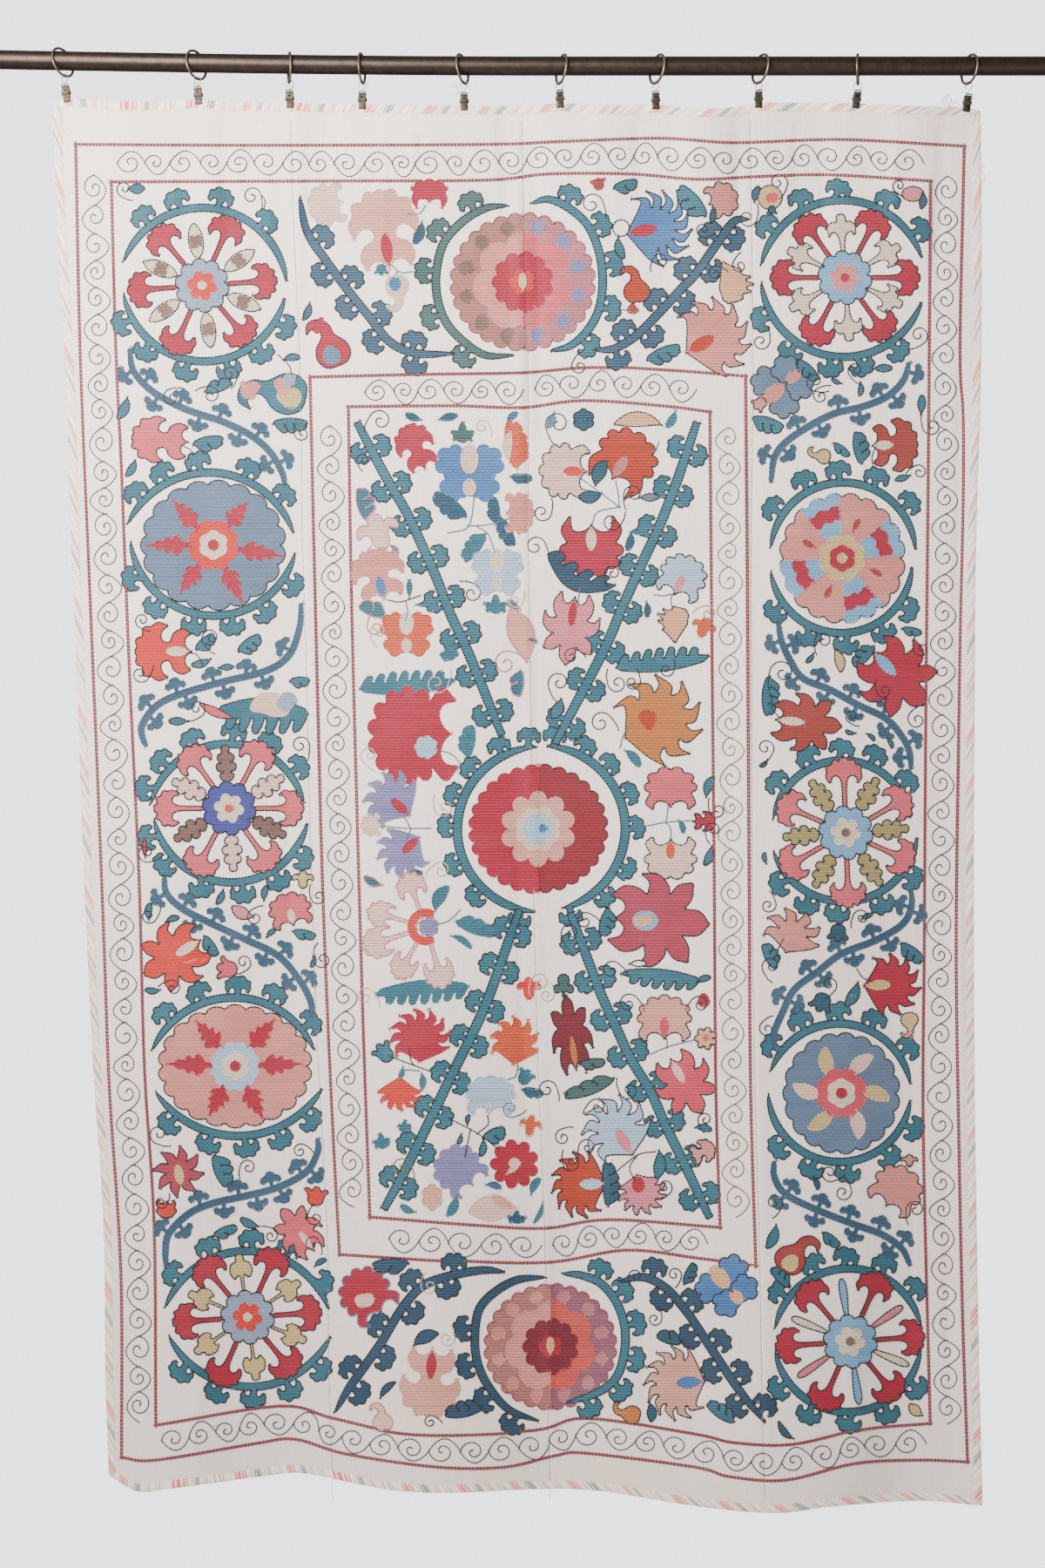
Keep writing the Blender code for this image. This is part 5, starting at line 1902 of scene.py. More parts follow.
# %% The flowers of the upper middle field
# Each row: the flower, pixels across and down of its middle, turn in degrees, pixels tall, and where
# they aren't False and 1, whether it is mirrored and how wide it is for its height
UPPER_FLOWERS = (
    (fan("blush", 6, edge="pale_thread"), 375, 234, 100, 40, False, 1.1),
    (simple(TWO_TIER, "shell", None, "crimson"), 441, 262, 8, 88, False, 0.85),
    (fan("crimson", 5, 98, None, horn=0.25), 493, 222, 0, 26, False, 1.5),
    (comma("ink_blue", edge=None), 481, 267, 180, 28),
    (simple(TULIP, "teal", None), 438, 309, 180, 12, False, 1.2),
    (paisley("blush", "cornflower", "pale_thread"), 456, 336, 186, 40),
    (paisley("crimson", "slate", tip="crimson"), 377, 392, 20, 58, True, 1.05),
    (comma("stem_blue"), 353, 357, 178, 22),
    (simple(TULIP, "brick_red", None), 687, 211, 12, 13, False, 1.2),
    (acanthus("teal", wide=0.5, teeth=2), 719, 214, -58, 27),
    (spiky("cornflower", 9, 118, 16, 0.46, slit="crimson"), 757, 262, -80, 74, False, 1.05),
    ([fill(None, 0.5j + disc(0.5))], 713, 262, 0, 19),
    (comma("teal", bend=-0.4), 712, 285, 172, 26),
    (paisley("rust"), 729, 326, 8, 42, True, 1.1),
    (spiky("brick_red", 4, 80, edge=None), 727, 354, 180, 14),
    (acanthus("teal", wide=0.45, teeth=3), 793, 232, 25, 44, True),
    (fan("salmon", 5), 829, 229, -70, 34, False, 1.1),
    (comma("deep_teal"), 818, 247, 195, 18),
    (pod("peach"), 846, 324, 2, 46, False, 1.1),
    (spiky("salmon", 8, 128, 10, 0.30, slit="rust"), 822, 385, -60, 76, False, 1.1),
    (acanthus("teal", wide=0.4, teeth=3), 763, 407, -52, 40),
)

# %% The flowers of the left column
LEFT_FLOWERS = (
    (comma("teal", wide=0.6, bend=0.0), 157, 217, -88, 19),
    (comma("teal"), 335, 411, -62, 20),
    (paisley("teal", "straw", tip="salmon"), 313, 450, 78, 76, True, 0.95),
    ([fill("salmon", 0.5j + blob(0.5, 3), None)], 324, 445, 0, 22),
    ([fill("greyblue", 0.5j + blob(0.5, 8), None)], 333, 437, 0, 16),
    (acanthus("teal", wide=0.4, teeth=2), 251, 443, -86, 32, True),
    (acanthus("teal", wide=0.4, teeth=3), 334, 488, -75, 38),
    (comma("teal"), 142, 469, 175, 28),
    (simple(TWO_TIER, "melon"), 183, 505, 85, 62, False, 0.8),
    (comma("teal"), 151, 538, 170, 22),
    (acanthus("teal", wide=0.45, teeth=2), 240, 509, -64, 34),
    (simple(TWO_TIER, "coral", slit="cream"), 187, 748, 90, 62),
    (acanthus("teal", wide=0.5, teeth=2), 237, 738, -35, 26),
    (comma("teal"), 231, 761, 125, 24, False, 0.9),
    (acanthus("teal", wide=0.5, teeth=3), 288, 740, -38, 30),
    (comma("teal", bend=0.0), 260, 766, -86, 17),
    (serrated("teal", 0.34, 6, -0.08), 300, 822, 88, 104, True),
    ([fill("blush", 0.5j + blob(0.5, 5), None)], 310, 809, 0, 30, False, 1.5),
    ([fill("greyblue", 0.5j + blob(0.5, 6), None)], 329, 806, 0, 24),
    (comma("melon", wide=0.22, bend=0.2), 248, 817, 78, 44),
    (comma("teal", bend=0.0), 204, 828, 90, 22),
    (acanthus("teal", wide=0.5, teeth=2), 345, 783, -72, 22),
    (comma("crimson", wide=0.25, bend=0.1), 166, 973, 8, 22),
    (simple(LILY, "straw"), 348, 1009, 0, 20),
    (comma("pink", wide=0.5, bend=0.3), 278, 1048, 82, 28),
    (fan("melon", 6, slit="cream"), 333, 1045, 14, 38, False, 1.2),
    (comma("teal"), 253, 1030, 175, 19),
    (comma("teal"), 304, 1025, 8, 18),
    (comma("teal"), 311, 1071, -30, 14),
    (acanthus("teal", wide=0.4, teeth=2), 350, 1073, -86, 26),
    (comma("teal"), 360, 1104, 178, 14),
    (comma("teal"), 171, 1046, 14, 20),
    (comma("teal"), 198, 1055, -52, 17),
    (simple(HORNED, "coral", slit="cream"), 200, 1098, 122, 70, False, 0.85),
    (acanthus("teal", wide=0.45, teeth=2), 241, 1087, -130, 26),
    (simple(TULIP, "melon"), 260, 1112, 78, 24),
    (comma("teal"), 175, 1137, 108, 18),
    (star("wine", "straw"), 205, 1345, 10, 58),
    (fan("coral", 4), 191, 1388, 180, 19, False, 1.1),
    (acanthus("teal", wide=0.5, teeth=3), 256, 1344, 186, 38, True),
    (simple(TULIP, "coral"), 363, 1373, -8, 22, False, 1.1),
    (simple(HORNED, "melon", slit="blush"), 343, 1413, 38, 56, False, 0.72),
    (acanthus("teal", wide=0.4, teeth=2), 259, 1414, -52, 28),
    (comma("teal"), 286, 1404, 86, 24),
    (comma("teal"), 368, 1449, -40, 16),
)

# %% The flowers of the right column
RIGHT_FLOWERS = (
    (
        [fill("straw", 0.5j + disc(0.5)), fill("rose", 0.08 + 0.5j + blob(0.24, 2), None)],
        884, 226, 0, 28,
    ),
    (simple(TULIP, "deep_teal"), 886, 241, 180, 10),
    (comma("stem_blue"), 868, 222, 4, 20),
    ([fill("pink", 0.5j + disc(0.5))], 1048, 222, 0, 17, False, 1.5),
    (comma("stem_blue"), 1059, 230, 200, 18, False, 1.2),
    (winged("slate", "salmon", "navy"), 899, 442, 130, 66, False, 0.9),
    (simple(TULIP, "salmon"), 872, 463, 130, 16),
    (acanthus("teal", wide=0.4, teeth=3), 927, 425, -118, 32),
    (comma("teal", bend=0.0), 1014, 422, -88, 22),
    (comma("teal"), 960, 437, 82, 13),
    (comma("teal"), 988, 446, 196, 16),
    (acanthus("teal", wide=0.45, teeth=3), 882, 487, -92, 36),
    (comma("teal", bend=0.0), 1058, 463, -4, 22),
    (simple(TWO_TIER, "brick_red", slit="cream"), 1028, 510, -88, 50, False, 1.15),
    (paisley("straw"), 940, 522, 82, 26),
    (acanthus("teal", wide=0.4, teeth=2), 966, 516, -112, 22),
    (acanthus("teal", wide=0.45, teeth=3), 988, 512, 24, 36),
    (comma("teal", bend=0.1), 1036, 548, 112, 18),
    (comma("straw"), 963, 757, 215, 28),
    (comma("teal"), 930, 755, 160, 14),
    (acanthus("teal", wide=0.45, teeth=3), 990, 752, 150, 32),
    (acanthus("teal", wide=0.4, teeth=2), 1047, 724, -86, 22),
    (simple(HORNED, "crimson", slit="sky"), 1030, 776, -136, 78, False, 0.9),
    (acanthus("teal", wide=0.4, teeth=4), 884, 799, 162, 44, True),
    (simple(HORNED, "brick_red", slit="cream"), 926, 829, -96, 70, False, 0.75),
    (comma("teal"), 976, 840, 96, 12),
    (comma("teal"), 1000, 845, -110, 12),
    (comma("teal"), 1022, 852, -130, 13),
    (comma("deep_teal"), 877, 876, 150, 12),
    (comma("teal"), 878, 984, 30, 13),
    (spiky("salmon", 6, 128, 8, 0.50), 911, 1068, -18, 50, False, 1.2),
    (acanthus("teal", wide=0.5, teeth=3), 885, 1095, 42, 30),
    (simple(TULIP, "deep_teal"), 962, 1070, 176, 20, False, 1.1),
    (comma("teal"), 995, 1051, -48, 14),
    (acanthus("teal", wide=0.45, teeth=3), 1047, 1094, -112, 32),
    (spiky("crimson", 8, 128, 8, 0.34, slit="straw"), 1025, 1129, -88, 64),
    (comma("teal"), 979, 1141, 172, 32),
    (simple(TULIP, "deep_teal"), 943, 1150, 158, 22, False, 1.1),
    (paisley("straw", tip="salmon"), 1044, 1176, 184, 28, False, 1.1),
    (fan("salmon", 6), 1030, 1364, -34, 50, False, 1.1),
    (simple(LILY, "salmon"), 1044, 1331, 0, 13, False, 1.2),
    (comma("deep_teal"), 937, 1357, -140, 16),
    (comma("teal"), 887, 1419, 178, 30),
    (paisley("brick_red", "straw"), 915, 1437, -38, 52, False, 1.05),
    (acanthus("teal", wide=0.45, teeth=2), 954, 1423, -112, 24),
    (acanthus("teal", wide=0.45, teeth=3), 896, 1464, 60, 28),
    (comma("straw", wide=0.6, bend=0.2), 1051, 1618, 60, 20),
    (comma("stem_blue", wide=0.3, bend=0.5), 902, 1641, 70, 26),
)

# %% The flowers of the middle field, left of its seam
PALE = "pale_thread"
MIDDLE_LEFT_FLOWERS = (
    (simple(TWO_TIER, "crimson", None), 477, 512, 24, 52, False, 0.8),
    (comma("deep_teal", bend=0.1, edge=None), 474, 478, 75, 20),
    (comma("deep_teal", bend=0.1, edge=None), 515, 478, -72, 22),
    (simple(CROWN, "grey_green", None), 531, 495, 0, 24),
    (winged("cornflower", "blush"), 539, 542, 0, 70),
    (acanthus("orange", wide=0.42, teeth=4, edge=None), 592, 508, 24, 54),
    (comma("blush", wide=0.3, edge=None), 584, 512, 18, 36),
    (comma("teal", edge=None), 588, 478, -24, 18),
    (acanthus("deep_teal", wide=0.4, teeth=2, edge=None), 599, 549, -78, 24),
    (acanthus("deep_teal", wide=0.42, teeth=3, edge=None), 515, 580, 38, 44, True),
    (acanthus("deep_teal", wide=0.42, teeth=2, edge=None), 567, 585, -10, 30, True),
    (acanthus("deep_teal", wide=0.42, teeth=3, edge=None), 581, 611, -140, 34),
    (fan("salmon", 7, edge=None), 596, 589, -90, 32, False, 1.35),
    (acanthus("teal", wide=0.42, teeth=3, edge=None), 543, 627, 158, 38),
    (winged("ice", "cream"), 571, 656, 0, 56, False, 0.95),
    (simple(CROWN, "teal", None), 569, 692, 0, 22, False, 1.1),
    (acanthus("teal", wide=0.5, teeth=3, edge="mauve"), 419, 576, 28, 36),
    (simple(LILY, "blush", "pale_pink"), 434, 609, 18, 42, False, 0.95),
    (comma("slate", edge="pale_pink"), 453, 630, -120, 15),
    (simple(TWO_TIER, "salmon", "pale_pink", "cornflower"), 434, 658, 14, 56, False, 1.05),
    (acanthus("teal", wide=0.5, teeth=2, edge="mauve"), 428, 698, 84, 32),
    (comma("teal", wide=0.3, bend=0.0, edge=None), 470, 674, 0, 20),
    (comma("teal", wide=0.3, bend=0.1, edge=None), 487, 693, -84, 18),
    (winged("orange", "cream", foot="blush"), 467, 727, 0, 54),
    (simple(CROWN, "teal", None), 515, 747, 20, 20),
    (serrated("teal", 0.22, 7, -0.05, None), 468, 783, -86, 106, True),
    (fan("crimson", 10, 128, None), 474, 843, 92, 96, False, 1.08),
    ([fill("ice", 0.5j + scalloped(0.5, 7, 0.2), None)], 489, 857, 0, 26),
    (acanthus("teal", wide=0.45, teeth=3, edge=None), 537, 849, -24, 36, True),
    (comma("shell", wide=0.46, bend=-0.22, edge="pale_pink"), 598, 728, 4, 66),
    (comma("teal", wide=0.5, edge="pale_pink"), 590, 694, 70, 18),
    (comma("teal", wide=0.5, edge="pale_pink"), 611, 735, -84, 12),
    (acanthus("teal", wide=0.5, teeth=2, edge="pale_pink"), 594, 784, 190, 30),
    (spiky("lilac", 7, 125, 8, 0.42, None, "crimson"), 448, 915, 48, 58, False, 1.05),
    (spiky("lilac", 7, 125, 8, 0.42, None, "crimson"), 461, 979, 134, 54, False, 1.05),
    (fan("blush", 5, edge=None), 426, 946, 90, 22),
    (comma("deep_teal", edge=None), 476, 1002, -58, 18),
    (comma("teal", edge="pale_pink"), 428, 1011, 84, 24),
    (comma("teal", wide=0.45, bend=0.5, edge=None), 506, 1030, 0, 32),
    (acanthus("teal", wide=0.35, teeth=3, edge=None), 547, 1063, -124, 46, True),
    (comma("teal", wide=0.25, bend=0.4, edge=None), 530, 1080, -98, 28),
    (serrated("teal", 0.22, 7, -0.05, None), 484, 1138, 94, 104, True),
    (spiky("crimson", 9, 135, 12, 0.40, None), 482, 1187, 0, 60, False, 1.05),
    (simple(TULIP, "teal", "navy"), 441, 1207, 40, 24, False, 0.9),
    (spiky("coral", 7, 110, 6, 0.42, None), 459, 1255, 180, 38, False, 1.2),
    (comma("teal", edge=None), 485, 1240, 200, 18),
    (comma("teal", edge=None), 461, 1231, 180, 14),
    (simple(CROWN, "teal", None), 465, 1291, 0, 14),
    (simple(CROWN, "teal", None), 438, 1308, 10, 18),
    (simple(LILY, "coral", None), 607, 1133, 0, 24, False, 0.9),
    (spiky("orange", 7, 128, 8, 0.36, None), 591, 1193, -4, 54, False, 0.95),
    (fan("ice", 7, 110, None), 563, 1256, 0, 42, False, 1.25),
    (comma("blush", edge=None), 561, 1272, 0, 14),
    (simple(TULIP, "teal", None), 603, 1235, -30, 18),
    (acanthus("deep_teal", wide=0.4, teeth=2, edge=None), 612, 1254, -86, 24),
    (simple(LILY, "orange", PALE), 609, 1291, -10, 24, False, 0.9),
    (comma("teal"), 537, 1284, 10, 12),
    (comma("teal"), 528, 1307, 180, 12),
    (acanthus("teal", wide=0.6, teeth=2), 569, 1302, -50, 26),
    (comma("teal"), 554, 1317, 190, 20),
    (floret("crimson", 9, "blush", None, 0.28), 590, 1335, 0, 56),
    (comma("blush", edge=None), 587, 1343, -40, 11),
    (fan("lilac", 7, 120, None), 526, 1341, 42, 52),
    ([fill("shell", 0.5j + scalloped(0.5, 6, 0.2), None)], 496, 1373, 0, 30, False, 0.8),
    (comma("blush", wide=0.5, bend=0.2, edge=None), 566, 1386, 82, 58, True),
    (comma("shell", wide=0.4, bend=0.3, edge=None), 577, 1379, 80, 30),
    (comma("teal", edge=None), 567, 1360, -84, 18),
    (comma("teal", edge=None), 520, 1384, 175, 26),
    (comma("teal", edge=None), 468, 1387, 84, 19),
    (comma("teal", edge=None), 614, 1360, -10, 22),
    (simple(CROWN, "deep_teal", None), 593, 1396, 0, 14, False, 1.4),
    (comma("teal", wide=0.2, edge=None), 618, 1392, 176, 26),
)

# %% The flowers of the middle field, right of its seam
MIDDLE_RIGHT_FLOWERS = (
    (floret("deep_teal", 6, "deep_teal", "navy", 0.2), 670, 482, 0, 25),
    (comma("slate", edge=None), 633, 483, 178, 20),
    (fan("rust", 7, slit="mauve", horn=0.12), 717, 529, -34, 62, False, 1.08),
    (comma("peach", wide=0.30, bend=-0.45), 733, 486, 62, 56),
    (fan("blush", 7, slit="coral"), 648, 541, 88, 54, False, 1.1),
    (comma("deep_teal", wide=0.5), 688, 543, -4, 32),
    (comma("deep_teal", wide=0.5), 678, 570, 118, 28),
    (comma("slate", bend=0.0), 746, 571, -88, 22),
    (comma("teal", edge=None), 771, 482, 170, 22),
    (fan("crimson", 6, slit="blush", horn=0.1), 679, 627, 180, 60, False, 1.12),
    (comma("teal", edge=None), 732, 611, -76, 17),
    (comma("deep_teal", edge=None), 723, 622, 186, 22),
    (serrated("ink_blue", 0.30, 4, -0.22), 664, 662, -118, 82, True),
    (simple(HORNED, "pink", slit="crimson"), 655, 722, 172, 72, False, 0.72),
    (fan("ice", 7, slit="pink"), 784, 662, -24, 48, False, 1.05),
    (comma("deep_teal", edge=None), 743, 700, 200, 18),
    (pod("peach"), 770, 714, 155, 38, False, 1.2),
    (simple(LILY, "orange", None), 808, 720, -20, 22),
    (serrated("teal", 0.22, 7, -0.04), 761, 757, -84, 104, True),
    (spiky("amber", 8, 140, 12, 0.36), 760, 824, -62, 92),
    ([fill("rust", 0.5j + blob(0.5, 3), None)], 743, 827, 0, 24),
    (comma("teal", edge=None), 727, 870, -118, 26),
    (comma("teal", wide=0.5), 640, 814, 172, 26),
    (fan("melon", 6), 770, 905, 0, 46, False, 1.2),
    (fan("blush", 6, slit="orange"), 770, 985, 180, 46, False, 1.2),
    (comma("teal", edge=None), 783, 949, -140, 16),
    (simple(TWO_TIER, "crimson"), 809, 943, -90, 24, False, 0.9),
    (comma("teal"), 814, 903, 0, 26),
    (comma("teal"), 814, 983, 178, 24),
    ([fill("peach", 0.5j + blob(0.5, 1), None)], 721, 1024, 0, 16),
    (simple(HORNED, "wine"), 757, 1057, -94, 100, False, 0.85),
    (
        [fill("sky", 0.5j + disc(0.5), None), fill("peach", -0.1 + 0.5j + blob(0.34, 2), None)],
        741, 1057, 0, 22, False, 1.3,
    ),
    (acanthus("teal", wide=0.5, teeth=3), 697, 1060, 150, 32, True),
    (comma(None, wide=0.36, bend=0.1), 733, 1106, -84, 20),
    (serrated("teal", 0.22, 6, -0.04), 758, 1124, 84, 88, True),
    (fan("shell", 7, slit="rose"), 763, 1169, 0, 50, False, 1.15),
    (floret("peach", 7, "rose"), 810, 1192, 0, 26),
    (simple(HORNED, "rose", slit="blush"), 787, 1245, -150, 66, False, 0.8),
    (simple(CLOVER, "grey_green"), 647, 1132, 0, 26, False, 0.9),
    (simple(HORNED, "deep_crimson", slit="amber"), 656, 1188, 8, 80, False, 0.46),
    (acanthus("grey_green", wide=0.4, teeth=2), 681, 1221, -68, 28),
    (acanthus("grey_green", wide=0.26, teeth=3, bend=0.3), 676, 1248, 128, 58),
    (spiky("ice", 8, 135, 14, 0.46, slit="pink"), 706, 1294, 32, 72),
    (spiky("rust", 9, 132, 12, 0.34, slit="ice"), 664, 1360, 92, 62, False, 1.12),
    (acanthus("deep_teal", wide=0.35, teeth=4, bend=0.0), 702, 1359, 4, 50),
    (spiky("pink", 9, 140, 4, 0.36), 738, 1372, 196, 46, False, 1.1),
    ([fill("crimson", 0.5j + disc(0.5), None)], 733, 1360, 0, 17, False, 0.8),
    (comma("teal", wide=0.4, bend=0.3), 757, 1337, 192, 34),
    (simple(TWO_TIER, "salmon"), 807, 1322, -64, 28, False, 0.9),
    (comma("teal"), 808, 1295, -80, 20),
    (comma("teal"), 808, 1124, -50, 18),
    ([fill("crimson", 0.5j + blob(0.5, 4), None)], 808, 1148, 0, 16),
)

# %% The flowers of the lower middle field
LOWER_FLOWERS = (
    (fan("crimson", 8, 122, "slate"), 421, 1485, 40, 60, False, 0.95),
    ([fill("blush", 0.5j + blob(0.5, 2), None)], 419, 1492, 0, 20),
    (acanthus("ink_blue", wide=0.4, teeth=2), 448, 1452, 78, 40, True),
    (simple(TWO_TIER, "shell", None, "crimson"), 494, 1586, 176, 76, False, 0.85),
    (comma("ink_blue", wide=0.45, bend=0.4), 488, 1535, -40, 32),
    (paisley("blush", edge="mauve"), 438, 1625, 8, 32, True, 1.1),
    (comma("ink_blue", wide=0.3, bend=0.4), 445, 1594, -20, 26),
    (acanthus("ink_blue", wide=0.4, teeth=3), 531, 1617, 116, 42),
    (paisley("amber"), 719, 1622, 76, 32),
    (comma("deep_teal", wide=0.5), 748, 1621, 205, 22),
    (acanthus("deep_teal", wide=0.5, teeth=2), 768, 1535, 88, 28),
    (spiky("shell", 10, 138, 12, 0.34, slit="cornflower"), 774, 1588, 94, 68, False, 1.12),
    (winged("cornflower", "peach", "navy"), 836, 1477, 40, 64, False, 0.95),
    (acanthus("deep_teal", wide=0.45, teeth=3), 793, 1462, -10, 26),
    (acanthus("teal", wide=0.4, teeth=3), 828, 1620, 70, 36),
)
for table in (
    UPPER_FLOWERS, LEFT_FLOWERS, RIGHT_FLOWERS, MIDDLE_LEFT_FLOWERS, MIDDLE_RIGHT_FLOWERS, LOWER_FLOWERS,
):
    for row in table:
        grow_at(*row)

# %% The lotus and its collar
LOTUS = at(489, 1063)
for turn, long, wide in ((20, 62, 50), (74, 66, 44), (108, 74, 52), (150, 64, 44), (196, 70, 50)):
    sew(petal(FLARE, "blush", long, wide, "pale_pink", 12), LOTUS, turn)
turned = np.radians(np.linspace(60, 300, 20))
sew([fill("coral", strap(19 * np.exp(1j * turned), 10, 0.8), None)], LOTUS)
sew([fill("lilac", scalloped(13, 6, 0.2), None)], LOTUS + 4)

# %% The thin stems that join flowers to branches
STALKS = (
    ("stem_teal", ((515, 611), (538, 603), (545, 566))),
    ("stem_teal", ((538, 603), (563, 601), (588, 593))),
    ("stem_teal", ((548, 604), (560, 612), (568, 632))),
    ("stem_teal", ((471, 950), (482, 950), (494, 950))),
    ("scroll_green", ((438, 947), (456, 949), (471, 950))),
    ("stem_teal", ((463, 935), (471, 950), (467, 962))),
    ("stem_teal", ((507, 861), (520, 866), (530, 878))),
    ("stem_teal", ((499, 1061), (515, 1056), (528, 1044))),
    ("navy", ((470, 1204), (474, 1220), (492, 1228))),
    ("navy", ((447, 1211), (462, 1217), (492, 1228))),
    ("stem_teal", ((459, 1238), (462, 1228), (480, 1228))),
    ("navy", ((516, 1283), (548, 1300), (572, 1318))),
    ("navy", ((540, 1296), (537, 1310), (534, 1326))),
    ("navy", ((548, 1300), (560, 1290), (560, 1281))),
    ("stem_teal", ((594, 1222), (592, 1234), (584, 1238))),
    ("stem_teal", ((665, 548), (684, 562), (711, 582))),
    ("stem_teal", ((707, 553), (710, 568), (711, 582))),
    ("stem_teal", ((680, 602), (686, 588), (711, 582))),
    ("stem_teal", ((756, 509), (753, 517), (748, 520))),
    ("stem_teal", ((739, 949), (765, 944), (798, 942))),
    ("stem_teal", ((767, 925), (766, 936), (765, 944))),
    ("stem_teal", ((765, 944), (770, 952), (770, 964))),
    ("stem_teal", ((725, 832), (716, 844), (712, 858))),
    ("stem_teal", ((748, 1210), (766, 1202), (796, 1194))),
    ("stem_teal", ((765, 1190), (766, 1196), (766, 1202))),
    ("navy", ((752, 1322), (732, 1326), (705, 1347))),
    ("navy", ((728, 1354), (723, 1340), (732, 1326))),
    ("stem_teal", ((666, 676), (664, 688), (664, 696))),
    ("stem_teal", ((774, 680), (770, 688), (772, 698))),
    ("stem_teal", ((752, 683), (762, 684), (772, 682))),
    ("stem_teal", ((449, 303), (460, 312), (474, 311))),
    ("stem_teal", ((456, 312), (450, 320), (449, 326))),
    ("stem_teal", ((488, 236), (482, 244), (470, 245))),
    ("stem_teal", ((726, 354), (716, 356), (706, 352))), ("navy", ((446, 688), (460, 690), (482, 683))),
    ("stem_teal", ((466, 690), (468, 700), (466, 710))), ("navy", ((302, 226), (305, 232), (303, 240))),
    ("navy", ((320, 408), (332, 420), (335, 430))), ("navy", ((212, 513), (218, 516), (222, 522))),
    ("navy", ((215, 749), (226, 752), (233, 764))), ("navy", ((1004, 515), (1001, 524), (1002, 534))),
    ("navy", ((894, 822), (886, 812), (886, 800))), ("navy", ((1001, 1126), (990, 1121), (984, 1112))),
    ("navy", ((899, 1078), (893, 1090), (894, 1102))),
)
for colour, pixels in STALKS:
    sew([line(colour, photo_path(pixels, 8))])

# %% The curling tendrils
# Each: pixels across and down of its foot, turn, pixels tall, and where they aren't False and navy,
# whether it is mirrored and its colour
CURLS = (
    (150, 232, 60, 22), (303, 240, 10, 26, True), (210, 444, 100, 24, True), (225, 446, -80, 24),
    (268, 446, -20, 22, True), (336, 486, 190, 20, True), (244, 752, 40, 26), (170, 726, 60, 20),
    (178, 766, 150, 24), (218, 830, -60, 24, True), (356, 872, 0, 26, True), (188, 984, 110, 26),
    (354, 1016, 190, 22, True), (300, 1038, 120, 22, True), (186, 1044, 150, 22),
    (272, 1120, -60, 22, True), (182, 1130, -70, 22), (362, 1082, 170, 26, True), (194, 1318, 70, 26),
    (273, 1352, -10, 22), (360, 1320, 60, 20, True), (196, 1372, 160, 18), (358, 1382, 160, 22, True),
    (302, 1406, -110, 20), (372, 1438, 20, 22, True), (898, 228, -20, 26, True), (872, 236, 170, 26),
    (1036, 226, 50, 18), (884, 376, 180, 24), (1046, 402, -60, 26, True), (952, 440, 110, 22, True),
    (984, 441, 40, 22), (950, 451, 80, 26), (1056, 474, 190, 26, True), (1040, 540, -60, 20),
    (935, 750, 0, 24), (1048, 730, 180, 22, True), (880, 790, -10, 34), (1004, 781, 190, 20, True),
    (1058, 806, 130, 26, True), (880, 876, -30, 24, True), (984, 834, 60, 18), (886, 1022, 200, 22),
    (975, 1062, -20, 22), (884, 1128, 30, 26), (950, 1146, -40, 22, True), (885, 1164, 130, 22, True),
    (970, 1350, 110, 24), (972, 1350, 200, 24), (1040, 1404, 0, 26), (890, 1398, -30, 24, True),
    (416, 492, -30, 30), (414, 540, 20, 18), (530, 664, -110, 26), (634, 512, 20, 34),
    (636, 574, 170, 26), (716, 584, 0, 26), (720, 590, 150, 26), (632, 640, 20, 28, True),
    (694, 672, 0, 22), (673, 752, 60, 22, True), (695, 770, 190, 26, True), (733, 768, 190, 22),
    (776, 758, 170, 20), (636, 806, 20, 30), (712, 836, 40, 30, True),
    (796, 700, -70, 22, False, "salmon"), (812, 918, 190, 22, True), (812, 968, 10, 22),
    (690, 1056, 60, 24, True), (650, 1090, 20, 26), (722, 1116, 50, 26, True),
    (742, 1158, 40, 28, True), (786, 1158, -40, 24), (644, 1262, 20, 26, True),
    (706, 1240, 200, 26, True), (668, 1276, -40, 24), (656, 1292, 110, 22, True),
    (644, 1322, 190, 24, True), (662, 1330, -10, 24), (756, 1378, -60, 22, True), (806, 1300, 20, 20),
    (634, 1128, 190, 20, False, PALE), (606, 754, 70, 34, True, "mauve"),
    (424, 626, 160, 20, True, "pale_pink"), (424, 704, 170, 22, True, "mauve"),
    (520, 770, 160, 30, False, PALE), (426, 884, 40, 24, False, PALE), (496, 912, 190, 26, True, PALE),
    (488, 1000, -50, 24, False, PALE), (604, 680, 160, 20, False, PALE),
    (430, 742, 20, 24, False, PALE), (606, 1142, -10, 26, False, PALE), (438, 1152, 30, 26, True, PALE),
    (604, 1276, 110, 24, False, "stem_teal"), (478, 1352, 20, 28, True, "scroll_green"),
    (698, 248, 20, 30, True), (745, 310, -20, 22), (836, 310, 70, 20, True), (848, 290, 150, 20, True),
    (664, 404, 150, 22, True), (824, 268, 110, 22), (508, 1630, 60, 18, True), (726, 1480, 20, 20),
    (778, 1478, -20, 20, True), (758, 1500, 190, 20), (520, 1520, 190, 22, False, PALE),
    (486, 1460, 170, 22, True, PALE), (566, 498, 20, 20, True, PALE),
)


def sew_curl(across, down, turn, tall, mirror=False, colour="navy"):
    sew(curl(colour), at(across, down), turn, tall * PIXEL, mirror)


for row in CURLS:
    sew_curl(*row)

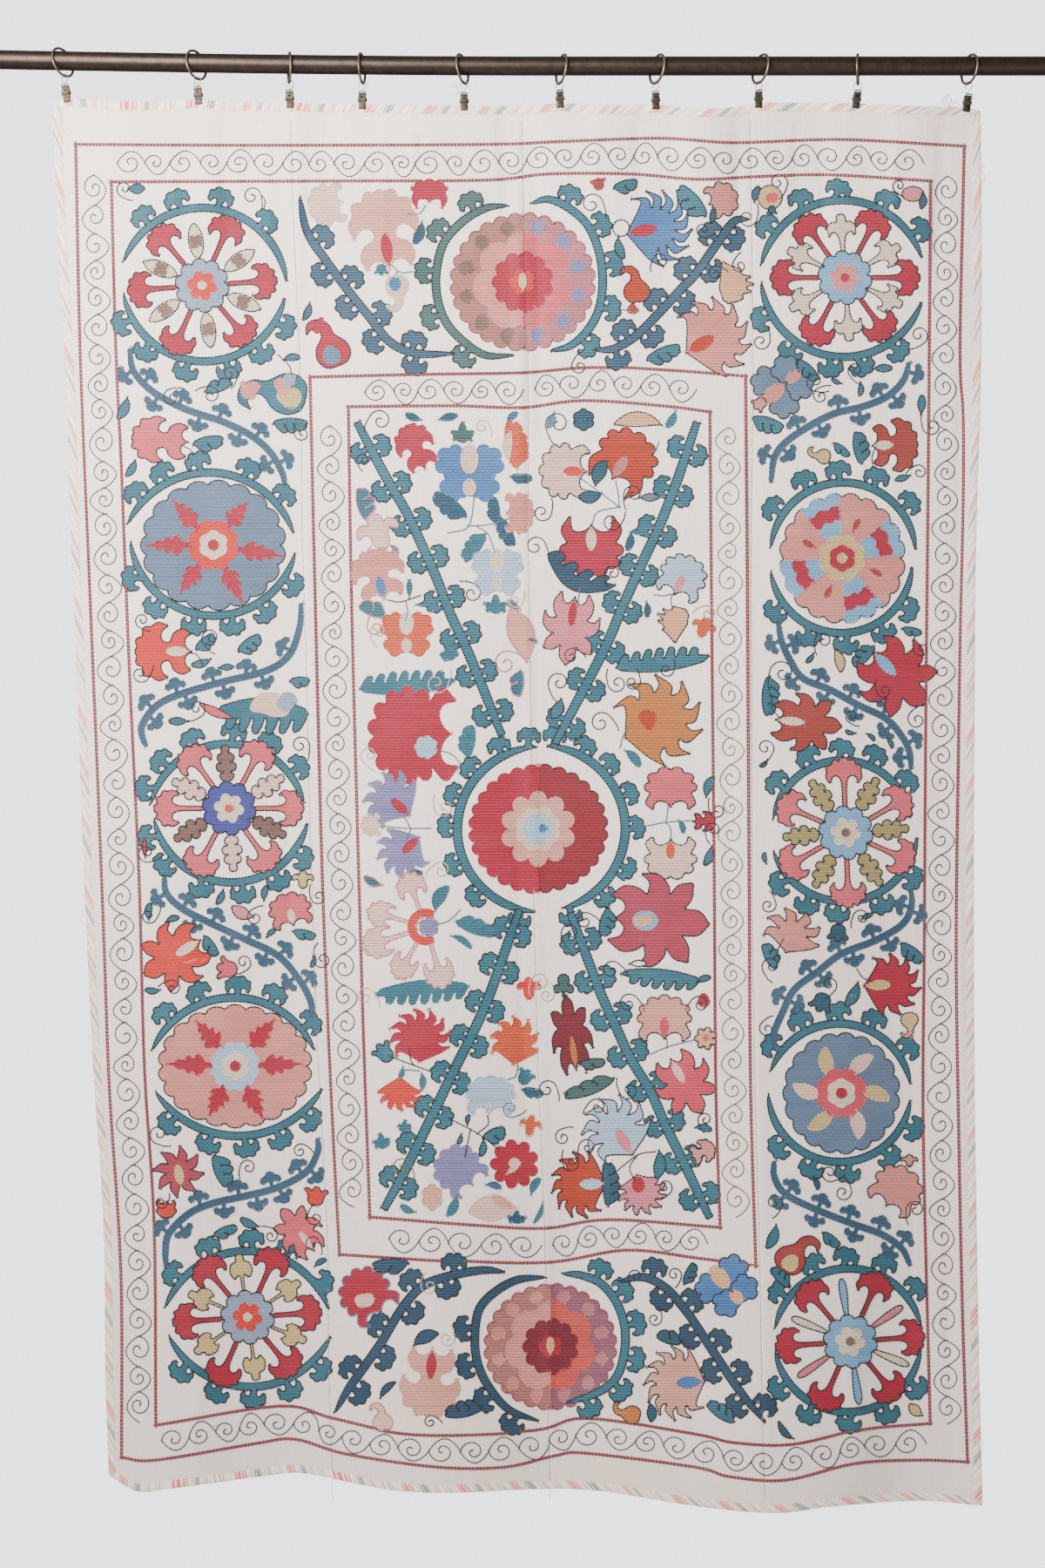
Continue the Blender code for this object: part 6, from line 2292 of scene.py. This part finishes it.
# %% Loose ends
for colour, pixels in (
    ("pale_thread", ((66, 130), (72, 137), (69, 146), (75, 152))),
    ("pale_thread", ((1130, 190), (1124, 197), (1127, 206), (1121, 214))),
    ("pale_thread", ((1127, 196), (1131, 204), (1126, 212))),
    ("pale_thread", ((1088, 108), (1086, 114), (1089, 121))), ("pale_thread", ((1090, 108),
        (1092, 115), (1088, 122))),
    ("pale_thread", ((1086, 109), (1082, 114), (1084, 119))), ("navy", ((1093, 117), (1096, 118))),
    ("navy", ((1098, 116), (1101, 119))), ("pale_thread", ((520, 96), (526, 101), (524, 108))),
):
    sew([line(colour, photo_path(pixels), "loose")])
print("fills:", len(FILLS), "lines:", len(LINES))

# %% [markdown]
# Now the drawing becomes thread. A filled shape in this craft is a field of laid threads: each one
# runs across the shape, and small stitches tie it down. So every shape is cut into level rows, one
# for each laid thread. Where shapes overlap, the later one wins the row, as no embroiderer sews
# under another colour. A row stops at a seam, because each panel was sewn before the joining.

# %% Cut the shapes into rows
ROW_PITCH = (2.9, 3.8, 3.8, 2.9)
PANEL_DROP = (0.0, 1.2, 0.0, 1.1)
SEAM_KEEP = 0.02
SHORTEST_ROW = 1.2
RAGGED = 0.4
PANEL_CUTS = (0.0, *SEAM_SHARES, 1.0)
rng = random.Random(11)


def crossings(outline, level):
    """Where a closed outline crosses a level line, from left to right."""
    ahead = np.roll(outline, -1)
    cut = (outline.imag <= level) != (ahead.imag <= level)
    here, there = outline[cut], ahead[cut]
    return np.sort(here.real + (level - here.imag) * (there.real - here.real) / (there.imag - here.imag))


def without(spans, covered):
    for low, high in covered:
        parts = [part for a, b in spans for part in ((a, min(b, low)), (max(a, high), b))]
        spans = [part for part in parts if part[1] > part[0]]
    return spans


def cut_panel(panel):
    """The rows of one panel: colour, start, end, level and whether the thread lies between two ribs."""
    pitch, levels = ROW_PITCH[panel] / 2, {}
    for colour, outline, edge, _ in FILLS:
        outline = outline - 1j * PANEL_DROP[panel]
        first = math.ceil(outline.imag.min() / pitch)
        for k in range(first, math.floor(outline.imag.max() / pitch) + 1):
            levels.setdefault(k, []).append((colour, crossings(outline, (k + 0.01) * pitch), edge))
    rows = []
    for k, shapes in sorted(levels.items()):
        level = k * pitch
        left = float(seam_across(PANEL_CUTS[panel], -level)) + SEAM_KEEP
        right = float(seam_across(PANEL_CUTS[panel + 1], -level)) - SEAM_KEEP
        covered = []
        for colour, spots, edge in reversed(shapes):
            loose = 0.0 if edge else RAGGED
            spans = [
                (max(a - rng.uniform(0, loose), left), min(b + rng.uniform(0, loose), right))
                for a, b in zip(spots[::2], spots[1::2])
            ]
            spans = [span for span in spans if span[1] > span[0]]
            for a, b in without(spans, covered):
                if b - a > SHORTEST_ROW and colour:
                    rows.append((colour, a, b, level, k % 2))
            covered += spans
    return rows


panel_rows = [cut_panel(panel) for panel in range(4)]
print("laid threads in each panel:", [len(rows) for rows in panel_rows])

# %% [markdown]
# Outlines, borders and tendrils are chain stitch, a line of small loops. A line is sampled at short
# steps, and the samples that a later shape covers are dropped, which leaves the runs that show.

# %% Keep the stretches of line that show
LINE_STEP = 1.6


def inside(points, outline):
    ahead = np.roll(outline, -1)
    level = points.imag[:, None]
    rise = np.where(ahead.imag == outline.imag, 1.0, ahead.imag - outline.imag)
    meets = outline.real + (level - outline.imag) * (ahead.real - outline.real) / rise
    crossed = ((outline.imag <= level) != (ahead.imag <= level)) & (points.real[:, None] < meets)
    return crossed.sum(1) % 2 == 1


def box_of(points):
    return points.real.min(), points.imag.min(), points.real.max(), points.imag.max()


def shown_runs(points, closed, later, boxes, union):
    samples = evenly(points, LINE_STEP, closed)
    low_x, low_y, high_x, high_y = box_of(samples)
    near = (boxes[:, 0] < high_x) & (boxes[:, 2] > low_x) & (boxes[:, 1] < high_y) & (boxes[:, 3] > low_y)
    shows = np.ones(len(samples), bool)
    for i in np.nonzero(near)[0]:
        if i >= later or (union and FILLS[i][3] == union and i != later - 1):
            shows &= ~inside(samples, FILLS[i][1])
    runs, run = [], []
    for spot, shown in zip(samples, shows):
        if shown:
            run.append(spot)
        elif run:
            runs.append(run)
            run = []
    return [run for run in [*runs, run] if len(run) > 2]


def panel_of(spot):
    seams = [float(seam_across(share, -spot.imag)) for share in SEAM_SHARES]
    return sum(spot.real > seam for seam in seams)


def gather_lines():
    """All runs of line that show, by colour, kind and panel. A shape without an edge gets a thin rim."""
    boxes = np.array([box_of(outline) for _, outline, _, _ in FILLS])
    gathered = {}
    paths = [
        (edge or colour, "outline" if edge else "rim", outline, True, i + 1, union)
        for i, (colour, outline, edge, union) in enumerate(FILLS) if edge or colour
    ]
    paths += [(colour, kind, points, False, later, 0) for colour, kind, points, later in LINES]
    for colour, kind, points, closed, later, union in paths:
        for run in shown_runs(points, closed, later, boxes, union):
            panel = panel_of(run[len(run) // 2])
            gathered.setdefault((colour, kind, panel), []).append(np.array(run) - 1j * PANEL_DROP[panel])
    return gathered


line_runs = gather_lines()
print("runs of line:", sum(len(runs) for runs in line_runs.values()))

# %% [markdown]
# Two node trees turn these plain lines into thread. The first sweeps a low section along each row,
# which makes a laid thread. The second walks along a line in even steps and sets one small pointed
# grain at each, turned the way the line goes, which makes a chain stitch. Both get their sizes as
# named inputs and end with real faces and a finish, so that what leaves them is a plain mesh.

# %% Helpers for geometry trees
GEOMETRY, FLOAT, FINISH = "NodeSocketGeometry", "NodeSocketFloat", "NodeSocketMaterial"
TWIST_SEED = 7


def geometry_tree(name, sizes):
    tree = bpy.data.node_groups.new(name, "GeometryNodeTree")
    tree.interface.new_socket("Lines", in_out="INPUT", socket_type=GEOMETRY)
    for label in sizes:
        tree.interface.new_socket(label, in_out="INPUT", socket_type=FLOAT)
    tree.interface.new_socket("Finish", in_out="INPUT", socket_type=FINISH)
    tree.interface.new_socket("Thread", in_out="OUTPUT", socket_type=GEOMETRY)
    return tree, tree.nodes.new("NodeGroupInput").outputs, tree.nodes.new("NodeGroupOutput").inputs


def half(tree, value):
    return arithmetic(tree, "MULTIPLY", value, 0.5)


def end_tree(tree, given, out, geometry):
    real = add_node(tree, "GeometryNodeRealizeInstances", Geometry=geometry)
    smooth = add_node(tree, "GeometryNodeSetShadeSmooth", Geometry=real)
    finished = add_node(tree, "GeometryNodeSetMaterial", Geometry=smooth, Material=given["Finish"])
    tree.links.new(finished.outputs[0], out["Thread"])
    return tree


# %% The two trees


def build_laid_thread():
    """Sweeps a section with three corners along level lines, with its ridge away from the cloth."""
    tree, given, out = geometry_tree("laid thread", ("Wide", "High"))
    line = add_node(tree, "GeometryNodeMeshToCurve", Mesh=given["Lines"])
    steady = add_node(tree, "GeometryNodeSetCurveNormal", {"mode": "Z_UP"}, Curve=line)
    corners = add_node(tree, "GeometryNodeCurvePrimitiveCircle", Resolution=3, Radius=1.0)
    base = arithmetic(tree, "MULTIPLY", given["Wide"], math.sqrt(1 / 3))
    shape = add_node(tree, "ShaderNodeCombineXYZ", X=half(tree, given["High"]), Y=base, Z=1.0)
    section = add_node(tree, "GeometryNodeTransform", Geometry=corners, Scale=shape)
    swept = add_node(
        tree, "GeometryNodeCurveToMesh", Curve=steady, Profile_Curve=section, Fill_Caps=True
    )
    return end_tree(tree, given, out, swept)


def build_chain_stitch():
    """Sets a pointed grain with six corners at even steps along each line."""
    tree, given, out = geometry_tree("chain stitch", ("Step", "Wide", "High", "Twist"))
    line = add_node(tree, "GeometryNodeMeshToCurve", Mesh=given["Lines"])
    even = add_node(
        tree, "GeometryNodeResampleCurve", {"mode": "LENGTH"}, Curve=line, Length=given["Step"]
    )
    grain = add_node(tree, "GeometryNodeMeshUVSphere", Segments=4, Rings=2, Radius=1.0)
    long = arithmetic(tree, "MULTIPLY", given["Step"], 0.92)
    wide, high = half(tree, given["Wide"]), half(tree, given["High"])
    shape = add_node(tree, "ShaderNodeCombineXYZ", X=long, Y=wide, Z=high)
    sized = add_node(tree, "GeometryNodeTransform", Geometry=grain, Scale=shape)
    tangent = tree.nodes.new("GeometryNodeInputTangent")
    along = add_node(tree, "FunctionNodeAlignRotationToVector", {"axis": "X"}, Vector=tangent)
    facing = add_node(
        tree, "FunctionNodeAlignRotationToVector", {"axis": "Z", "pivot_axis": "X"}, Rotation=along,
        Vector=(0.0, -1.0, 0.0),
    )
    chance = add_node(tree, "FunctionNodeRandomValue", {"data_type": "FLOAT"})
    chance.inputs[2].default_value, chance.inputs[3].default_value = -1.0, 1.0
    chance.inputs["Seed"].default_value = TWIST_SEED
    turn = arithmetic(tree, "MULTIPLY", chance.outputs[1], given["Twist"])
    twist = add_node(tree, "ShaderNodeCombineXYZ", X=0.0, Y=0.0, Z=turn)
    turned = add_node(
        tree, "FunctionNodeRotateRotation", {"rotation_space": "LOCAL"}, i0=facing, i1=twist
    )
    stitches = add_node(
        tree, "GeometryNodeInstanceOnPoints", Points=even, Instance=sized, Rotation=turned
    )
    return end_tree(tree, given, out, stitches)


LAID_THREAD, CHAIN_STITCH = build_laid_thread(), build_chain_stitch()


def grow(name, tree, lines, finish, **sizes):
    """Runs a geometry tree over lines of points and gives the result as a plain mesh."""
    points = np.concatenate(lines)
    edges, start = [], 0
    for line in lines:
        edges += [(i, i + 1) for i in range(start, start + len(line) - 1)]
        start += len(line)
    seed = bpy.data.meshes.new(name)
    seed.from_pydata(points.tolist(), edges, [])
    holder = bpy.data.objects.new(name, seed)
    scene.collection.objects.link(holder)
    grown = holder.modifiers.new("thread", "NODES")
    grown.node_group = tree
    values = {label: size if label == "Twist" else size * MM for label, size in sizes.items()}
    values["Finish"] = finish
    for item in tree.interface.items_tree:
        if item.in_out == "INPUT" and item.name in values:
            grown[item.identifier] = values[item.name]
    bpy.context.view_layer.update()
    ready = holder.evaluated_get(bpy.context.evaluated_depsgraph_get())
    mesh = bpy.data.meshes.new_from_object(ready)
    holder.modifiers.clear()
    bpy.data.objects.remove(holder)
    return mesh


def join_thread(name, meshes, finish):
    """Makes one piece of all the thread of one colour."""
    joined, painted_shades = bmesh.new(), []
    for mesh, shade in meshes:
        joined.from_mesh(mesh)
        painted_shades.append(np.full(len(mesh.vertices), shade))
        bpy.data.meshes.remove(mesh)
    whole = bpy.data.meshes.new(name)
    joined.to_mesh(whole)
    joined.free()
    # The shade value of each point is painted shade: below one on the threads that sink between the ribs,
    # one elsewhere.
    whole.attributes.new("shade", "FLOAT", "POINT").data.foreach_set("value", np.concatenate(painted_shades))
    whole.materials.append(finish)
    piece = bpy.data.objects.new(name, whole)
    scene.collection.objects.link(piece)
    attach(piece, "root")
    print(piece.name, triangles(piece), "triangles")


# %% [markdown]
# Silk keeps its colour unevenly: it fades in patches, each laid thread takes the dye a little
# differently, and the tie-down stitches show as faint ticks across it. The group draws all three
# from the place on the cloth, and every thread colour uses it with its own values. The threads that
# lie between two ribs are darker too: a painted shade for the hollow between the ribs, which the
# mesh carries from point to point as its shade value.

# %% The thread group and the thread colours
THREAD_ROW = 0.0038
TICK_STEP, TICK_SHARE, TICK_SHIFT, TICKS = 0.0062, 0.86, 0.381, 0.22


def build_thread_group():
    tree, given, out = new_group(
        "dyed thread",
        {
            "Place": (0.0, 0.0, 0.0), "Colour": (0.5, 0.1, 0.1, 1.0), "Faded": (0.7, 0.4, 0.4, 1.0),
            "Fading": 0.5, "Row": THREAD_ROW, "Ticks": TICKS,
        },
        {"Colour": COLOUR, "Roughness": VALUE, "Height": VALUE},
    )
    patch = add_node(tree, "ShaderNodeTexNoise", Vector=given["Place"], Scale=16.0, Detail=3.0).outputs[0]
    share = arithmetic(tree, "MULTIPLY", arithmetic(tree, "SUBTRACT", patch, 0.38), 2.2, True)
    fade = arithmetic(tree, "MULTIPLY", share, given["Fading"])
    apart = add_node(tree, "ShaderNodeSeparateXYZ", Vector=given["Place"])
    row = arithmetic(tree, "ROUND", arithmetic(tree, "DIVIDE", apart.outputs["Z"], given["Row"]))
    slow = arithmetic(tree, "MULTIPLY", apart.outputs["X"], 9.0)
    lone = add_node(tree, "ShaderNodeCombineXYZ", X=slow, Z=row)
    dye = add_node(tree, "ShaderNodeTexNoise", Vector=lone, Scale=0.83, Detail=1.0).outputs[0]
    tone = arithmetic(tree, "ADD", arithmetic(tree, "MULTIPLY", dye, 0.34), 0.83)
    shifted = arithmetic(tree, "FRACT", arithmetic(tree, "MULTIPLY", row, TICK_SHIFT))
    steps = arithmetic(tree, "DIVIDE", apart.outputs["X"], TICK_STEP)
    tick_place = arithmetic(tree, "ADD", steps, shifted)
    tick = arithmetic(tree, "GREATER_THAN", arithmetic(tree, "FRACT", tick_place), TICK_SHARE)
    darker = arithmetic(tree, "SUBTRACT", 1.0, arithmetic(tree, "MULTIPLY", tick, given["Ticks"]))
    faded = mixed(tree, fade, given["Colour"], given["Faded"])
    shade = arithmetic(tree, "MULTIPLY", tone, darker)
    tree.links.new(mixed(tree, 1.0, faded, shade, "MULTIPLY"), out["Colour"])
    fibre_place = scaled_place(tree, given["Place"], (900.0, 900.0, 2600.0))
    fibre = add_node(tree, "ShaderNodeTexNoise", Vector=fibre_place, Scale=1.0, Detail=2.0).outputs[0]
    rough = arithmetic(tree, "ADD", 0.52, arithmetic(tree, "MULTIPLY", fibre, 0.2))
    tree.links.new(rough, out["Roughness"])
    height = arithmetic(tree, "SUBTRACT", fibre, arithmetic(tree, "MULTIPLY", tick, 0.8))
    tree.links.new(height, out["Height"])
    return tree


DYED = build_thread_group()
DEPTH, STRENGTH = 1.30, 0.80


def deepened(code):
    """The colour of a thick silk thread, in which light sinks deeper than in a flat patch of the dye."""
    return tuple(STRENGTH * part**DEPTH for part in linear(code)[:3]) + (1.0,)


def thread_finish(colour):
    code, faded, fading = THREADS[colour]
    made, tree, shader = finish_of(f"thread {colour}")
    dyed = use_group(
        tree, DYED, Place=object_place(tree), Colour=deepened(code), Faded=deepened(faded), Fading=fading,
        Row=THREAD_ROW, Ticks=TICKS,
    )
    # The shade value darkens the threads between the ribs: painted shade for the hollows between them.
    shade = add_node(tree, "ShaderNodeAttribute", {"attribute_name": "shade"}).outputs["Fac"]
    tree.links.new(mixed(tree, 1.0, dyed["Colour"], shade, "MULTIPLY"), shader.inputs["Base Color"])
    tree.links.new(dyed["Roughness"], shader.inputs["Roughness"])
    shader.inputs["Sheen Weight"].default_value = 0.12
    shader.inputs["Specular IOR Level"].default_value = 0.35
    bumped(tree, shader, dyed["Height"], 0.00025, 0.6)
    return made


# %% Lay the threads
THREAD_SPAN = 2.6
STRAY = 0.13
# Ribs and the threads between them: lift over the cloth, height, width as a share of the rib pitch
LAID_KINDS = ((0.80, 1.15, 0.70), (0.62, 0.7, 0.62))
# How far the threads between the ribs are darkened: painted shade for their hollows.
LOW_ROW_PAINTED_SHADE = 0.68


def thinned(across, out):
    """Leaves out the points that a straight thread between its neighbours would pass closely."""
    kept = [0]
    for i in range(1, len(across) - 1):
        here = kept[-1]
        share = (across[here + 1 : i + 1] - across[here]) / (across[i + 1] - across[here])
        if np.abs(out[here] + share * (out[i + 1] - out[here]) - out[here + 1 : i + 1]).max() > STRAY:
            kept.append(i)
    return across[[*kept, len(across) - 1]]


def lay_threads():
    """The meshes of laid thread, by colour."""
    by_kind = {}
    for panel, rows in enumerate(panel_rows):
        samples = [
            np.linspace(a, b, max(round((b - a) / THREAD_SPAN), 1) + 1) for _, a, b, _, _ in rows
        ]
        drops = [np.full(len(across), -row[3]) for across, row in zip(samples, rows)]
        cuts = np.cumsum([len(across) for across in samples])[:-1]
        outs = np.split(forward(np.concatenate(samples), np.concatenate(drops)), cuts)
        for (colour, _, _, level, low), samples_across, out in zip(rows, samples, outs):
            across = thinned(samples_across, out)
            kind = colour, ROW_PITCH[panel], low
            by_kind.setdefault(kind, []).append((across, np.full(len(across), -level)))
    laid = {}
    for (colour, pitch, low), rows in sorted(by_kind.items()):
        lift, high, share = LAID_KINDS[low]
        sizes = [len(across) for across, _ in rows]
        all_across, all_drops = (np.concatenate(values) for values in zip(*rows))
        spots = on_cloth(all_across, all_drops, lift)
        lines = np.split(spots, np.cumsum(sizes)[:-1])
        mesh = grow(colour, LAID_THREAD, lines, SILK[colour], Wide=pitch * share, High=high)
        # Threads between the ribs carry painted shade; ribs and lines carry none.
        laid.setdefault(colour, []).append((mesh, LOW_ROW_PAINTED_SHADE if low else 1.0))
    return laid


# %% Sew the lines
# Each kind of line: stitch step, width, height, turn of a stitch either way in radians
LINE_KINDS = {
    "outline": (4.1, 2.4, 1.4, 0.06),
    "rim": (5.4, 1.8, 1.0, 0.04),
    "frame": (4.8, 2.7, 1.5, 0.05),
    "scroll": (3.5, 2.0, 1.1, 0.05),
    "tendril": (3.3, 2.2, 1.3, 0.05),
    "seam": (6.5, 0.9, 0.8, 0.15),
    "loose": (2.6, 1.3, 0.9, 0.30),
}
LINE_LIFT = 1.05


def sew_lines():
    """The meshes of sewn line, by colour and, for the long dark outlines, by panel."""
    sewn = {}
    for (colour, kind, panel), runs in sorted(line_runs.items()):
        step, wide, high, twist = LINE_KINDS[kind]
        spots = np.concatenate(runs)
        placed = on_cloth(spots.real, -spots.imag, LINE_LIFT)
        lines = np.split(placed, np.cumsum([len(run) for run in runs])[:-1])
        sizes = {"Step": step, "Wide": wide, "High": high, "Twist": twist}
        mesh = grow(colour, CHAIN_STITCH, lines, SILK[colour], **sizes)
        sewn.setdefault((colour, panel + 1 if colour == "navy" else 0), []).append((mesh, 1.0))
    return sewn


SILK = {colour: thread_finish(colour) for colour in THREADS}
laid, sewn = lay_threads(), sew_lines()
for colour in THREADS:
    for panel in range(5):
        meshes = sewn.get((colour, panel), []) + (laid.get(colour, []) if panel == 0 else [])
        if meshes:
            join_thread(f"silk_{colour}_{panel}" if panel else f"silk_{colour}", meshes, SILK[colour])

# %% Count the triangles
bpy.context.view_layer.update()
shown = [piece for piece in bpy.data.objects if piece.type == "MESH" and not piece.hide_render]
print("triangles in all:", sum(triangles(piece) for piece in shown))
